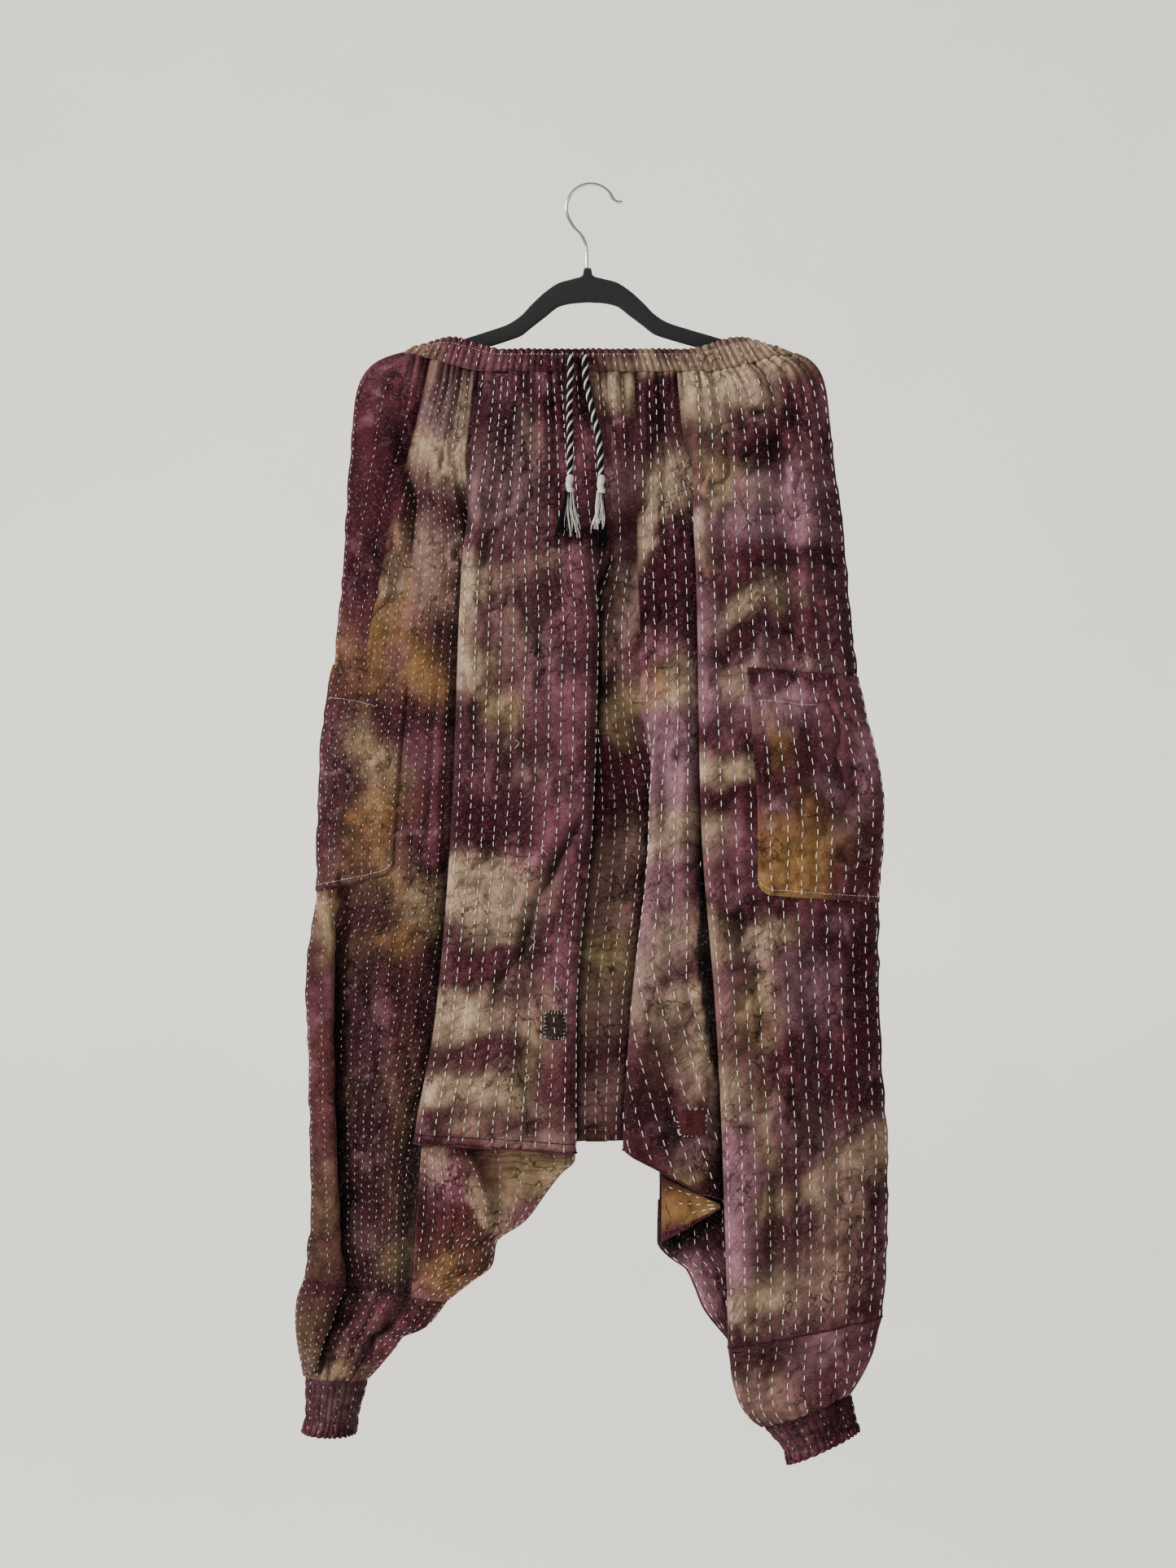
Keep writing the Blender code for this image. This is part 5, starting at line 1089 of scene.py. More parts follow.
@dataclass
class BodyForm:
    """The ring of cloth that the legs and the centre panels are cut from, at every drop.

    Attributes:
        step: Millimetres between its rings.
        lowest: The last ring's drop.
        gather: Millimetres of one gather at the waist.
    """

    step: float = 2.0
    lowest: float = 1126.0
    gather: float = 6.9
    mids: Array = field(init=False)
    table: Array = field(init=False)
    marks: dict[str, int] = field(init=False)
    columns: Array = field(init=False)
    shares: Array = field(init=False)
    casing: Array = field(init=False)
    along: Array = field(init=False)
    whole: float = field(init=False)

    def __post_init__(self) -> None:
        """Works out the rings and the two coordinates that follow the cloth."""
        self.mids = np.arange(CASING_DROP, self.lowest + self.step, self.step)
        control, self.marks = body_rings(self.mids)
        rows = [(int((drop - CASING_DROP) / self.step), size) for drop, size in BODY_SPACINGS]
        self.columns, self.shares = fine_columns(control, rows, closed=True)
        self.table = between(control, self.columns, self.shares, closed=True)
        self.casing, self.whole = self.ring_length(0)
        self.along, _ = self.ring_length(rows[1][0])

    def ring_length(self, row: int) -> tuple[Array, float]:
        """The length along one ring to each column, and the whole ring's length."""
        ring = self.table[row]
        step = np.linalg.norm(np.roll(ring, -1, axis=0) - ring, axis=1)
        return np.concatenate([[0.0], np.cumsum(step)[:-1]]), float(step.sum())

    def fine(self, column: int) -> int:
        """The fine column that stands on a control column."""
        return int(np.argmax((self.columns == column) & (self.shares == 0)))

    def chosen(self, first: int, last: int) -> Array:
        """The fine columns from one control column to another, past the ring's end if need be."""
        start, stop = self.fine(first), self.fine(last)
        count = len(self.columns)
        return np.arange(start, stop + 1 if stop > start else stop + count + 1) % count

    def control(self, chosen: Array) -> Array:
        """The control column that each fine column stands on, with its share of the way to the next."""
        return self.columns[chosen] + self.shares[chosen]

    def read(self, columns: Array, mids: Array) -> Array:
        """Places of the given fine columns, each at a drop of its own for each row."""
        return read_rows(self.table, (mids - CASING_DROP) / self.step, columns)

    def gathers(self, casing: Array) -> Array:
        """Height of the waist's gathers along the casing, 0 to 1: rounded ridges between sharp valleys.

        Args:
            casing: Lengths along the casing.

        Returns:
            The height at each of them.
        """
        turn = 2 * np.pi * casing / self.whole
        count = round(self.whole / self.gather)
        phase = turn * count / 2 + 0.5 * np.sin(3 * turn + 1)
        phase = phase + 0.45 * np.sin(11 * turn + 2) + 0.4 * np.sin(29 * turn)
        size = 0.8 + 0.2 * np.sin(17 * turn + 0.5) * np.sin(5 * turn)
        return np.abs(np.cos(phase)) * size

    def gathered(self, casing: Array, mids: Array) -> Array:
        """How far the gathers stand the cloth out below the casing.

        The gathers fade within 43 mm. Longer folds, each a bell across its own line, run on
        from them for 40 to 250 mm.

        Args:
            casing: Lengths along the casing.
            mids: Drops below it.

        Returns:
            How far, at each place.
        """
        height = 2.9 * (self.gathers(casing) - 0.6) * (1 - smooth(mids, CASING_DROP, CASING_DROP + 43)) ** 1.5
        chance = np.random.default_rng(5)
        count = LONG_FOLDS
        middles = (np.arange(count) + chance.uniform(-0.35, 0.35, count)) * self.whole / count
        widths, lengths = chance.uniform(2.0, 4.2, count), 40 + 210 * chance.random(count) ** 2.0
        rises = chance.uniform(1.3, 3.2, count) * np.where(chance.random(count) < 0.5, -1, 1)
        for middle, width, length, rise in zip(middles, widths, lengths, rises):
            away = np.abs(casing - middle)
            away = np.minimum(away, self.whole - away)
            wide = width * (1 + 0.5 * smooth(mids, CASING_DROP, CASING_DROP + length))
            fade = 1 - smooth(mids, CASING_DROP + 0.25 * length, CASING_DROP + length)
            height = height + rise * bell(away, wide) * fade
        return height

    def panel(self, first: int, last: int, hems: Array, rows: int, zones: list[Zone]) -> ClothGrid:
        """The cloth between two control columns, from the casing down to each column's own hem.

        Args:
            first: The control column that it begins at.
            last: The one that it ends at.
            hems: The drop of each fine column's hem.
            rows: How many rows it has.
            zones: The dye zone of each fine column.

        Returns:
            Its grid.
        """
        chosen = self.chosen(first, last)
        share = np.linspace(0, 1, rows)[:, None] ** 1.12
        mids = CASING_DROP + (hems - CASING_DROP) * share
        places = self.read(np.broadcast_to(chosen, mids.shape), mids)
        if first == self.marks["back right"]:
            places = self.bridged(places, chosen)
        out = self.gathered(self.casing[chosen][None], mids)
        places = settle(places + grid_normals(places) * out[..., None])
        along = self.along[chosen] + np.where(chosen < chosen[0], self.along[-1] + 4, 0)
        # Painted shade: the folds' painted shade, and the gathers' valleys below the casing painted darker.
        shade = self.painted_fold_shade(chosen, places) * (0.62 + 0.38 * smooth(out, -1.6, 0.9))
        return ClothGrid(places, along, self.casing[chosen], zones, self.hidden(chosen), shade=shade)

    def painted_fold_shade(self, chosen: Array, places: Array) -> Array:
        """Painted shade in the dye deep in the folds: how much darker the dye is there.

        The layers that are turned back are painted at four tenths of their light. The under layer is
        painted darker along a bell towards the edge that lies over it, and near black across the fold's gap.

        Args:
            chosen: The fine columns of the panel.
            places: The panel's places.

        Returns:
            A factor of the dye for each place.
        """
        at = self.control(chosen)
        x, drop = places[..., 0], places[..., 2]
        shade = np.ones(x.shape)
        for fold in FOLDS:
            turn = self.marks[fold.name]
            edge = steady_curve(drop, FOLD_DROPS, fold.edges)
            shut = smooth(drop, fold.starts, fold.full + 30)
            under = (at < turn + 1.5) if fold.over == "right" else (at > turn + 3.5)
            away = (edge - x) if fold.over == "right" else (x - edge)
            front = at < self.marks["right end"]
            dark = 0.68 * bell(np.maximum(away, 0), fold.shadow)
            if fold.gap:
                reach = np.interp(drop, *zip(*fold.gap))
                dark = np.maximum(dark, 0.93 * (1 - smooth(away, reach - 1.0, reach + 1.0)))
            shade = shade * (1 - shut * dark * (under & front) * (away > -30))
            inside = (at > turn + 1.3) & (at < turn + 3.7)
            shade = shade * (1 - 0.6 * shut * inside)
        return shade

    def hidden(self, chosen: Array) -> Array:
        """The drop from which each column lies in the turned-back layer of a fold, or NEVER_HIDDEN.

        Args:
            chosen: The fine columns.

        Returns:
            A drop for each of them.
        """
        shut_from = np.full(len(chosen), NEVER_HIDDEN)
        at = self.control(chosen)
        for fold in FOLDS:
            turn = self.marks[fold.name]
            inside = (at > turn + 1.1) & (at < turn + 3.9)
            shut_from[inside] = fold.starts + 0.55 * (fold.full - fold.starts)
        return shut_from

    def bridged(self, places: Array, chosen: Array) -> Array:
        """The back with its middle brought forward to the front's recess, which closes the crotch.

        Args:
            places: The panel's places.
            chosen: Its fine columns.

        Returns:
            The places with their new depths.
        """
        control = self.marks["back right"] + np.arange(len(BACK_COLUMNS))
        forward = np.interp(self.control(chosen), control, [c.forward for c in BACK_COLUMNS])
        recess = 30.0 + FOLDS[2].level_right - WALL - LAY_GAP
        places = places.copy()
        share = smooth(places[..., 2], 830, 925) ** 2 * forward
        places[..., 1] += (recess - places[..., 1]) * share
        return places


# Meshes

def make_mesh(name: str, points: Array, quads: Array, triangles: Array | None = None) -> bpy.types.Object:
    """An object at the origin.

    Args:
        name: Its name.
        points: Its points, in millimetres.
        quads: Four-sided faces, as numbers of points.
        triangles: Triangles, or nothing.

    Returns:
        The object, smooth shaded.
    """
    mesh = bpy.data.meshes.new(name)
    points = to_world(points.reshape(-1, 3))
    mesh.vertices.add(len(points))
    mesh.vertices.foreach_set("co", points.ravel())
    triangles = np.zeros((0, 3), int) if triangles is None else triangles
    quads = quads.reshape(-1, 4)
    corners = np.concatenate([quads.ravel(), triangles.ravel()])
    starts = np.concatenate([np.arange(len(quads)) * 4, len(quads) * 4 + np.arange(len(triangles)) * 3])
    mesh.loops.add(len(corners))
    mesh.loops.foreach_set("vertex_index", corners.astype(np.int32))
    mesh.polygons.add(len(starts))
    mesh.polygons.foreach_set("loop_start", starts.astype(np.int32))
    mesh.update(calc_edges=True)
    mesh.validate()
    mesh.shade_smooth()
    made = bpy.data.objects.new(name, mesh)
    bpy.context.scene.collection.objects.link(made)
    return made


def add_uv(made: bpy.types.Object, across: Array, down: Array) -> None:
    """A UV map named weave, from one pair of numbers for each point.

    Args:
        made: The object.
        across: The first number of each point.
        down: The second one.
    """
    layer = made.data.uv_layers.new(name="weave")
    index = np.zeros(len(made.data.loops), np.int32)
    made.data.loops.foreach_get("vertex_index", index)
    layer.data.foreach_set("uv", np.stack([across.ravel()[index], down.ravel()[index]], axis=1).ravel())


def add_dye(made: bpy.types.Object, colours: Array) -> None:
    """A colour attribute named dye, one linear colour for each point."""
    layer = made.data.color_attributes.new("dye", "FLOAT_COLOR", "POINT")
    flat = colours.reshape(-1, 3)
    layer.data.foreach_set("color", np.concatenate([flat, np.ones((len(flat), 1))], axis=1).ravel())


def grid_quads(index: Array) -> Array:
    """Four-sided faces of a grid of point numbers."""
    return np.stack([index[:-1, :-1], index[:-1, 1:], index[1:, 1:], index[1:, :-1]], axis=-1).reshape(-1, 4)


def turn_round(sides: int) -> Array:
    """The angles of a ring's points, evenly round a whole turn."""
    return np.arange(sides) * 2 * np.pi / sides


def wall_quads(rows: int, columns: int, closed: bool) -> Array:
    """Faces of a closed wall: the outer grid, the inner grid turned over, and the rims between them.

    Args:
        rows: The grid's rows.
        columns: Its columns.
        closed: True for a ring.

    Returns:
        Four point numbers for each face.
    """
    index = np.arange(rows * columns).reshape(rows, columns)
    if closed:
        index = np.concatenate([index, index[:, :1]], axis=1)
    inner = index + rows * columns

    def rim(before: Array, after: Array) -> Array:
        """Faces that join an edge of the outer side to the same edge of the inner one."""
        low = rows * columns
        return np.stack([before, after, after + low, before + low], axis=-1)

    faces = [grid_quads(index)[:, ::-1], grid_quads(inner)]
    faces += [rim(index[0, :-1], index[0, 1:]), rim(index[-1, 1:], index[-1, :-1])]
    if not closed:
        faces += [rim(index[1:, 0], index[:-1, 0]), rim(index[:-1, -1], index[1:, -1])]
    return np.concatenate(faces)


def tube_faces(rows: int, sides: int) -> tuple[Array, Array]:
    """Faces of a tube of rings, and its two fans, whose middles are the last two points.

    Args:
        rows: How many rings.
        sides: Points to a ring.

    Returns:
        The fours of the tube, then the threes of the fans.
    """
    index = np.arange(rows * sides).reshape(rows, sides)
    index = np.concatenate([index, index[:, :1]], axis=1)
    first, last = np.full(sides, rows * sides), np.full(sides, rows * sides + 1)
    fans = np.concatenate([
        np.stack([first, index[0, 1:], index[0, :-1]], axis=-1),
        np.stack([last, index[-1, :-1], index[-1, 1:]], axis=-1),
    ])
    return grid_quads(index), fans


def make_tube(
    name: str, path: Array, radius: Array | float, sides: int, lobes: Array | None = None,
) -> tuple[bpy.types.Object, Array]:
    """A tube along a path: a circle, or a circle times its lobes, stood square to the path at each point.

    Args:
        name: The object's name.
        path: Places along its middle.
        radius: One radius, or one for each place.
        sides: Points round it.
        lobes: Factors of the radius for each place and side, or nothing.

    Returns:
        The object and its grid of places.
    """
    along = unit(np.gradient(path, axis=0))
    side = unit(np.cross(along, np.array([0.0, 1.0, 0.0])))
    out = np.cross(side, along)
    angle = turn_round(sides)[None, :, None]
    size = np.broadcast_to(np.asarray(radius, float).reshape(-1, 1), (len(path), sides))
    if lobes is not None:
        size = size * lobes
    grid = path[:, None] + size[..., None] * (np.cos(angle) * side[:, None] + np.sin(angle) * out[:, None])
    points = np.concatenate([grid.reshape(-1, 3), path[:1], path[-1:]])
    return make_mesh(name, points, *tube_faces(len(path), sides)), grid


def dye_tube(made: bpy.types.Object, colours: Array, first: Array, last: Array) -> None:
    """The dye of a tube: a colour for each place of its grid, and one for the middle of each end."""
    add_dye(made, np.concatenate([colours.reshape(-1, 3), first[None], last[None]]))


# Finishes

class Nodes:
    """A short way to lay out a material's nodes."""

    def __init__(self, name: str) -> None:
        """Starts a material with its Principled shader.

        Args:
            name: The material's name.
        """
        self.material = bpy.data.materials.new(name)
        self.material.use_nodes = True
        self.tree = self.material.node_tree
        self.shader = self.tree.nodes["Principled BSDF"]

    def add(self, kind: str, **values: object) -> bpy.types.Node:
        """A node with some of its properties.

        Args:
            kind: The node's type.
            values: Its properties.

        Returns:
            The node.
        """
        node = self.tree.nodes.new(kind)
        for key, value in values.items():
            setattr(node, key, value)
        return node

    def feed(self, value: object, socket: bpy.types.NodeSocket) -> None:
        """Gives a socket its link, its number, or its colour of three numbers.

        Args:
            value: A link's source, a number or a colour.
            socket: What takes it.
        """
        if isinstance(value, bpy.types.NodeSocket):
            self.tree.links.new(value, socket)
        else:
            socket.default_value = (*value, 1.0) if isinstance(value, tuple) else value

    def dress(self, **values: object) -> None:
        """Feeds the shader's own sockets, by their names."""
        for name, value in values.items():
            self.feed(value, self.shader.inputs[name.replace("_", " ")])

    def maths(self, operation: str, first: object, second: object = 0.0) -> bpy.types.NodeSocket:
        """The result of one sum on sockets or numbers.

        Args:
            operation: The sum's name.
            first: Its first value.
            second: Its second one.

        Returns:
            The result's socket.
        """
        node = self.add("ShaderNodeMath", operation=operation)
        self.feed(first, node.inputs[0])
        self.feed(second, node.inputs[1])
        return node.outputs[0]

    def mix(self, share: object, first: object, second: object, blend: str = "MIX") -> bpy.types.NodeSocket:
        """A mix of two colours, each a socket or three numbers.

        Args:
            share: How much of the second.
            first: A colour.
            second: Another one.
            blend: How they are mixed.

        Returns:
            The result's socket.
        """
        node = self.add("ShaderNodeMix", data_type="RGBA", blend_type=blend)
        for socket, value in ((node.inputs[0], share), (node.inputs[6], first), (node.inputs[7], second)):
            self.feed(value, socket)
        return node.outputs[2]

    def noise(self, vector: bpy.types.NodeSocket, scale: float, detail: float = 2.0) -> bpy.types.NodeSocket:
        """Noise from 0 to 1 of that many waves a metre.

        Args:
            vector: Where it is read.
            scale: Waves a metre.
            detail: How many finer layers it has.

        Returns:
            The noise's socket.
        """
        node = self.add("ShaderNodeTexNoise")
        for name, value in (("Scale", scale), ("Detail", detail), ("Vector", vector)):
            self.feed(value, node.inputs[name])
        return node.outputs[0]

    def split(self, noise: bpy.types.NodeSocket) -> bpy.types.NodeSocket:
        """How far a noise is from its middle value, which is 0 along branching lines."""
        return self.maths("ABSOLUTE", self.maths("SUBTRACT", noise, 0.5))

    def ramp(self, value: bpy.types.NodeSocket, low: float, high: float) -> bpy.types.NodeSocket:
        """0 below low, 1 above high, and an S between them.

        Args:
            value: What is read.
            low: Where the S begins.
            high: Where it ends.

        Returns:
            The result's socket.
        """
        node = self.add("ShaderNodeMapRange", interpolation_type="SMOOTHSTEP")
        for name, given in (("From Min", low), ("From Max", high), ("Value", value)):
            self.feed(given, node.inputs[name])
        return node.outputs[0]

    def bump(
        self, height: bpy.types.NodeSocket, distance: float, below: object = None,
    ) -> bpy.types.NodeSocket:
        """A bumped normal, on top of another one if it is given.

        Args:
            height: The height's socket.
            distance: How far 1 stands out, in metres.
            below: The normal under it, or nothing.

        Returns:
            The normal's socket.
        """
        node = self.add("ShaderNodeBump")
        self.feed(distance, node.inputs["Distance"])
        self.feed(height, node.inputs["Height"])
        if below is not None:
            self.feed(below, node.inputs["Normal"])
        return node.outputs[0]

    def place(self) -> bpy.types.NodeSocket:
        """Object coordinates, in metres."""
        return self.add("ShaderNodeTexCoord").outputs["Object"]

    def dye(self) -> bpy.types.NodeSocket:
        """The colour of the points."""
        return self.add("ShaderNodeAttribute", attribute_name="dye").outputs["Color"]


@dataclass(frozen=True)
class ClothFinish:
    """Dyed cotton: the dye of its points, a mottle, painted shade along fine creases, a fine weave, and the
    pucker of its stitched rows.
    """

    name: str
    pucker: float = 0.0022
    mottle: float = 0.34
    # How dark the painted crease shade is.
    crease: float = 0.78
    weave: float = 0.00022
    roughness: float = 0.88
    sheen: float = 0.04

    def make(self) -> bpy.types.Material:
        """The material.

        The dye is darkened and lightened by two noises, and darkened along thin branching lines:
        painted shade of fine creases. The pucker is a valley along each row of stitches, cut across
        by small ripples whose length is half a stitch.

        Returns:
            The material.
        """
        nodes = Nodes(self.name)
        place, dye = nodes.place(), nodes.dye()
        grains = ((420.0, 4.0), (95.0, 3.0), (1500.0, 1.0))
        fine, broad, speckle = (nodes.noise(place, *waves) for waves in grains)
        colour = nodes.mix(nodes.maths("MULTIPLY", nodes.ramp(broad, 0.42, 0.68), self.mottle), dye,
                           (0.34, 0.24, 0.24), "MULTIPLY")
        # Painted shade of fine creases: thin dark lines where a branching noise crosses its middle.
        split = nodes.split(nodes.noise(place, 46.0, 3.0))
        found = nodes.ramp(nodes.noise(place, 19.0, 2.0), 0.47, 0.60)
        line = nodes.maths("MULTIPLY", nodes.maths("SUBTRACT", 1.0, nodes.ramp(split, 0.004, 0.03)), found)
        colour = nodes.mix(nodes.maths("MULTIPLY", line, self.crease), colour, (0.22, 0.16, 0.17), "MULTIPLY")
        colour = nodes.mix(nodes.maths("MULTIPLY", nodes.ramp(fine, 0.56, 0.74), self.mottle * 0.8), colour,
                           (0.30, 0.21, 0.20))
        colour = nodes.mix(nodes.maths("MULTIPLY", nodes.ramp(speckle, 0.3, 0.75), 0.25), colour,
                           (0.5, 0.5, 0.5), "OVERLAY")
        nodes.dress(
            Base_Color=colour, Roughness=self.roughness, Sheen_Weight=self.sheen, Sheen_Roughness=0.55,
            Specular_IOR_Level=0.05,
        )
        normal = nodes.bump(self.weave_height(nodes, place), self.weave)
        if self.pucker:
            normal = nodes.bump(self.pucker_height(nodes), self.pucker, normal)
        nodes.dress(Normal=normal)
        return nodes.material

    @staticmethod
    def weave_height(nodes: Nodes, place: bpy.types.NodeSocket) -> bpy.types.NodeSocket:
        """The height of the threads: noise of about a millimetre with broader noise under it."""
        fine, broad = nodes.noise(place, 1100.0, 2.0), nodes.noise(place, 260.0, 3.0)
        return nodes.maths("ADD", fine, nodes.maths("MULTIPLY", broad, 1.6))

    @staticmethod
    def pucker_height(nodes: Nodes) -> bpy.types.NodeSocket:
        """A rounded quilt between the rows, with ripples along them that differ from row to row.

        Args:
            nodes: The material's nodes.

        Returns:
            The height, as a socket.
        """
        split = nodes.add("ShaderNodeSeparateXYZ")
        nodes.feed(nodes.add("ShaderNodeUVMap", uv_map="weave").outputs[0], split.inputs[0])
        row = nodes.maths("SINE", nodes.maths("MULTIPLY", split.outputs[0], math.pi))
        quilt = nodes.maths("POWER", nodes.maths("ABSOLUTE", row), 0.7)
        joined = nodes.add("ShaderNodeCombineXYZ")
        for axis, stretch in enumerate((0.7, 1.9)):
            nodes.feed(nodes.maths("MULTIPLY", split.outputs[axis], stretch), joined.inputs[axis])
        ripple = nodes.noise(joined.outputs[0], 1.0, 1.5)
        crease = nodes.split(nodes.noise(nodes.place(), 55.0, 3.0))
        crumple = nodes.maths("POWER", nodes.maths("MULTIPLY", crease, 4.0), 0.5)
        quilt = nodes.maths("MULTIPLY", quilt, 0.22)
        height = nodes.maths("ADD", quilt, nodes.maths("MULTIPLY", crumple, 0.7))
        return nodes.maths("ADD", height, nodes.maths("MULTIPLY", ripple, 1.6))


@dataclass(frozen=True)
class PlainFinish:
    """A finish of one substance: two near colours mixed by noise, a fine bump, and its own gloss."""

    name: str
    light: tuple[float, float, float]
    dark: tuple[float, float, float]
    grain: float = 900.0
    roughness: float = 0.8
    metallic: float = 0.0
    sheen: float = 0.0
    bump: float = 0.0001
    # glow: emission in the light colour; on the cream thread it is painted light, on the pale ground an even
    # brightness.
    glow: float = 0.0

    def make(self) -> bpy.types.Material:
        """The material: noise mixes the colours, and a finer noise lifts the surface.

        Returns:
            The material.
        """
        nodes = Nodes(self.name)
        place = nodes.place()
        colour = nodes.mix(nodes.ramp(nodes.noise(place, self.grain, 3.0), 0.3, 0.7), self.dark, self.light)
        nodes.dress(
            Base_Color=colour, Roughness=self.roughness, Metallic=self.metallic, Sheen_Weight=self.sheen,
            Emission_Color=self.light, Emission_Strength=self.glow,
        )
        nodes.dress(Normal=nodes.bump(nodes.noise(place, self.grain * 2.2, 2.0), self.bump))
        return nodes.material


@dataclass(frozen=True)
class DyedFinish:
    """A finish whose colour is the dye of its points, as on twisted cord and tassel thread."""

    name: str
    roughness: float = 0.85
    grain: float = 2600.0
    bump: float = 0.00015

    def make(self) -> bpy.types.Material:
        """The material: the dye, a little darkened by noise, over a fine bump.

        Returns:
            The material.
        """
        nodes = Nodes(self.name)
        place, dye = nodes.place(), nodes.dye()
        dark = nodes.ramp(nodes.noise(place, 700.0, 3.0), 0.45, 0.75)
        colour = nodes.mix(nodes.maths("MULTIPLY", dark, 0.3), dye, (0.45, 0.42, 0.38), "MULTIPLY")
        nodes.dress(Base_Color=colour, Roughness=self.roughness, Specular_IOR_Level=0.12)
        nodes.dress(Normal=nodes.bump(nodes.noise(place, self.grain, 2.0), self.bump))
        return nodes.material


class Finish(Enum):
    """Every finish of the pants, of the hanger and of the studio."""

    STITCHED = ClothFinish("stitched cotton")
    GATHERED = ClothFinish("gathered cotton", pucker=0.0)
    PATCH = ClothFinish("patch cotton", pucker=0.0, mottle=0.2)
    # The cream thread glows a little: painted light that keeps the stitches bright.
    THREAD = PlainFinish("cream thread", (0.96, 0.92, 0.86), (0.80, 0.75, 0.69), 500, bump=0.00005, glow=0.16)
    DARK_THREAD = PlainFinish("wine thread", (0.05, 0.016, 0.02), (0.02, 0.006, 0.008), 500)
    CORD = DyedFinish("twisted cord")
    TASSEL = DyedFinish("tassel thread")
    FLOCK = PlainFinish("black flock", (0.007, 0.007, 0.008), (0.002, 0.002, 0.002), 1800, 0.95, sheen=0.06,
                        bump=0.0003)
    STEEL = PlainFinish("hook steel", (0.66, 0.66, 0.68), (0.58, 0.58, 0.60), 60, 0.22, 1.0, bump=0.00001)
    WALL = PlainFinish("pale floor", (0.90, 0.87, 0.80), (0.87, 0.84, 0.77), 3, 0.9, bump=0.00001, glow=0.62)


Materials = dict[Finish, bpy.types.Material]


def make_materials() -> Materials:
    """The material of every finish."""
    return {finish: finish.value.make() for finish in Finish}


# Sewing

SPINDLE_POINTS = 11
SPINDLE_RINGS = ((0.14, 0.75, 0.85), (0.5, 1.0, 1.0), (0.86, 0.75, 0.85))
SPINDLE_CORNERS = (math.pi / 2, math.pi * 7 / 6, math.pi * 11 / 6)
TIP_DEPTH = 0.5


@dataclass
class Sewing:
    """Stitches of one piece, gathered up and made into one mesh.

    Attributes:
        name: The mesh's name.
        seed: Where its uneven hand begins.
        points: Blocks of points that were added.
        quads: Their four-sided faces.
        triangles: Their triangles.
        count: How many points there are.
    """

    name: str
    seed: int
    points: list[Array] = field(default_factory=list)
    quads: list[Array] = field(default_factory=list)
    triangles: list[Array] = field(default_factory=list)
    count: int = 0

    def stitches(
        self, start: Array, middle: Array, end: Array, normal: Array, width: float, high: float,
    ) -> None:
        """Adds stitches, each a three-sided spindle: three rings between two points.

        A ring's middle lies on a parabola through the stitch's start, middle and end. Each row of
        SPINDLE_RINGS is a ring's share of the way, its share of the height and its size.

        Args:
            start: Where each goes in.
            middle: The middle of each, on the cloth.
            end: Where each comes out.
            normal: The cloth's normal at each.
            width: Its thickness.
            high: How far its middle stands off the cloth.
        """
        if len(start) == 0:
            return
        sideways = unit(np.cross(end - start, normal))
        angle = np.array(SPINDLE_CORNERS)[None, :, None]
        spoke = np.cos(angle) * sideways[:, None] + np.sin(angle) * normal[:, None]
        pull = 2 * middle - (start + end) / 2
        rings = []
        for share, lift, size in SPINDLE_RINGS:
            bow = (1 - share) ** 2 * start + 2 * share * (1 - share) * pull + share**2 * end
            rings.append((bow + normal * high * lift)[:, None] + spoke * (width / 2 * size))
        block = np.concatenate([
            (start - normal * TIP_DEPTH)[:, None], *rings, (end - normal * TIP_DEPTH)[:, None],
        ], axis=1)
        turn, following = np.array([1, 2, 3]), np.array([2, 3, 1])
        sides = [np.stack([turn + 3 * k, turn + 3 * k + 3, following + 3 * k + 3, following + 3 * k], axis=1)
                 for k in (0, 1)]
        ends = [np.stack([turn * 0, turn, following], axis=1),
                np.stack([turn * 0 + SPINDLE_POINTS - 1, following + 6, turn + 6], axis=1)]
        base = self.count + np.arange(len(start))[:, None, None] * SPINDLE_POINTS
        self.points.append(block.reshape(-1, 3))
        self.quads.append((base + np.concatenate(sides)).reshape(-1, 4))
        self.triangles.append((base + np.concatenate(ends)).reshape(-1, 3))
        self.count += SPINDLE_POINTS * len(start)

    def run(
        self, path: Array, normals: Array, length: float, pitch: float, width: float = 0.95,
        high: float = 0.35,
        phase: float = 0.0, keep: Array | None = None,
    ) -> None:
        """Adds a row of running stitches along a path.

        Stitch k starts at (k + phase) pitches of the path's length, give or take a little.

        Args:
            path: Places on the cloth's face.
            normals: The cloth's normal at each place.
            length: A stitch's length.
            pitch: From one stitch to the next.
            width: The thread's thickness.
            high: How far it stands off.
            phase: Where the row begins, as a share of a pitch.
            keep: Which places may carry a stitch, or nothing for all.
        """
        along = running_length(path)
        count = int((along[-1] - 1) / pitch)
        if count < 1:
            return
        chance = np.random.default_rng(self.seed + len(self.points))
        sizes = length * (1 + 0.13 * chance.standard_normal(count).clip(-2, 2))
        starts = (np.arange(count) + phase + 0.09 * chance.standard_normal(count).clip(-2, 2)) * pitch
        starts = starts.clip(0.3, along[-1] - length - 0.3)

        def at(values: Array, where: Array) -> Array:
            """Values read at lengths along the path."""
            return np.stack([np.interp(where, along, values[:, axis]) for axis in range(3)], axis=1)

        start, end, middle = at(path, starts), at(path, starts + sizes), at(path, starts + sizes / 2)
        normal = unit(at(normals, starts + sizes / 2))
        aside = unit(np.cross(end - start, normal)) * (0.25 * chance.standard_normal((count, 1)))
        start, end = start + aside, end - aside
        if keep is not None:
            kept = np.interp(starts + sizes / 2, along, keep.astype(float)) > 0.99
            start, end, middle, normal = start[kept], end[kept], middle[kept], normal[kept]
        self.stitches(start, middle, end, normal, width, high)

    def make(self, material: bpy.types.Material) -> None:
        """The mesh of everything that was added."""
        blocks = (np.concatenate(block) for block in (self.points, self.quads, self.triangles))
        dress(make_mesh(self.name, *blocks), material, "twisted_cord")


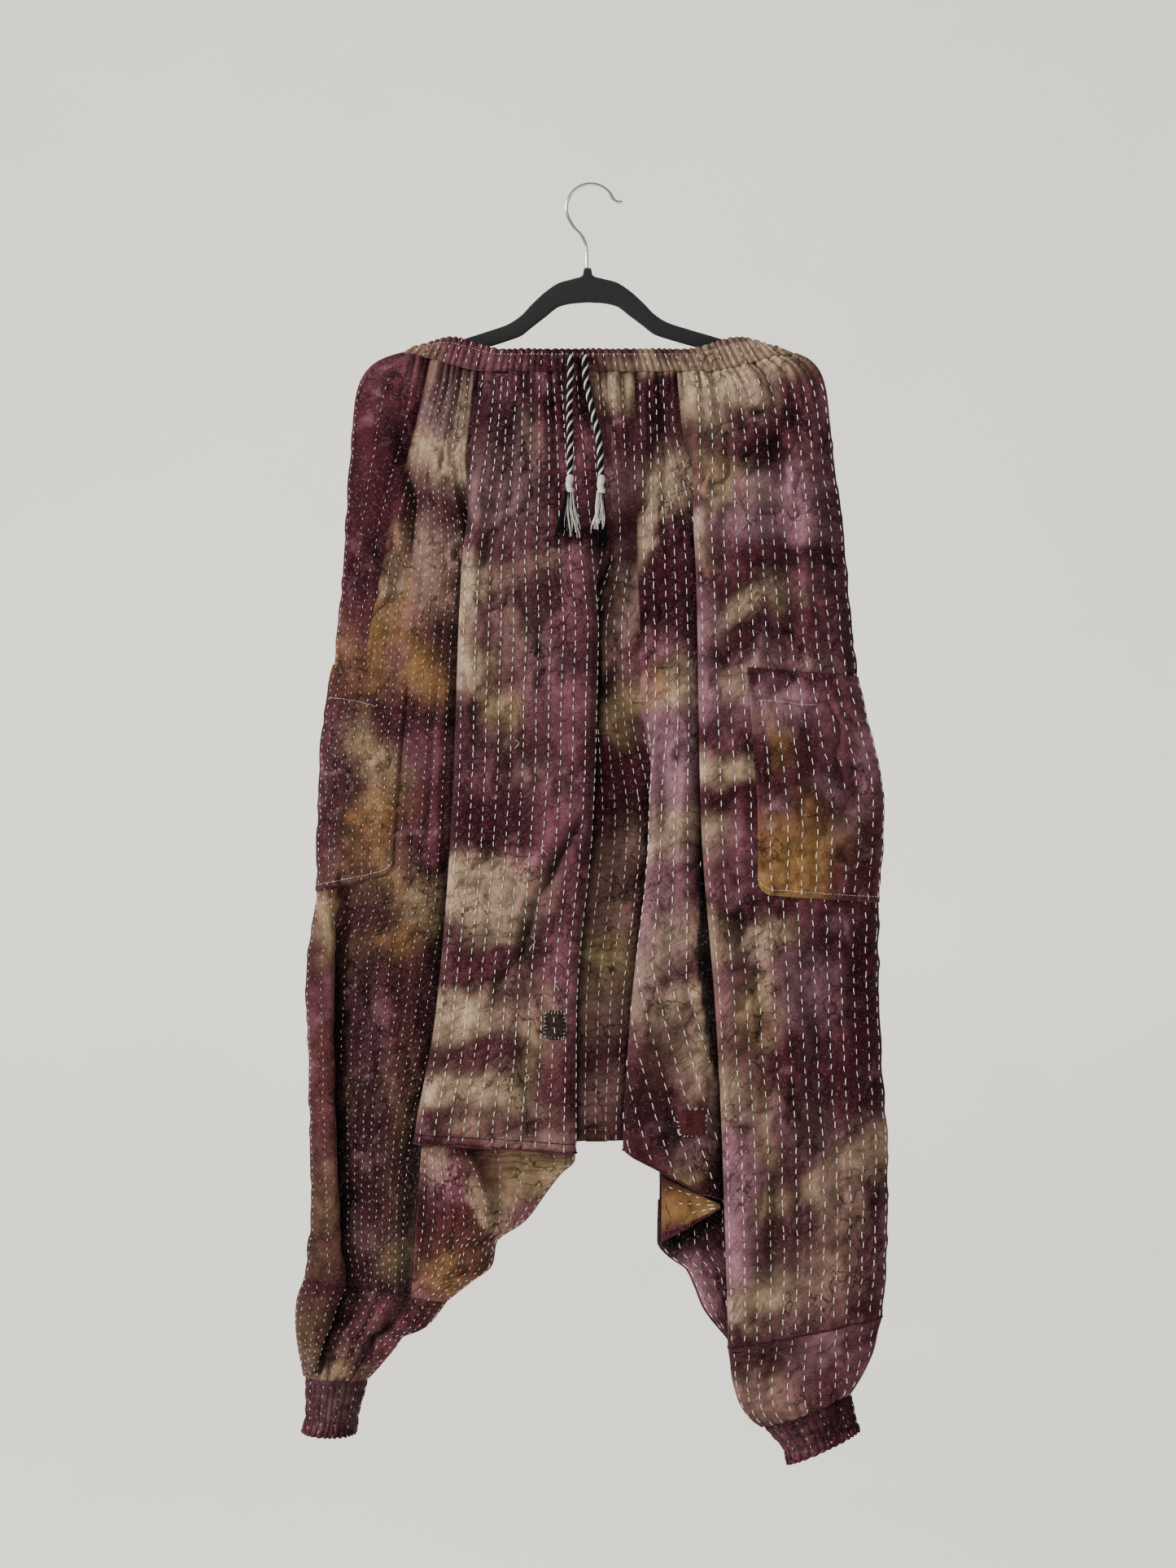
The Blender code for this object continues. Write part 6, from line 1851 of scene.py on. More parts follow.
def dress(
    made: bpy.types.Object, material: bpy.types.Material, with_slot: str, *nodes: str,
) -> bpy.types.Object:
    """Gives a piece its finish, rides it on the body, and hides the CAD nodes that it stands for.

    Args:
        made: The object.
        material: Its finish.
        with_slot: Its slot, or an empty name. Not used.
        nodes: The CAD nodes.

    Returns:
        The object.
    """
    made.data.materials.clear()
    made.data.materials.append(material)
    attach(made, BODY)
    if nodes:
        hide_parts(*nodes)
    LOG.info("%s: %d faces", made.name, len(made.data.polygons))
    return made


class Stitching(NamedTuple):
    """How a zone is stitched: the rows' spacing, the stitch, its pitch and the rows' slant."""

    spacing: float
    length: float
    pitch: float
    slant: float = 0.0
    width: float = 0.9


ROW_PHASE = 0.618
ROW_REACH = 200.0
SHORTEST_ROW = 6
SLANT_FROM = 740.0
LONG_STITCH = Stitching(14.8, 6.8, 11.4, width=0.72)
CLOSE_STITCH = Stitching(12.0, 5.8, 9.4, width=0.66)
DOT_STITCH = Stitching(9.2, 2.9, 7.8, width=0.4)
SLOPED_STITCH = Stitching(10.6, 3.8, 8.6, width=0.5)
SPARSE_STITCH = Stitching(15.0, 6.0, 11.5, width=0.6)
SLANT_STITCH = Stitching(12.5, 7.2, 11.9, 0.24, width=0.72)
STITCHINGS = {
    Zone.LEFT_LEG: DOT_STITCH, Zone.STRIP: DOT_STITCH, Zone.LEFT_CENTRE: CLOSE_STITCH,
    Zone.RECESS: CLOSE_STITCH,
    Zone.RIGHT_CENTRE: SLANT_STITCH, Zone.RIGHT_LEG: LONG_STITCH, Zone.BACK: LONG_STITCH,
    Zone.LEFT_GUSSET: SLOPED_STITCH, Zone.RIGHT_GUSSET: SPARSE_STITCH, Zone.LEFT_SHIN: DOT_STITCH,
    Zone.RIGHT_SHIN: LONG_STITCH, Zone.RIGHT_POCKET: LONG_STITCH,
}


def stitch_rows(sewing: Sewing, cloth: ClothGrid, face: Array, top: float = 0.0) -> None:
    """Adds a cloth's rows of running stitches.

    A row follows a fixed length along the ring, so rows draw together at the waist, where they
    drop out one by one. Where its zone slants them, that length changes with the drop. No stitch
    lies in a turned-back layer or in the dark of a fold.

    Args:
        sewing: Where the stitches go.
        cloth: The cloth's grid.
        face: The places of its outer face.
        top: The drop above which there are none.
    """
    rows, zones = np.arange(len(face)), cloth.zones
    shade = np.broadcast_to(cloth.shade, face.shape[:2])
    begin = 0
    for stop in [*(i for i in range(1, len(zones)) if zones[i] is not zones[i - 1]), len(zones)]:
        kind = STITCHINGS[zones[begin]]
        along = cloth.along[begin:stop]
        drops = face[:, begin, 2]
        lines = np.arange(along[0] + kind.spacing / 2 - ROW_REACH, along[-1] + ROW_REACH, kind.spacing)
        for number, line in enumerate(lines):
            wanted = line + kind.slant * np.maximum(drops - SLANT_FROM, 0)
            wanted = wanted + 0.7 * noise(drops, drops * 0 + line, 70, 77)
            inside = (wanted > along[0] + 1.2) & (wanted < along[-1] - 1.2)
            if inside.sum() < SHORTEST_ROW:
                continue
            column = begin + np.interp(wanted, along, np.arange(len(along)))
            path, normals = sample(face, rows, column), unit(sample(cloth.normals, rows, column))
            nearest = np.clip(np.round(column).astype(int), begin + 1, stop - 2)
            spread = np.linalg.norm(face[rows, nearest + 1] - face[rows, nearest - 1], axis=1)
            spread = spread / (cloth.along[nearest + 1] - cloth.along[nearest - 1])
            fits = (spread > 0.6) | ((number % 2 == 0) & (spread > 0.3)) | (number % 4 == 0)
            keep = inside & fits & (path[:, 2] < cloth.hidden[nearest]) & (path[:, 2] > top)
            keep &= shade[rows, nearest] > 0.4
            phase = (number * ROW_PHASE) % 1
            sewing.run(path, normals, kind.length, kind.pitch, kind.width, phase=phase, keep=keep)
        begin = stop


# Threads, cords and tassels

def strand_mesh(name: str, paths: Array, radius: Array, sides: int = 4) -> bpy.types.Object:
    """Many fine tubes with closed ends, in one mesh.

    Args:
        name: The mesh's name.
        paths: Each strand's places, (strand, point, place).
        radius: A radius for each point, for all the strands or for each.
        sides: Three or four sides to a strand.

    Returns:
        The object.
    """
    count, length = paths.shape[:2]
    along = unit(np.gradient(paths, axis=1))
    side = unit(np.cross(along, np.array([0.13, 0.97, 0.2])))
    out = np.cross(side, along)
    angle = turn_round(sides)[:, None]
    spoke = np.cos(angle) * side[:, :, None] + np.sin(angle) * out[:, :, None]
    points = paths[:, :, None] + spoke * np.broadcast_to(radius, (count, length))[:, :, None, None]
    index = np.arange(count * length * sides).reshape(count, length, sides)
    turned = np.roll(index, -1, axis=2)
    quads = np.stack([index[:, :-1], turned[:, :-1], turned[:, 1:], index[:, 1:]], axis=-1).reshape(-1, 4)
    ends = np.concatenate([index[:, 0, ::-1], index[:, -1]])
    if sides == 4:
        return make_mesh(name, points, np.concatenate([quads, ends]))
    return make_mesh(name, points, quads, ends)


def through(points: Array, step: float) -> Array:
    """A smooth line through the points at about even steps: each axis is a steady curve of the length.

    Args:
        points: The points.
        step: About how far apart the line's places are.

    Returns:
        The line's places.
    """
    points = np.asarray(points, float)
    along = running_length(points)
    at = np.linspace(0, along[-1], int(math.ceil(along[-1] / step)) + 1)
    return np.stack([steady_curve(at, along, points[:, axis]) for axis in range(3)], axis=1)


WHITE = np.array([0.80, 0.77, 0.71])
BLACK = np.array([0.004, 0.003, 0.004])
TASSEL_SEEDS = {"left": 61, "right": 62}
HEAD_ROWS, HEAD_SIDES = 86, 28
HEAD_SHAPE = ((0, 0.62), (1.5, 0.95), (4, 1.05), (9, 0.9), (13, 0.82), (14.5, 1.12), (17, 1.0))
WINDING = 1.25
SUNFLOWER_TURN = 2.39996


class Tuft(NamedTuple):
    """One tuft of a tassel.

    Attributes:
        count: How many strands it has.
        low: Its reach to the left.
        high: Its reach to the right.
        length: Its strands' length.
        radius: A strand's radius.
        curl: How far a strand waves.
        lift: How far the tuft bows towards the viewer.
        tone: Its colour.
    """

    count: int
    low: float
    high: float
    length: float
    radius: float
    curl: float
    lift: float
    tone: Array


class Side(NamedTuple):
    """One drawstring: its name, its route, its length and its tassel's tufts."""

    name: str
    route: tuple[tuple[float, float, float], ...]
    length: float
    tufts: tuple[Tuft, ...]


DRAWSTRINGS = (
    Side("left", (
        (-18, 12.5, 169), (-18, 15, 169.4), (-18, 17, 170.4), (-18, 18.3, 172.6), (-18, 18.7, 174.9),
        (-18, 18.9, 177.3), (-18, 18.8, 179.7), (-18.2, 19, 190.7), (-18.7, 20.3, 201.6),
        (-18.9, 22.3, 212.1),
        (-19, 26.2, 222.4), (-18.9, 30.2, 232.6), (-18.4, 34.1, 242.8), (-18.2, 36.8, 253.4),
        (-18.2, 38.6, 264.2), (-18.4, 38.7, 275.1), (-19, 38.7, 286)), 123.71, (
        Tuft(96, -15.0, 8.0, 47, 0.42, 0.5, 0.2, BLACK), Tuft(9, -10.0, 3.0, 44, 0.30, 0.9, 1.2, WHITE * 0.5),
        Tuft(19, -3.5, 10.5, 46, 0.62, 1.4, 1.8, WHITE))),
    Side("right", (
        (-4, 12.5, 169), (-4, 15, 169.4), (-4, 17, 170.4), (-4, 18.3, 172.6), (-4, 18.7, 174.9),
        (-4, 18.9, 177.3), (-4, 18.8, 179.7), (-3.5, 19, 190.6), (-1.7, 20.3, 201.4), (0.4, 22.2, 212),
        (2.9, 25.4, 222.1), (5.3, 28.6, 232.4), (7.5, 31.6, 242.7), (9.2, 33.7, 253.3), (10.4, 35, 264.1),
        (10.8, 35.1, 275), (11, 35.2, 286)), 124.02, (
        Tuft(80, -3.5, 6.5, 58, 0.42, 0.6, -0.6, BLACK), Tuft(32, -8.0, 3.0, 38, 0.58, 1.8, 1.4, WHITE))),
)


@dataclass
class Drawcord:
    """One drawstring end: a four-strand twisted cord, two strands white and two black, and its tassel.

    Attributes:
        side: Its row of the table.
        materials: The finishes' materials.
        lead: How far the cord runs in one turn of its twist.
        ply: The length of one ply across its yarn.
        radius: The cord's radius.
        sides: Points round the cord.
        head: The length of the tassel's head.
        head_radius: The head's middle radius.
        mouth: The radius of the disc that the strands leave from.
    """

    side: Side
    materials: Materials
    lead: float = 23.0
    ply: float = 2.4
    radius: float = 3.0
    sides: int = 40
    head: float = 17.0
    head_radius: float = 3.3
    mouth: float = 2.6

    def build(self) -> None:
        """Makes the tassel, then the cord that carries it."""
        path = through(self.side.route, 0.6)
        tassel = self.tassel(path[-1])
        along = running_length(path)[:, None]
        angle = turn_round(self.sides)[None] + 2 * np.pi * along / self.lead
        lobe = np.abs(np.cos(2 * angle)) ** 0.7
        made, _ = make_tube("cord_" + self.side.name, path, self.radius, self.sides, 0.74 + 0.28 * lobe)
        white = smooth(np.cos(2 * angle), 0.60, 0.80)[..., None]
        plies = 0.78 + 0.22 * np.sin(10 * angle - 2 * np.pi * along / self.ply)[..., None]
        dye_tube(made, (BLACK + (WHITE - BLACK) * white) * plies, WHITE, WHITE)
        dress(made, self.materials[Finish.CORD], "twisted_cord", "drawstring_" + self.side.name)

    def tassel(self, top: Array) -> bpy.types.Object:
        """A head wound with thread, fine black hair and thicker white yarn below it, joined in one mesh.

        Args:
            top: Where the head begins.

        Returns:
            The tassel's object.
        """
        chance = np.random.default_rng(TASSEL_SEEDS[self.side.name])
        pieces = [self.hair(top, tuft, chance) for tuft in self.side.tufts]
        rows, sides = np.linspace(0, self.head, HEAD_ROWS), turn_round(HEAD_SIDES)[None]
        sway = 0.5 * np.sin(rows * 0.5)
        path = np.stack([top[0] + sway, np.full(HEAD_ROWS, top[1]), top[2] + 0.2 + rows], axis=1)
        shape = self.head_radius * np.interp(rows, *zip(*HEAD_SHAPE))
        wound = 0.2 * np.abs(np.sin(np.pi * (rows / WINDING)[:, None] + 0.9 * np.sin(sides)))
        head, grid = make_tube("head", path, shape, HEAD_SIDES, 0.90 + wound)
        # Painted shade between the windings: the dye is darkest where the wound thread sinks in.
        uneven = 0.75 + 0.25 * noise(grid[..., 0], grid[..., 2], 2.1, 5)
        dye_tube(head, WHITE * (0.3 + 3.8 * wound * uneven)[..., None], WHITE, WHITE)
        made = join_pieces("tassel_hair_" + self.side.name, head, *pieces)
        return dress(made, self.materials[Finish.TASSEL], "tassel_thread", "tassel_" + self.side.name)

    def hair(self, top: Array, tuft: Tuft, chance: np.random.Generator) -> bpy.types.Object:
        """One tuft: strands from the head's mouth, spread evenly to the tuft's width, with a wave on the way.

        A strand starts at a place of the mouth's disc (a sunflower's spiral). It goes out to its
        end by the share to the power 1.3, and a bow and a wave grow along it.

        Args:
            top: The cord's end.
            tuft: The tuft's row of the table.
            chance: The tassel's own random numbers.

        Returns:
            The tuft.
        """
        number = np.arange(tuft.count)
        turn, far = number * SUNFLOWER_TURN, np.sqrt((number + 0.5) / tuft.count)
        u, v = (far * np.cos(turn))[:, None], (far * np.sin(turn))[:, None]
        share = np.linspace(0, 1, 14)[None]
        column = (tuft.count, 1)
        length = tuft.length * (1 - 0.22 * chance.random(column) ** 1.4)
        end_x = (tuft.low + tuft.high) / 2 + u * (tuft.high - tuft.low) / 2
        start_x = u * self.mouth + 0.12 * end_x
        phase = share * chance.uniform(3.5, 7.5, column) + 6.28 * chance.random(column)
        curl = tuft.curl * np.sin(phase) * share
        x = top[0] + start_x + (end_x - start_x) * share**1.3 + curl
        depth = top[1] + v * self.mouth + tuft.lift * np.sin(share * 2.4) + (0.5 * curl + v * 1.2 * share)
        drop = top[2] + self.head - 2.0 + length * share - 0.3 * np.abs(curl)
        made = strand_mesh("hair", np.stack([x, depth, drop], axis=2), tuft.radius * (1 - 0.25 * share), 4)
        tone = tuft.tone * chance.uniform(0.55, 1.1, column)
        # Painted shade: each strand is darker near the head, where the strands bunch, with faint bands of
        # tone along it.
        shade = tone[:, None] * ((0.6 + 0.4 * share) * (0.85 + 0.15 * np.sin(share * 60)))[..., None]
        add_dye(made, np.repeat(shade[:, :, None], 4, axis=2))
        return made


def join_pieces(name: str, first: bpy.types.Object, *others: bpy.types.Object) -> bpy.types.Object:
    """One object from several, each of which keeps its points and its colours.

    Args:
        name: The new object's name.
        first: The first object.
        others: The rest.

    Returns:
        The new object.
    """
    with bpy.context.temp_override(active_object=first, selected_editable_objects=[first, *others]):
        bpy.ops.object.join()
    first.name = first.data.name = name
    return first


# The hanger

class Station(NamedTuple):
    """One place along the hanger's arm: how far out it is, and its upper and lower edge."""

    out: float
    upper: float
    lower: float


STATIONS = (
    Station(0, 80.0, 113.8), Station(3.4, 80.6, 113.9), Station(4.6, 87.0, 114.0), Station(14, 90.5, 114.6),
    Station(27, 94, 117.4), Station(41, 102.8, 127.5), Station(54, 114.6, 137.4), Station(65, 126.0, 145.7),
    Station(77, 133.8, 150.0), Station(98, 141.0, 156.4), Station(124, 149.0, 163.4),
    Station(160, 161.1, 174.0),
    Station(190, 171.9, 184.4), Station(199, 175.6, 187.4),
)


HOOK_SHANK = ((-2.4, 0, 79.6), (-2.4, 0, 70), (-2.8, 0, 60), (-6.5, 0, 50), (-14.5, 0, 41))
HOOK_TIP = ((25.6, 0, 15.2), (29.0, 0, 16.2), (32.5, 0, 15.4))


@dataclass
class Hanger:
    """The slim flocked hanger: a flat bar along two sloping arms, and a steel wire hook.

    Attributes:
        materials: The finishes' materials.
        centre: The bar's middle, across.
        tilt: How far it leans for its width.
        half: Half its thickness.
        reach: How far an arm goes out.
        tip: The length of an arm's rounded end.
        steps: Places along each arm.
        sides: Points round the bar.
        corner: How square the bar is: 1 for an oval, and less for an oblong.
        wire: The hook's radius.
        bend: The radius of the hook's inside.
    """

    materials: Materials
    centre: float = -1.6
    tilt: float = 0.012
    half: float = 2.7
    reach: float = 199.0
    tip: float = 6.0
    steps: int = 170
    sides: int = 28
    corner: float = 0.45
    wire: float = 1.6
    bend: float = 22.0

    def build(self) -> None:
        """Makes the bar and the hook."""
        self.bar()
        self.hook()

    def bar(self) -> None:
        """The bar: at each place along it, a rounded oblong stands between its upper and lower edge."""
        half = np.linspace(0, self.reach, self.steps)
        out = np.concatenate([-half[:0:-1], half])
        far = np.abs(out)
        reach, upper, lower = np.array(STATIONS, float).T
        upper, lower = (steady_curve(far, reach, edge) - out * self.tilt for edge in (upper, lower))
        tip = np.sqrt(np.clip(1 - ((far - self.reach + self.tip) / self.tip).clip(0, 1) ** 2, 0.02, 1))
        angle = turn_round(self.sides)
        waves = (np.cos(angle), np.sin(angle))
        round_x, round_y = (np.sign(wave) * np.abs(wave) ** self.corner for wave in waves)
        x = np.broadcast_to((self.centre + out)[:, None], (len(out), self.sides))
        depth = self.half * tip[:, None] * round_x
        drop = ((upper + lower) / 2)[:, None] + ((lower - upper) / 2 * tip)[:, None] * round_y
        points = np.stack([x, depth, drop], axis=2)
        ends = points[[0, -1]].mean(axis=1)
        made = make_mesh("hanger_bar", np.concatenate([points.reshape(-1, 3), ends]),
                         *tube_faces(len(out), self.sides))
        dress(made, self.materials[Finish.FLOCK], "flock", "hanger_body")

    def hook(self) -> None:
        """The hook: one wire from the bar's neck round an arc to a rounded tip."""
        angle = np.radians(np.linspace(200, 22, 60))
        radius = self.bend + self.wire
        arc = np.stack([1.5 + radius * np.cos(angle), 0 * angle, self.bend - radius * np.sin(angle)], axis=1)
        path = through(np.concatenate([HOOK_SHANK, arc, HOOK_TIP]), 0.7)
        left = np.linalg.norm(path - path[-1], axis=1)
        near_end = np.arange(len(path)) > len(path) - 6
        ball = np.sqrt(np.clip(1 - (1 - left / self.wire).clip(0, 1) ** 2, 0.03, 1))
        made, _ = make_tube("hook_wire", path, self.wire * np.where(near_end, ball, 1.0), 20)
        dress(made, self.materials[Finish.STEEL], "hook_steel", "hanger_hook")


# The studio

class Lamp(NamedTuple):
    """A soft square light: its name, its place and size in metres, its power and what it looks at."""

    name: str
    place: tuple[float, float, float]
    size: float
    power: float
    target: tuple[float, float, float]


LAMPS = (
    Lamp("key light", (-2.6, -1.35, 0.9), 0.75, 190.0, (0, 0, -0.62)),
    Lamp("fill light", (1.6, -2.6, -0.2), 2.4, 22.0, (0, 0, -0.65)),
)


@dataclass
class Studio:
    """The camera, the lights, and a pale floor that curves up behind into a pale ground.

    Attributes:
        materials: The finishes' materials.
        camera_place: The camera's place, in metres.
        lens: Its lens, with a sensor 27 mm wide and 36 mm high.
        sky: The colour of the light from all round.
        sky_strength: How strong it is.
        near: How far the floor comes forward, in millimetres.
        level: How far back it is level.
        bend: The radius of its curve upwards.
        foot: Its drop.
        top: The drop of the ground's upper edge.
        half_width: Half its width.
    """

    materials: Materials
    camera_place: tuple[float, float, float] = (-0.0012, -2.33, -0.582)
    lens: float = 55.0
    sky: tuple[float, float, float, float] = (1.0, 0.985, 0.95, 1.0)
    sky_strength: float = 0.34
    near: float = 3200.0
    level: float = -3000.0
    bend: float = 800.0
    foot: float = 1800.0
    top: float = -2600.0
    half_width: float = 4200.0

    def build(self) -> None:
        """Makes them all."""
        self.camera()
        for lamp in LAMPS:
            self.light(lamp)
        world = bpy.data.worlds.new("pale world")
        world.use_nodes = True
        world.node_tree.nodes["Background"].inputs["Color"].default_value = self.sky
        world.node_tree.nodes["Background"].inputs["Strength"].default_value = self.sky_strength
        bpy.context.scene.world = world
        self.floor()

    def camera(self) -> None:
        """A level camera straight in front, whose upright frame is 1.513 m high at the cloth."""
        data = bpy.data.cameras.new("camera")
        data.sensor_fit, data.sensor_height, data.sensor_width, data.lens = "VERTICAL", 36.0, 27.0, self.lens
        made = bpy.data.objects.new("camera", data)
        made.location = self.camera_place
        made.rotation_euler = (math.radians(90), 0, 0)
        bpy.context.scene.collection.objects.link(made)
        bpy.context.scene.camera = made

    @staticmethod
    def light(lamp: Lamp) -> None:
        """One lamp, turned to its target.

        Args:
            lamp: The lamp.
        """
        data = bpy.data.lights.new(lamp.name, "AREA")
        data.shape, data.size, data.energy = "SQUARE", lamp.size, lamp.power
        made = bpy.data.objects.new(lamp.name, data)
        made.location = lamp.place
        aim = np.array(lamp.target) - np.array(lamp.place)
        flat = math.hypot(aim[0], aim[1])
        made.rotation_euler = (math.pi / 2 + math.atan2(aim[2], flat), 0, math.atan2(-aim[0], aim[1]))
        bpy.context.scene.collection.objects.link(made)

    def floor(self) -> None:
        """The ground: level to behind the pants, then a quarter circle, then upright."""
        turn = np.linspace(0, math.pi / 2, 17)
        depth = np.concatenate([[self.near], self.level - self.bend * np.sin(turn), [self.level - self.bend]])
        drop = np.concatenate([[self.foot], self.foot - self.bend * (1 - np.cos(turn)), [self.top]])
        x, depth = np.meshgrid((-self.half_width, self.half_width), depth)
        points = np.stack([x, depth, np.stack([drop, drop], axis=1)], axis=2)
        index = np.arange(points.size // 3).reshape(-1, 2)
        made = make_mesh("pale_ground", points, grid_quads(index))
        made.data.materials.append(self.materials[Finish.WALL])


# The pants

INNER_EDGES = {
    "left": ((915, -17), (947, -15), (958, -27), (977, -42), (1005, -63), (1026, -91), (1048, -95),
             (1064, -115), (1082, -138)),
    "right": ((945, 68), (970, 69), (1027, 68), (1040, 78), (1052, 95), (1068, 103), (1090, 112),
              (1122, 137)),
}
GUSSET_FOLD = ((-5, 2.0), (-1.2, 1.0), (0, -1.5), (-1.2, -4.0), (-8, -5.0), (-10.5, -7.5), (-8, -10.0))
GUSSET_BACK = ((0.16, 0.55), (0.38, 0.9), (0.62, 1.0), (0.84, 1.0))
GUSSET_TURN = ((915, -127), (956, -106), (1003, -95), (1030, -98))
TUCK = 4.5


@dataclass
class Gusset:
    """The cloth that closes a leg on its inner side, from the crotch to the lower seam.

    Attributes:
        side: Left or right.
        seam: The seam at its foot.
        tops: The drop of its upper edge, at even steps round it.
        rows: Rows of its grid.
        step: How far apart the rings that it is read from are.
    """

    side: str
    seam: SeamEnds
    tops: tuple[float, ...]
    rows: int = 44
    step: float = 2.0

    def ring(self, drops: Array) -> Array:
        """Its control points at many drops, from the front seam round the inner edge to the back seam.

        Args:
            drops: The drops.

        Returns:
            Places by drops and control points.
        """
        body, marks = body_rings(drops)
        front = body[:, marks["front " + self.side], :2].T
        back = body[:, marks["back " + self.side], :2].T
        edge = steady_curve(drops, *zip(*INNER_EDGES[self.side]))
        if self.side == "left":
            near, middle = edge - 2.0, 0.35 * (front[1] + back[1])
            points = self.left_front(drops, front, edge)
        else:
            near, middle = edge + 2.0, 0.2 * (front[1] + back[1])
            points = self.right_front(drops, front, edge)
        points += [(near, middle + 4.0), (edge, middle), (near, middle - 4.0)]
        for share, sink in GUSSET_BACK:
            points.append((edge + (back[0] - edge) * share, middle + (back[1] + TUCK - middle) * sink))
        points.append((back[0], back[1]))
        return np.stack([np.stack([x, depth, drops], axis=1) for x, depth in points], axis=1)

    @staticmethod
    def left_front(drops: Array, front: Array, edge: Array) -> list[tuple[Array, Array]]:
        """The front of the left ring: a fold that opens to the right and fades downwards.

        Args:
            drops: The drops.
            front: The front seam's x and depth at each drop.
            edge: The inner edge's x there.

        Returns:
            The x and depth of each control point.
        """
        turn = np.minimum(steady_curve(drops, *zip(*GUSSET_TURN)), edge - 16)
        shut = 1 - smooth(drops, 985, 1035)
        start = (np.maximum(turn - 16, front[0] + 0.7 * (turn - front[0])), front[1] + 2.0)
        ends = [(turn + share * (edge - turn), front[1] + behind + sink * shut)
                for share, behind, sink in ((0.38, -4.0, -6.0), (0.72, -7.0, -5.0))]
        points = [(front[0], front[1]), (front[0] + 0.4 * (turn - front[0]), front[1] + 1.4), start]
        for i, (out, rise) in enumerate(GUSSET_FOLD, start=1):
            share = i / (len(GUSSET_FOLD) + 1)
            open_x = start[0] + (ends[0][0] - start[0]) * share
            open_depth = start[1] + (ends[0][1] - start[1]) * share
            depth = open_depth + (front[1] + rise - open_depth) * shut
            points.append((open_x + (turn + out - open_x) * shut, depth))
        return points + ends

    @staticmethod
    def right_front(drops: Array, front: Array, edge: Array) -> list[tuple[Array, Array]]:
        """The front of the right ring, which lies behind the hem of the centre panel.

        Args:
            drops: The drops.
            front: The front seam's x and depth at each drop.
            edge: The inner edge's x there.

        Returns:
            The x and depth of each control point.
        """
        deep = 12.0 * (1 - smooth(drops, 1010, 1085))
        points = [(front[0], front[1]), (front[0] - 1.2, front[1] - 3.6)]
        for share, behind, sink in ((0.35, -4.0, -0.7), (0.62, -5.5, -0.9), (0.85, -9.0, -1.0)):
            points.append((front[0] + share * (edge - front[0]), front[1] + behind + sink * deep))
        return points

    def cloth(self) -> ClothGrid:
        """Its grid: each column runs from its own top, hidden inside the body's hems, to the seam.

        Returns:
            The grid.
        """
        lowest = max(self.seam.left_drop, self.seam.right_drop)
        drops = np.arange(min(self.tops) - self.step, lowest + 2 * self.step, self.step)
        control = self.ring(drops)
        count = control.shape[1]
        tops = np.full(count, self.tops[2])
        tops[:2], tops[2] = self.tops[0], self.tops[1]
        tops[-5:] = self.tops[3]
        tops[-2:] = self.tops[4]
        columns, shares = fine_columns(control, ((len(drops) // 2, 3.4), (len(drops) - 2, 3.4)), closed=False)
        table = between(control, columns, shares, closed=False)
        at = columns + shares
        top = np.interp(at, np.arange(count), tops)
        foot = self.seam.at(table[-1, :, 0]) - SEAM_GAP / 2
        mids = top + (foot - top) * np.linspace(0, 1, self.rows)[:, None]
        index = np.broadcast_to(np.arange(len(at)), mids.shape)
        places = settle(read_rows(table, (mids - drops[0]) / self.step, index))
        if self.side == "right":
            places = places[:, ::-1]
        middle = places[len(places) // 2]
        along = running_length(middle)
        zone = Zone.LEFT_GUSSET if self.side == "left" else Zone.RIGHT_GUSSET
        return ClothGrid.plain(places, along, zone)


class LegRing(NamedTuple):
    """One ring of a lower leg, from its ends and its depth in front and behind.

    Its last number says how plain an oval it is, from 0 for the leg's own ring to 1.
    """

    left: float
    left_drop: float
    right: float
    right_drop: float
    front: float
    back: float
    plain: float


LEFT_SHIN = (
    LegRing(-284, 1085, -147, 1096, 27, 24, 0.02), LegRing(-285, 1103, -158, 1108, 29, 26, 0.05),
    LegRing(-284, 1118, -178, 1116, 30, 27, 0.09), LegRing(-282, 1132, -190, 1131, 30, 28, 0.17),
    LegRing(-279, 1146, -203, 1146, 30, 29, 0.38), LegRing(-277, 1156, -213, 1157, 29, 29, 1.0),
)
RIGHT_SHIN = (
    LegRing(136, 1137, 280, 1115, 26, 24, 0.06), LegRing(138, 1154, 277, 1130, 27, 24, 0.25),
    LegRing(145, 1179, 269, 1149, 27, 23, 0.50), LegRing(157, 1198, 261, 1163, 25, 21, 0.80),
    LegRing(167, 1206, 255, 1172, 18, 17, 1.0),
)
LEFT_CUFF = (LegRing(-274, 1196, -226, 1197, 24, 24, 1), LegRing(-278, 1211, -228, 1212, 26, 26, 1))
RIGHT_CUFF = (LegRing(191, 1231, 259, 1203, 14, 14, 1), LegRing(194, 1243, 262, 1211, 16, 16, 1))


def oval(angle: Array, left: Array, right: Array, front: Array, back: Array) -> tuple[Array, Array]:
    """Places of a flat oval: 0 is its left end, half a turn its right end, and the front comes between."""
    x = (left + right) / 2 - (right - left) / 2 * np.cos(angle)
    return x, np.where(np.sin(angle) >= 0, front, back) * np.sin(angle)


def ring_angles(ring: Array) -> Array:
    """The angle of each point of a ring, half by its length along the cloth and half by its number.

    Args:
        ring: Its points.

    Returns:
        An angle for each of them.
    """
    count = len(ring)
    left_at, right_at = int(np.argmin(ring[:, 0])), int(np.argmax(ring[:, 0]))
    step = np.linalg.norm(np.diff(ring[:, :2], axis=0, append=ring[:1, :2]), axis=1)
    order = (left_at + np.arange(count)) % count
    along = np.concatenate([[0], np.cumsum(step[order])])[:-1]
    turn = (right_at - left_at) % count
    half, whole, number = along[turn], step.sum(), np.arange(count)
    by_length = np.where(along <= half, along / half, 1 + (along - half) / (whole - half))
    by_number = np.where(number <= turn, number / turn, 1 + (number - turn) / (count - turn))
    result = np.empty(count)
    result[order] = math.pi * (by_length + by_number) / 2
    return result


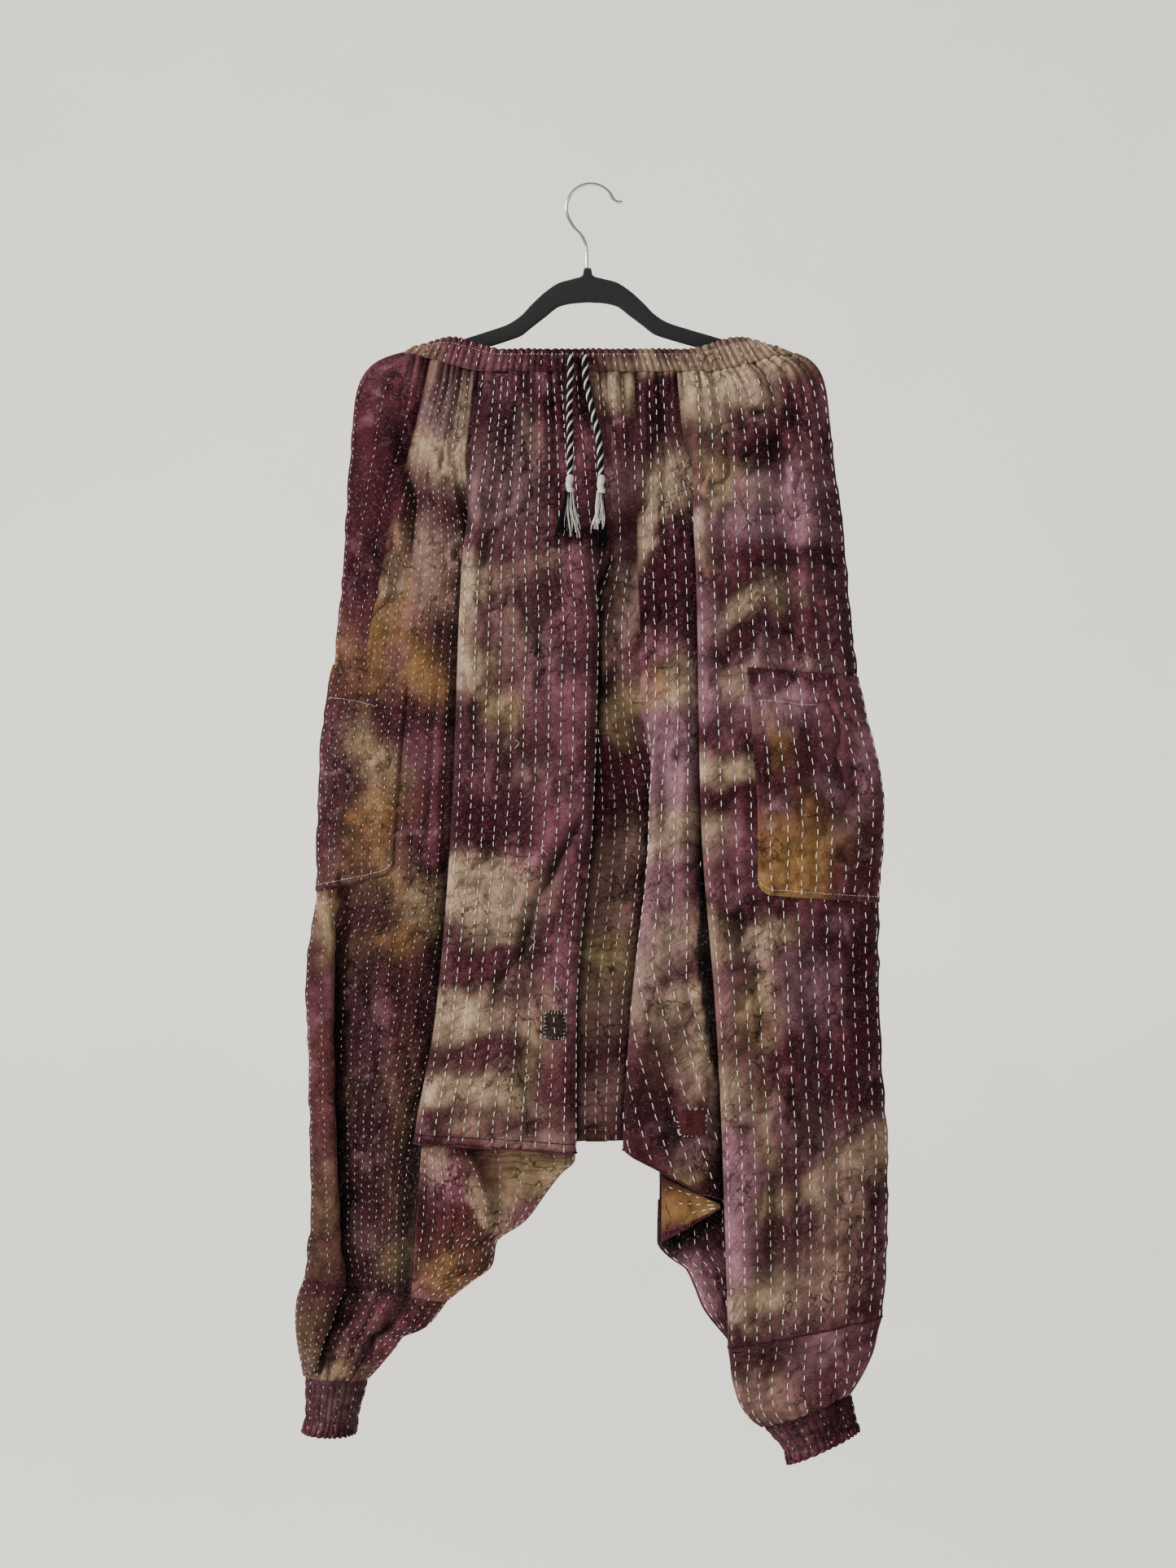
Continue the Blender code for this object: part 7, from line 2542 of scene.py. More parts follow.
def leg_cloth(
    top: Array, fall: Array, table: tuple[LegRing, ...], seam: SeamEnds, zone: Zone, rows: int, shade: Array,
) -> ClothGrid:
    """A lower leg: the leg's ring at its seam turns step by step into a plain oval at the cuff.

    Each place is a mix of the leg's own ring, scaled to the new ends and depths, and of the oval.

    Args:
        top: The leg's ring at its seam.
        fall: The direction down the cloth there.
        table: The lower leg's rings.
        seam: The slanting seam.
        zone: The dye zone.
        rows: How many rows it has.
        shade: The painted shade of the dye at the seam.

    Returns:
        Its grid.
    """
    angle = ring_angles(top)
    low_x, high_x = top[:, 0].min(), top[:, 0].max()
    share = (top[:, 0] - low_x) / (high_x - low_x)
    front_depth, back_depth = top[:, 1].max(), -top[:, 1].min()
    start = LegRing(
        low_x, seam.left_drop + SEAM_GAP, high_x, seam.right_drop + SEAM_GAP, front_depth, back_depth, 0.0
    )
    stops = np.array([start, *table], float)
    at = np.linspace(0, len(stops) - 1, rows)
    left, left_drop, right, right_drop, front, back, plain = (
        steady_curve(at, np.arange(len(stops)), stops[:, i])[:, None] for i in range(7)
    )
    scale = np.where(top[:, 1] > 0, front / front_depth, back / back_depth)
    folded_x, folded_depth = left + (right - left) * share, top[:, 1] * scale
    plain_x, plain_depth = oval(angle, left, right, front, back)
    x = folded_x + (plain_x - folded_x) * np.sin(math.pi / 2 * plain)
    depth = folded_depth + (plain_depth - folded_depth) * plain
    drop = left_drop + (right_drop - left_drop) * (x - left) / (right - left)
    places = np.stack([x, depth, drop], axis=2)
    places[0] = top + fall * SEAM_GAP
    way = np.linspace(0, 1, rows)[:, None]
    places[..., 1] += (settle(places)[..., 1] - places[..., 1]) * smooth(way, 0.0, 0.25)
    gather = 1.5 * np.abs(np.cos(angle * 13 + 0.8 * np.sin(3 * angle))) - 0.9
    near_cuff = smooth(way, 0.55, 1.0)
    places = places + grid_normals(places, True) * (gather * near_cuff)[..., None]
    along = running_length(places[0])
    # Painted shade: the folds' shade carried down from the seam fades out, and the gathers' valleys near the
    # cuff are painted darker.
    deep = 1 + (shade[None] - 1) * (1 - smooth(way, 0.75, 1.0))
    deep = deep * (0.62 + 0.38 * smooth(gather[None] + 0.9, 0.1, 1.2)) ** near_cuff
    return ClothGrid.plain(places, along, zone, True, deep)


@dataclass
class Cuff:
    """A cuff gathered on elastic: ovals whose outside stands out in fine gathers.

    Attributes:
        hem: The lower leg's last ring, which its first ring fits inside.
        table: Its own rings.
        zone: Its dye zone.
        gathers: How many gathers go round.
        bands: How many lines of elastic pinch it.
        rows: Rows of its grid.
        columns: Columns of its grid.
    """

    hem: LegRing
    table: tuple[LegRing, ...]
    zone: Zone
    gathers: int = 30
    bands: int = 4
    rows: int = 26
    columns: int = 260

    def cloth(self) -> tuple[ClothGrid, Array]:
        """Its grid, and the height of its gathers: |cos| round it, pinched at the elastic's lines.

        Returns:
            The grid and the height at each of its places.
        """
        inset = WALL + SEAM_GAP + 0.6
        hem = self.hem
        down = (hem.right_drop - hem.left_drop) / (hem.right - hem.left)
        first = LegRing(hem.left + inset, hem.left_drop + inset * down - 0.5, hem.right - inset,
                        hem.right_drop - inset * down - 0.5, hem.front - inset, hem.back - inset, 1)
        stops = np.array([first, *self.table], float)
        share = np.linspace(0, 1, self.rows)
        place = (0, 0.72, 1.0)
        left, left_drop, right, right_drop, front, back, _ = (
            steady_curve(share, place, stops[:, i])[:, None] for i in range(7)
        )
        angle = turn_round(self.columns)[None]
        x, depth = oval(angle, left, right, front, back)
        drop = left_drop + (right_drop - left_drop) * (x - left) / (right - left)
        phase = angle * self.gathers / 2 + 0.7 * np.sin(3 * angle) + 0.5 * np.sin(7 * angle + 1)
        wave = np.abs(np.cos(phase))
        uneven = 0.75 + 0.35 * noise(angle * 9, share[:, None] * 5, 1.0, 71)
        ruffle = 2.0 * wave * smooth(share, 0.02, 0.16)[:, None] * uneven
        ruffle = ruffle * (0.42 + 0.58 * np.abs(np.sin(math.pi * (self.bands * share + 0.15))))[:, None]
        ruffle = ruffle + 0.9 * smooth(share, 0.75, 1.0)[:, None] * wave
        drop = drop + 1.2 * smooth(share, 0.8, 1.0)[:, None] * (wave - 0.7)
        places = np.stack([x, depth, drop], axis=2)
        along = np.arange(self.columns) * 0.6
        return ClothGrid.plain(places, along, self.zone, True), ruffle


class Cut(NamedTuple):
    """How a length of cloth is cut: its width, length and flat area in metres, how it is held and by what."""

    width: float
    length: float
    area: float
    held: str
    rests_on: tuple[str, ...]


class LowerLeg(NamedTuple):
    """A leg below the crotch: its seam, the gusset's tops, the rings of shin and cuff, and their dyes."""

    side: str
    seam: SeamEnds
    tops: tuple[float, ...]
    rings: tuple[LegRing, ...]
    cuff: tuple[LegRing, ...]
    zone: Zone
    cuff_zone: Zone


LOWER_LEGS = (
    LowerLeg("left", LEFT_SEAM, (928.0, 917.0, 917.0, 925.0, 935.5), LEFT_SHIN, LEFT_CUFF,
             Zone.LEFT_SHIN, Zone.LEFT_CUFF),
    LowerLeg("right", RIGHT_SEAM, (992.5, 970.0, 955.0, 944.0, 935.5), RIGHT_SHIN, RIGHT_CUFF,
             Zone.RIGHT_SHIN, Zone.RIGHT_CUFF),
)


class Pocket(NamedTuple):
    """A patch pocket's outline on its leg, in millimetres across and down, and the row stitched at its mouth.

    Attributes:
        side: Its leg.
        inner_x: Its inner edge.
        top: The drop of its mouth at the leg's outer end.
        bottom: The drop of its foot there.
        inner_top: The drop of its mouth at its inner edge.
        inner_bottom: The drop of its foot there.
        reference: The drop where its width is measured.
        mouth: The columns that the row at its mouth runs over.
        zone: Its dye.
    """

    side: str
    inner_x: float
    top: float
    bottom: float
    inner_top: float
    inner_bottom: float
    reference: float
    mouth: slice
    zone: Zone


POCKETS = (
    Pocket("left", -187, 466, 686, 488, 668, 620, slice(20, 60), Zone.LEFT_LEG),
    Pocket("right", 163, 478, 697, 470, 688, 686, slice(4, 34), Zone.RIGHT_POCKET),
)
POCKET_ROWS, POCKET_COLUMNS, POCKET_BEHIND = 78, 72, 11
POCKET_CORNER = (14.0, 9.8)
LAID_WALL = 1.0
FLAP_WALL = 1.4
FLAP_EDGE = ((927, -140), (940, -124), (968, -124), (991, -111), (1012, -100), (1027, -95))


class SquarePatch(NamedTuple):
    """A square patch of the front and its blanket stitches.

    Attributes:
        name: Its node.
        x: Its middle, across.
        drop: Its middle, down.
        width: Its width.
        height: Its height.
        control: The front's control columns that it lies between.
        colour: Its linear colour.
        count: Blanket stitches to a side.
        inside: How far a stitch reaches in, as a share of the patch.
        outside: How far it reaches out.
        thread: The stitches' finish.
        thickness: Their thickness.
    """

    name: str
    x: float
    drop: float
    width: float
    height: float
    control: tuple[int, int]
    colour: tuple[float, float, float]
    count: int
    inside: float
    outside: float
    thread: Finish
    thickness: float


BROWN_PATCH = SquarePatch("patch_left", -32.5, 812.0, 19.0, 27.0, (4, 9), (0.018, 0.011, 0.009),
                          7, 0.22, 0.12, Finish.THREAD, 0.4)
RED_PATCH = SquarePatch("patch_right", 99.0, 907.0, 24.0, 24.0, (21, 24), (0.050, 0.010, 0.013),
                        15, 0.12, 0.10, Finish.DARK_THREAD, 0.55)
PATCH_ROWS, PATCH_COLUMNS = 17, 15
LOOSE_ENDS = (
    (-55, 728, 14, 3.0), (-30, 770, 9, -2.0), (-60, 860, 8, 2.5), (-42, 640, 10, -2.5), (-70, 540, 8, 2.0),
)


def make_cloth(
    name: str, cloth: ClothGrid, material: bpy.types.Material, slot: str, nodes: Sequence[str],
    thickness: float = WALL, ruffle: Array | None = None, dye: Array | None = None,
) -> None:
    """One wall of cloth with its dye and its weave map, standing for its CAD nodes.

    Args:
        name: The piece's name.
        cloth: Its grid.
        material: Its finish.
        slot: Its slot.
        nodes: The nodes that it stands for.
        thickness: Its wall's thickness.
        ruffle: How far its outer face stands out at each place, or nothing. The inner one follows it.
        dye: Its colours, or nothing for the grid's own.
    """
    places = cloth.places if cloth.closed else cloth.pulled_in()
    outer = places + cloth.normals * (thickness / 2)
    inner = places - cloth.normals * (thickness / 2)
    if ruffle is not None:
        outer = outer + cloth.normals * ruffle[..., None]
        inner = inner + cloth.normals * (ruffle[..., None] * 0.75)
    points = np.concatenate([outer.reshape(-1, 3), inner.reshape(-1, 3)])
    made = make_mesh(name, points, wall_quads(*places.shape[:2], cloth.closed))
    colour = cloth.dye() if dye is None else dye
    add_dye(made, np.concatenate([colour, colour * 0.8]))
    kind = STITCHINGS.get(cloth.zones[0], LONG_STITCH)
    down = np.cumsum(np.linalg.norm(np.diff(places, axis=0, prepend=places[:1]), axis=2), axis=0)
    across = np.broadcast_to((cloth.along - cloth.along[0]) / kind.spacing, down.shape)
    add_uv(made, np.concatenate([across, across]), np.concatenate([down, down]) / kind.pitch)
    dress(made, material, slot, *nodes)


@dataclass
class Waistband:
    """The gathered casing and its frill, which stand on the top edge of the body's panels.

    Attributes:
        form: The body's form.
        materials: The finishes' materials.
        rows: Rows of its grid.
        columns: Columns of its grid.
        gap: How far its lower edge stands off the panels.
        top_middle: The middle of its upper edge, across.
        top_width: That edge's width.
        top_depth: Half its depth.
        top_drop: Its drop in the middle.
        limits: Where one dye gives way to the next, across.
    """

    form: BodyForm
    materials: Materials
    rows: int = 22
    columns: int = 960
    gap: float = 0.55
    top_middle: float = 5.5
    top_width: float = 353.0
    top_depth: float = 9.5
    top_drop: float = 160.5
    limits: tuple[float, ...] = (-105, -5, 50, 91)

    def lower_edge(self) -> tuple[Array, Array]:
        """How far round each column is, and the places of the lower edge, evenly round the ring.

        Returns:
            The lengths round it, and the places.
        """
        rings, whole = self.form.table[:4], self.form.whole
        edge = rings[0] - unit(rings[3] - rings[0]) * self.gap
        at = np.arange(self.columns) * whole / self.columns
        casing, closed = np.append(self.form.casing, whole), np.concatenate([edge, edge[:1]])
        return at, np.stack([np.interp(at, casing, closed[:, axis]) for axis in range(3)], axis=1)

    def build(self) -> None:
        """Makes it: straight from its lower edge to its upper one, which dips beside the neck."""
        at, low = self.lower_edge()
        middle, width = (low[:, 0].min() + low[:, 0].max()) / 2, np.ptp(low[:, 0])
        reach = np.abs(low[:, 0] - middle) / (width / 2)
        top = np.stack([
            self.top_middle + (low[:, 0] - middle) * self.top_width / width,
            low[:, 1] * self.top_depth / np.abs(low[:, 1]).max(),
            self.top_drop - 12.0 * smooth(reach, 0.5, 0.8) + 9.0 * smooth(reach, 0.8, 1.0),
        ], axis=1)
        share = np.linspace(0, 1, self.rows)[:, None]
        places = top + (low - top) * share[..., None]
        places[..., 1] *= 1 + 0.08 * np.sin(math.pi * share)
        wave = self.form.gathers(at)[None]
        frill = 1 - smooth(share, 0.10, 0.24)
        casing = smooth(share, 0.22, 0.34) * (1 - smooth(share, 0.86, 1.0))
        ruffle = wave * (0.75 + 1.5 * frill + 0.55 * casing) + 0.7 * casing - 0.35
        places[..., 2] -= (wave - 0.6) * 1.4 * (1 - smooth(share, 0.0, 0.12))
        kinds = (Zone.LEFT_LEG, Zone.LEFT_CENTRE, Zone.RECESS, Zone.RIGHT_CENTRE, Zone.RIGHT_LEG)
        zones = [kinds[int(np.searchsorted(self.limits, x))] for x in low[:, 0]]
        cloth = ClothGrid(places, at, at, zones, np.full(self.columns, NEVER_HIDDEN), closed=True)
        own = dyed(Zone.WAIST, places[..., 0], places[..., 2])
        # Painted shade in the gathers' valleys.
        painted_valley_shade = 0.55 + 0.45 * smooth(wave + 0 * share, 0.1, 0.7)
        dye = (cloth.dye() * 0.55 + own * 0.45) * painted_valley_shade[..., None]
        material = self.materials[Finish.GATHERED]
        make_cloth("cloth_waistband", cloth, material, "gathered_cotton", ["waistband"],
                   ruffle=ruffle, dye=dye)
        self.sew(cloth, cloth.face(WALL / 2 + ruffle))

    def sew(self, cloth: ClothGrid, face: Array) -> None:
        """A fine row between frill and casing, and short rows down the gathers.

        Args:
            cloth: The waistband's grid.
            face: The places of its outer face.
        """
        sewing = Sewing("stitches_waistband", 23)
        ring = slice(0, self.columns - 1)
        sewing.run(face[5, ring], cloth.normals[5, ring], 2.0, 3.6, width=0.28, high=0.15)
        for column in range(3, self.columns, 13):
            phase = (column * ROW_PHASE) % 1
            sewing.run(face[:, column], cloth.normals[:, column], 4.2, 8.2, 0.6, phase=phase)
        sewing.make(self.materials[Finish.THREAD])


@dataclass
class Pants:
    """The garment: every length of cloth, its sewing, and what lies on it.

    Attributes:
        materials: The finishes' materials.
        form: The body's form.
        rows: Rows of the body's panels.
        cloths: The grids of the lengths of cloth that others are laid on.
    """

    materials: Materials
    form: BodyForm = field(default_factory=BodyForm)
    rows: int = 192
    cloths: dict[str, ClothGrid] = field(default_factory=dict)

    def build(self) -> None:
        """Builds every piece, from the body down to the cuffs, then what lies on it."""
        self.body()
        for leg in LOWER_LEGS:
            self.lower(leg)
        Waistband(self.form, self.materials).build()
        for pocket in POCKETS:
            self.pocket(pocket)
        self.brown_patch()
        self.red_patch()
        self.flap()
        self.welts()
        self.loose_threads()

    def stitched(
        self, name: str, cloth: ClothGrid, nodes: Sequence[str], seed: int, dye: Array | None = None,
        thickness: float = WALL,
    ) -> Sewing:
        """A wall of stitched cloth, and the sewing that its mesh of stitches begins with."""
        material = self.materials[Finish.STITCHED]
        make_cloth("cloth_" + name, cloth, material, "stitched_cotton", nodes, thickness, dye=dye)
        return Sewing("stitches_" + name, seed)

    def body(self) -> None:
        """The legs' outer panels and the two centre panels, with their rows of stitches."""
        marks = self.form.marks
        for side, first, last, seam in (("left", "back left", "front left", LEFT_SEAM),
                                        ("right", "front right", "back right", RIGHT_SEAM)):
            self.cloths["leg_" + side] = self.outer_leg(side, marks[first], marks[last], seam)
        self.cloths["front"] = self.front_center()
        self.cloths["back"] = self.back_center()
        nodes = {
            "leg_left": ("leg_left_front", "leg_left_back"),
            "leg_right": ("leg_right_front", "leg_right_back"),
            "front": ("front_left", "front_recess", "front_right"),
            "back": ("back_center",),
        }
        for name, cloth in self.cloths.items():
            sewing = self.stitched(name, cloth, nodes[name], 31 + len(name) * 7)
            stitch_rows(sewing, cloth, cloth.pulled_in() + cloth.normals * (WALL / 2), top=CASING_DROP + 3)
            sewing.make(self.materials[Finish.THREAD])

    def outer_leg(self, side: str, first: int, last: int, seam: SeamEnds) -> ClothGrid:
        """A leg's outer panel, from the front pleat round the side to the back seam.

        Args:
            side: Left or right.
            first: Its first control column.
            last: Its last one.
            seam: The seam at its foot.

        Returns:
            Its grid.
        """
        form, marks = self.form, self.form.marks
        chosen = form.chosen(first, last)
        foot = form.read(chosen, np.full(len(chosen), seam.left_drop))
        strip, right_end = marks["side strip"] + 4, marks["right end"]

        def zone(at: float) -> Zone:
            """The dye zone of the cloth at a control column.

            Args:
                at: The control column, with its fraction.

            Returns:
                The zone.
            """
            if at > right_end:
                return Zone.BACK
            if side == "right":
                return Zone.RIGHT_LEG
            return Zone.STRIP if at < strip else Zone.LEFT_LEG

        zones = [zone(at) for at in form.control(chosen)]
        return form.panel(first, last, seam.at(foot[:, 0]) - SEAM_GAP / 2, self.rows, zones)

    def front_center(self) -> ClothGrid:
        """The front's centre: the left panel, the recess and the right panel, each over or under the next.

        Returns:
            Its grid.
        """
        form, marks = self.form, self.form.marks
        first, last = marks["front left"], marks["front right"]
        hems = [FOLDS[1].hem_left] + [FOLDS[1].hem_right] * 4
        for before, fold, count in zip(FOLDS[1:], FOLDS[2:], PANEL_POINTS[2:5]):
            rise = (fold.hem_left - before.hem_right) / (count + 1)
            hems += [before.hem_right + rise * i for i in range(1, count + 1)]
            if fold.name == "right pleat":
                hems[-len(RIGHT_CENTRE_HEMS):] = list(RIGHT_CENTRE_HEMS)
                hems += [fold.hem_left] * 2
            else:
                hems += [fold.hem_left] * 3 + [fold.hem_right] * 3
        at = form.control(form.chosen(first, last))
        middle, inner = marks["centre pleat"] + 4, marks["inner pleat"] + 1
        parts = (Zone.LEFT_CENTRE, Zone.RECESS, Zone.RIGHT_CENTRE)
        zones = [parts[int(a >= middle) + int(a >= inner)] for a in at]
        return form.panel(first, last, np.interp(at, np.arange(first, last + 1), hems), self.rows, zones)

    def back_center(self) -> ClothGrid:
        """The back's centre, whose middle closes against the front's recess.

        Returns:
            Its grid.
        """
        form, marks = self.form, self.form.marks
        first, last = marks["back right"], marks["back left"]
        at = form.control(form.chosen(first, last))
        forward = np.interp(at, np.arange(first, last + 1), [c.forward for c in BACK_COLUMNS])
        return form.panel(first, last, 934.0 - 9.0 * forward, self.rows, [Zone.BACK] * len(at))

    def lower(self, leg: LowerLeg) -> None:
        """A leg's gusset, its lower leg and its cuff.

        Args:
            leg: The leg.
        """
        side, thread = leg.side, self.materials[Finish.THREAD]
        gusset = Gusset(side, leg.seam, leg.tops).cloth()
        outer, inner = self.cloths["leg_" + side], gusset.places
        way = 1 if side == "left" else -1
        top = np.concatenate([outer.places[-1], inner[-1, 1:-1]][::way])
        fall = np.concatenate([unit(outer.places[-1] - outer.places[-2]),
                               unit(inner[-1, 1:-1] - inner[-2, 1:-1])][::way])
        # The painted shade of the folds, carried down from the leg's last row.
        deep = np.concatenate([outer.shade[-1], np.ones(inner.shape[1] - 2)][::way])
        shin = leg_cloth(top, fall, leg.rings, leg.seam, leg.zone, 46, deep)
        self.cloths["gusset_" + side], self.cloths["shin_" + side] = gusset, shin
        pieces = (
            ("gusset_" + side, gusset, self.gusset_dye(side, gusset)),
            ("lower_leg_" + side, shin, None),
        )
        sewings = [self.stitched(name, cloth, [name], 57 + len(name), dye) for name, cloth, dye in pieces]
        for sewing, (_, cloth, _) in zip(sewings, pieces):
            stitch_rows(sewing, cloth, cloth.face(WALL / 2))
            sewing.make(thread)
        cloth, ruffle = Cuff(leg.rings[-1], leg.cuff, leg.cuff_zone).cloth()
        # Painted shade in the cuff's gather valleys: the dye is darker where the ruffle is low.
        dye = cloth.dye() * (0.40 + 0.42 * smooth(ruffle, 0.2, 1.6))[..., None]
        make_cloth("cloth_cuff_" + side, cloth, self.materials[Finish.GATHERED], "gathered_cotton",
                   ["cuff_" + side], ruffle=ruffle, dye=dye)
        sewing, face = Sewing("stitches_cuff_" + side, 87), cloth.face(WALL / 2 + ruffle)
        for column in range(5, face.shape[1], 23):
            phase = (column * ROW_PHASE) % 1
            sewing.run(face[:, column], cloth.normals[:, column], 3.0, 9.0, 0.4, phase=phase)
        sewing.make(thread)

    @staticmethod
    def gusset_dye(side: str, cloth: ClothGrid) -> Array:
        """A gusset's dye: the left one has another cloth right of its fold, the right one has painted shadow
        above, under the flap.

        Args:
            side: Left or right.
            cloth: Its grid.

        Returns:
            Its colours.
        """
        x, drop = cloth.places[..., 0], cloth.places[..., 2]
        dye = cloth.dye()
        if side == "right":
            # Painted shadow under the flap: the right gusset goes near black above a slanting line.
            return dye * (0.12 + 0.8 * smooth(drop - 0.55 * (128 - x), 998, 1046))[..., None]
        line = steady_curve(drop, *zip(*FLAP_EDGE))
        return dye + (dyed(Zone.LEFT_FLAP, x, drop) - dye) * smooth(x - line, -2, 2)[..., None]

    def pocket(self, spec: Pocket) -> None:
        """A patch pocket, made from its leg's own grid, moved out.

        Its columns run from behind the leg's outer end to its inner edge, where its foot is cut off
        round. It stands out in a belly, half a sine wave both ways, and in a hem below its mouth.

        Args:
            spec: The pocket.
        """
        leg = self.cloths["leg_" + spec.side]
        inward = 1 if spec.side == "left" else -1
        end = int(np.argmin(inward * leg.places[int(self.rows * 0.56), :, 0]))
        x = leg.places[int(np.argmin(np.abs(leg.places[:, end, 2] - spec.reference))), :, 0]
        front = np.arange(end, len(x)) if inward > 0 else np.arange(end, -1, -1)
        inner = float(np.interp(inward * spec.inner_x, inward * x[front], front))
        columns = np.linspace(end - inward * POCKET_BEHIND, inner, POCKET_COLUMNS)
        across = np.interp(columns, np.arange(len(x)), x)
        lean = np.clip((across - x[end]) / (spec.inner_x - x[end]), 0, 1)
        away = np.clip(1 - inward * (spec.inner_x - across) / POCKET_CORNER[0], 0, 1)
        corner = np.where(inward * (columns - end) > 0, 1 - np.sqrt(1 - away**2), 0.0)
        tops = spec.top + (spec.inner_top - spec.top) * lean
        bottoms = spec.bottom + (spec.inner_bottom - spec.bottom) * lean - corner * POCKET_CORNER[1]
        share = np.linspace(0, 1, POCKET_ROWS)[:, None]
        drops = tops + (bottoms - tops) * share
        number = np.arange(self.rows)
        leg_drops = sample(leg.places[..., 2], *np.meshgrid(number, columns, indexing="ij"))
        pairs = zip(drops.T, leg_drops.T)
        rows = np.stack([np.interp(wanted, found, number) for wanted, found in pairs], axis=1)
        at = (rows, np.broadcast_to(columns, drops.shape))
        belly = 2.4 * np.sin(math.pi * share) ** 0.8 * np.sin(math.pi * lean) ** 0.6
        lift = WALL / 2 + 0.3 + LAID_WALL / 2 + belly + 0.5 * bell(share - 0.035, 0.03)
        places = sample(leg.places, *at) + unit(sample(leg.normals, *at)) * lift[..., None]
        places = places[:, ::inward]
        cloth = ClothGrid.plain(places, running_length(places[30]), spec.zone)
        sewing = self.stitched("pocket_" + spec.side, cloth, ["pocket_" + spec.side], 91 + inward,
                               thickness=LAID_WALL)
        face = cloth.face(LAID_WALL / 2)
        stitch_rows(sewing, cloth, face)
        for place in ((11, spec.mouth), (-3, slice(None))):
            sewing.run(face[place], cloth.normals[place], 2.2, 2.9, width=0.3, high=0.15)
        sewing.make(self.materials[Finish.THREAD])

    def front_columns(self, first: int, last: int) -> tuple[int, int]:
        """The front's fine columns that stand on two of its control columns."""
        start = self.form.marks["front left"]
        begin = self.form.fine(start)
        return self.form.fine(start + first) - begin, self.form.fine(start + last) - begin

    def on_front(self, spec: SquarePatch, u: Array, v: Array, up: float) -> tuple[Array, Array]:
        """Places on a patch's square, and the normals there.

        A corner is pulled in by a fraction that grows with the fourth power of both coordinates.

        Args:
            spec: The patch.
            u: Across it, from -1 to 1.
            v: Down it, from -1 to 1.
            up: How far off the front's middle the places lie.

        Returns:
            The places and the normals.
        """
        pulled = 1 - 0.07 * (np.clip(u, -1, 1) * np.clip(v, -1, 1)) ** 4
        uneven = 1 + 0.02 * np.sin(5 * u + 3 * v)
        x, drop = spec.x + spec.width / 2 * u * pulled * uneven, spec.drop + spec.height / 2 * v * pulled
        return self.cloths["front"].locate(x, drop, *self.front_columns(*spec.control), up)

    def patch(self, spec: SquarePatch) -> tuple[Sewing, np.random.Generator]:
        """A patch and its blanket stitches, as the sewing that they are in and its random numbers.

        Args:
            spec: The patch.

        Returns:
            The sewing and the random numbers.
        """
        lift = WALL / 2 + LAY_GAP + LAID_WALL / 2
        u, v = np.meshgrid(np.linspace(-1, 1, PATCH_COLUMNS), np.linspace(-1, 1, PATCH_ROWS))
        places, _ = self.on_front(spec, u, v, lift)
        cloth = ClothGrid.plain(places, np.linspace(0, spec.width, PATCH_COLUMNS), Zone.BACK)
        weave = 1 + 0.25 * noise(u * spec.width, v * spec.height, 1.7, 11)[..., None]
        make_cloth(spec.name + "_cloth", cloth, self.materials[Finish.PATCH], "patch_cotton", [spec.name],
                   LAID_WALL, dye=np.array(spec.colour) * weave)
        sewing = Sewing("stitches_" + spec.name, 131 + len(spec.name))
        chance = np.random.default_rng(17 + len(spec.name))
        total = 4 * spec.count
        spot = np.tile((np.arange(spec.count) + 0.5) / spec.count * 2 - 1, 4)
        spot = spot + chance.uniform(-0.03, 0.03, total)
        side = np.repeat(np.arange(4), spec.count)
        sign = np.where(side % 2 == 0, 1.0, -1.0)
        inner = 1 - spec.inside * chance.uniform(0.7, 1.2, total)
        outer = 1 + spec.outside * chance.uniform(0.5, 1.2, total)
        lean = chance.uniform(-0.05, 0.05, total)
        ends = []
        for far, beside, up in ((inner, spot, lift + 0.7), (outer, spot + lean, WALL / 2 + 0.2)):
            a, b = np.where(side < 2, beside, sign * far), np.where(side < 2, sign * far, beside)
            ends.append(self.on_front(spec, a, b, up))
        (start, normal), (end, _) = ends
        sewing.stitches(start, (start + end) / 2 + normal * 0.3, end, normal, spec.thickness, 0.2)
        return sewing, chance

    def brown_patch(self) -> None:
        """The left patch, with two upright stitches in its middle."""
        sewing, _ = self.patch(BROWN_PATCH)
        up = WALL / 2 + LAY_GAP + LAID_WALL / 2 + 0.6
        u, v = np.array([-0.06, 0.0]), np.array([-0.62, 0.16])
        (start, normal), (end, _) = (self.on_front(BROWN_PATCH, u, v + fall, up) for fall in (0.0, 0.44))
        sewing.stitches(start, (start + end) / 2, end, normal, 0.8, 0.2)
        sewing.make(self.materials[BROWN_PATCH.thread])

    def red_patch(self) -> None:
        """The right patch, and its frayed edge: short pale hairs that curl outward from it."""
        sewing, chance = self.patch(RED_PATCH)
        sewing.make(self.materials[RED_PATCH.thread])
        count = 26
        turn = chance.uniform(0, 2 * np.pi, count)[:, None]
        share = np.linspace(0, 1, 7)[None]
        length, curl = chance.uniform(0.12, 0.34, (count, 1)), chance.uniform(-0.5, 0.5, (count, 1))
        box = 1 / np.maximum(np.abs(np.cos(turn)), np.abs(np.sin(turn)))
        u = np.cos(turn) * box + length * np.cos(turn + curl * share) * share
        v = np.sin(turn) * box + length * np.sin(turn + curl * share) * share
        places, normals = self.on_front(RED_PATCH, u, v, WALL / 2 + 0.4)
        places = places + normals * (0.8 * np.sin(np.pi * share))[..., None]
        hairs = strand_mesh("fringe", places, np.full((count, 7), 0.16), 3)
        dress(hairs, self.materials[Finish.THREAD], "twisted_cord")

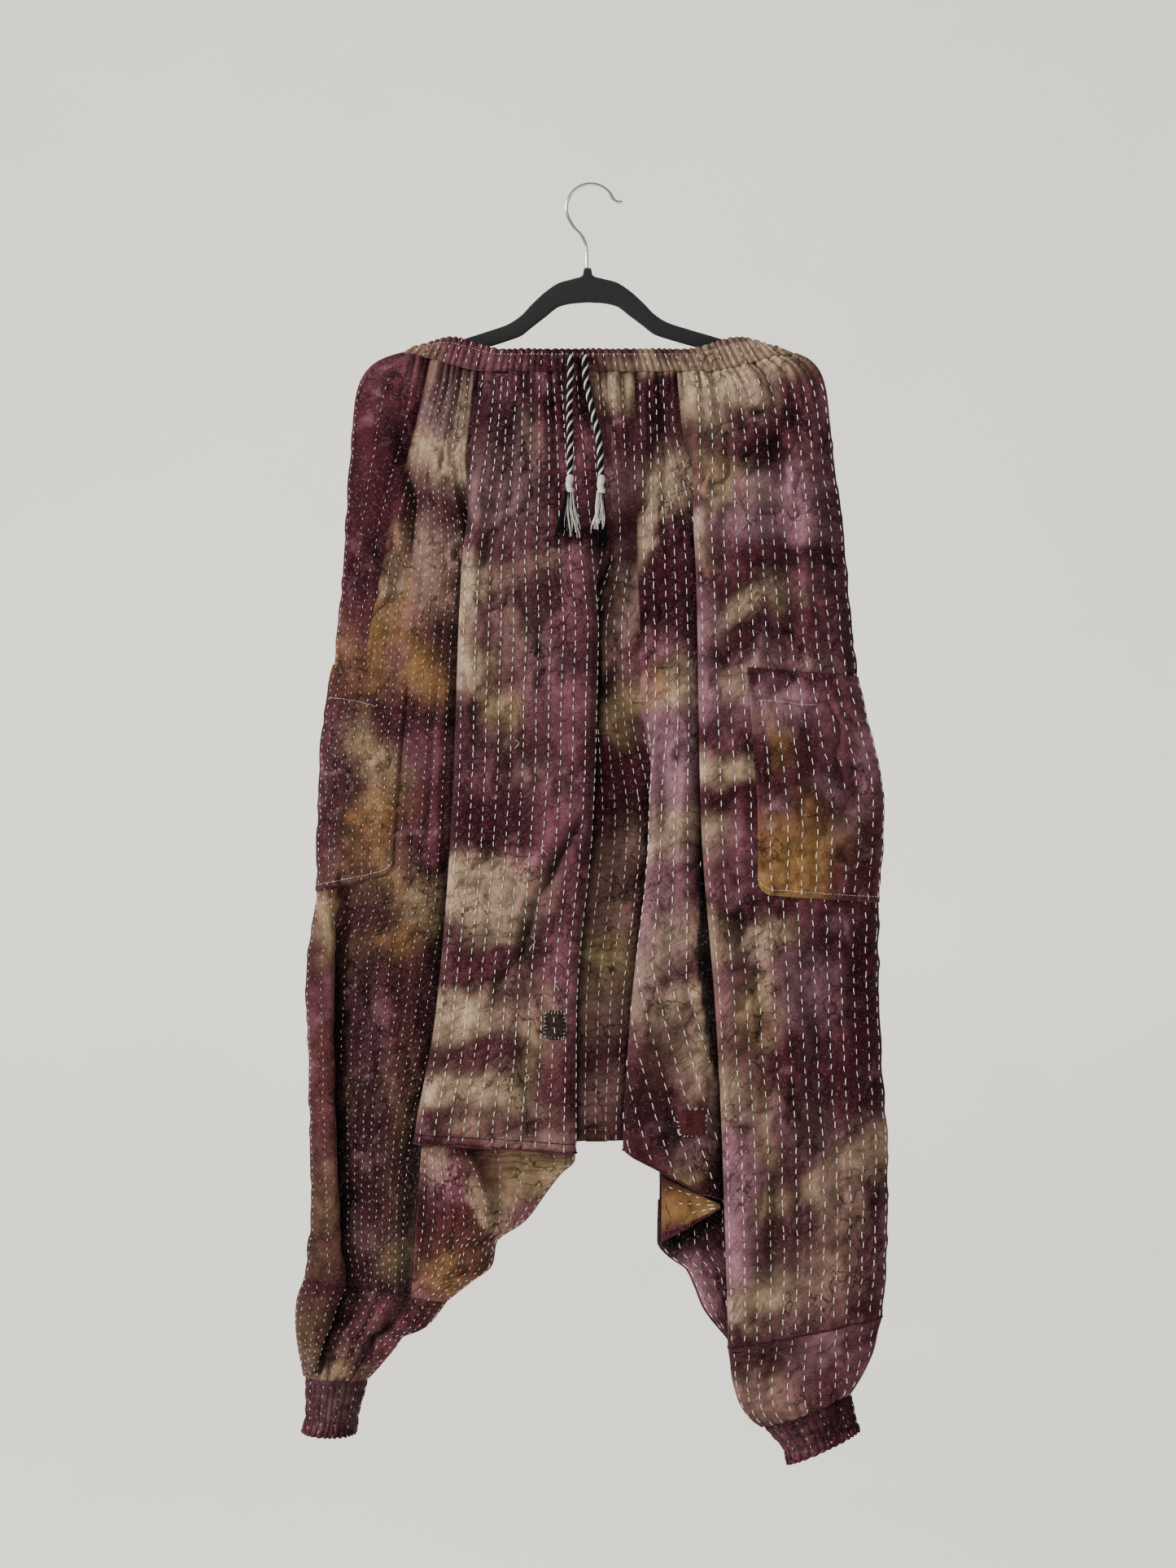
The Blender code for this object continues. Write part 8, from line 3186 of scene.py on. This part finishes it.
    def flap(self) -> None:
        """The ochre turn-up below the right centre panel, with its plum edge, in front of the gusset."""
        gusset = self.cloths["gusset_right"]
        middle = gusset.places[len(gusset.places) // 2]
        front = np.flatnonzero(middle[:, 1] > np.median(middle[:, 1]))
        u, v = np.meshgrid(np.linspace(0, 1, 33), np.linspace(0, 1, 17))
        x, high, low = 70 + 57 * u, 962 + 26 * u, 1025 - 34 * u + 1.2 * np.sin(np.pi * u)
        drop = high + (low - high) * v
        places, _ = gusset.locate(x, drop, int(front.min()) + 1, int(front.max()) - 1, 0.0)
        depth = places[..., 1] + 3.0 + 3.6 * v + 1.2 * np.sin(6 * u) * v
        cloth = ClothGrid.plain(np.stack([x, depth, drop], axis=2), x[0], Zone.RIGHT_FLAP)
        band = smooth(v, 0.84, 0.88)[..., None]
        dye = dyed(Zone.RIGHT_FLAP, x, drop) * (1 - band) + PLUM.linear * 0.8 * band
        material = self.materials[Finish.GATHERED]
        make_cloth("cloth_flap_right", cloth, material, "stitched_cotton", [], FLAP_WALL, dye=dye)
        sewing, face = Sewing("stitches_flap", 61), cloth.face(FLAP_WALL / 2)
        for row in (2, 6, 10):
            sewing.run(face[row, 1:-3], cloth.normals[row, 1:-3], 4.6, 9.5, 0.8, phase=0.3 * row)
        sewing.make(self.materials[Finish.THREAD])

    def welts(self) -> None:
        """Rolled edges and felled seams: round cords of cloth laid along the edges and the seams."""
        marks, tubes = self.form.marks, []
        begin = marks["front left"]

        def lay(name: str, cloth: ClothGrid, row: object, column: object, radius: float, tone: Tone,
                gain: float = 1.0) -> None:
            """One cord along the places at a row and a column, or at slices of them.

            Args:
                name: The cord's name.
                cloth: The cloth that it lies on.
                row: A row or a slice of them.
                column: A column, a slice or a list of them.
                radius: The cord's radius.
                tone: Its dye.
                gain: How light it is.
            """
            places = cloth.places if cloth is not self.cloths["front"] else cloth.pulled_in()
            path = places[row, column] + cloth.normals[row, column] * (WALL / 2 + radius * 0.25)
            made, grid = make_tube(name, path, radius, 10)
            light = gain * (0.85 + 0.3 * noise(grid[..., 0], grid[..., 2], 9, 7))
            colours = tone.linear * light[..., None]
            dye_tube(made, colours, colours[0, 0], colours[-1, -1])
            tubes.append(made)

        pleat, inner = marks["centre pleat"] - begin, marks["inner pleat"] - begin
        front = self.cloths["front"]
        left = slice(*self.front_columns(1, pleat + 4))
        right = slice(*self.front_columns(inner + 3, marks["right pleat"] - begin))
        recess = slice(*self.front_columns(pleat + 6, inner - 1))
        lay("hem_left", front, -1, left, 0.95, PLUM)
        lay("hem_left_line", front, -3, left, 0.35, INK)
        lay("hem_right", front, -1, right, 0.95, PLUM)
        lay("hem_recess", front, -1, recess, 0.7, OLIVE, 0.8)
        lay("hem_recess_line", front, -3, recess, 0.35, INK)
        gusset = self.cloths["gusset_left"]
        lay("band_left", gusset, slice(3, None), int(np.argmax(gusset.places[6, :, 0])) - 1, 1.35, PINK, 0.95)
        gusset = self.cloths["gusset_right"]
        lay("band_right", gusset, slice(8, None), int(np.argmin(gusset.places[6, :, 0])), 1.1, PLUM)
        shin = self.cloths["shin_right"]
        lay("seam_right", shin, 0, np.arange(-1, shin.places.shape[1]), 0.6, PLUM, 0.8)
        dress(join_pieces("seam_welts", *tubes), self.materials[Finish.GATHERED], "gathered_cotton")

    def loose_threads(self) -> None:
        """A few loose ends of sewing thread that curl off the cloth."""
        share, columns = np.linspace(0, 1, 15), self.front_columns(4, 9)
        curls = []
        for x, drop, fall, sway in LOOSE_ENDS:
            line_x, line_drop = x + sway * np.sin(share * 5.0) + 0.6 * sway * share, drop + fall * share
            places, normals = self.cloths["front"].locate(line_x, line_drop, *columns, WALL / 2 + 0.25)
            curls.append(places + normals * (1.3 * np.sin(np.pi * share))[:, None])
        hairs = strand_mesh("loose_threads", np.stack(curls), np.full((len(curls), 15), 0.13), 3)
        dress(hairs, self.materials[Finish.THREAD], "twisted_cord")


def main() -> None:
    """Builds the studio, the cords, the hanger and the pants, in that order, and reports each piece."""
    logging.basicConfig(level=logging.INFO, format="%(name)s: %(message)s")
    materials = make_materials()
    Studio(materials).build()
    for side in DRAWSTRINGS:
        Drawcord(side, materials).build()
    Hanger(materials).build()
    Pants(materials).build()


if __name__ == "__main__":
    main()
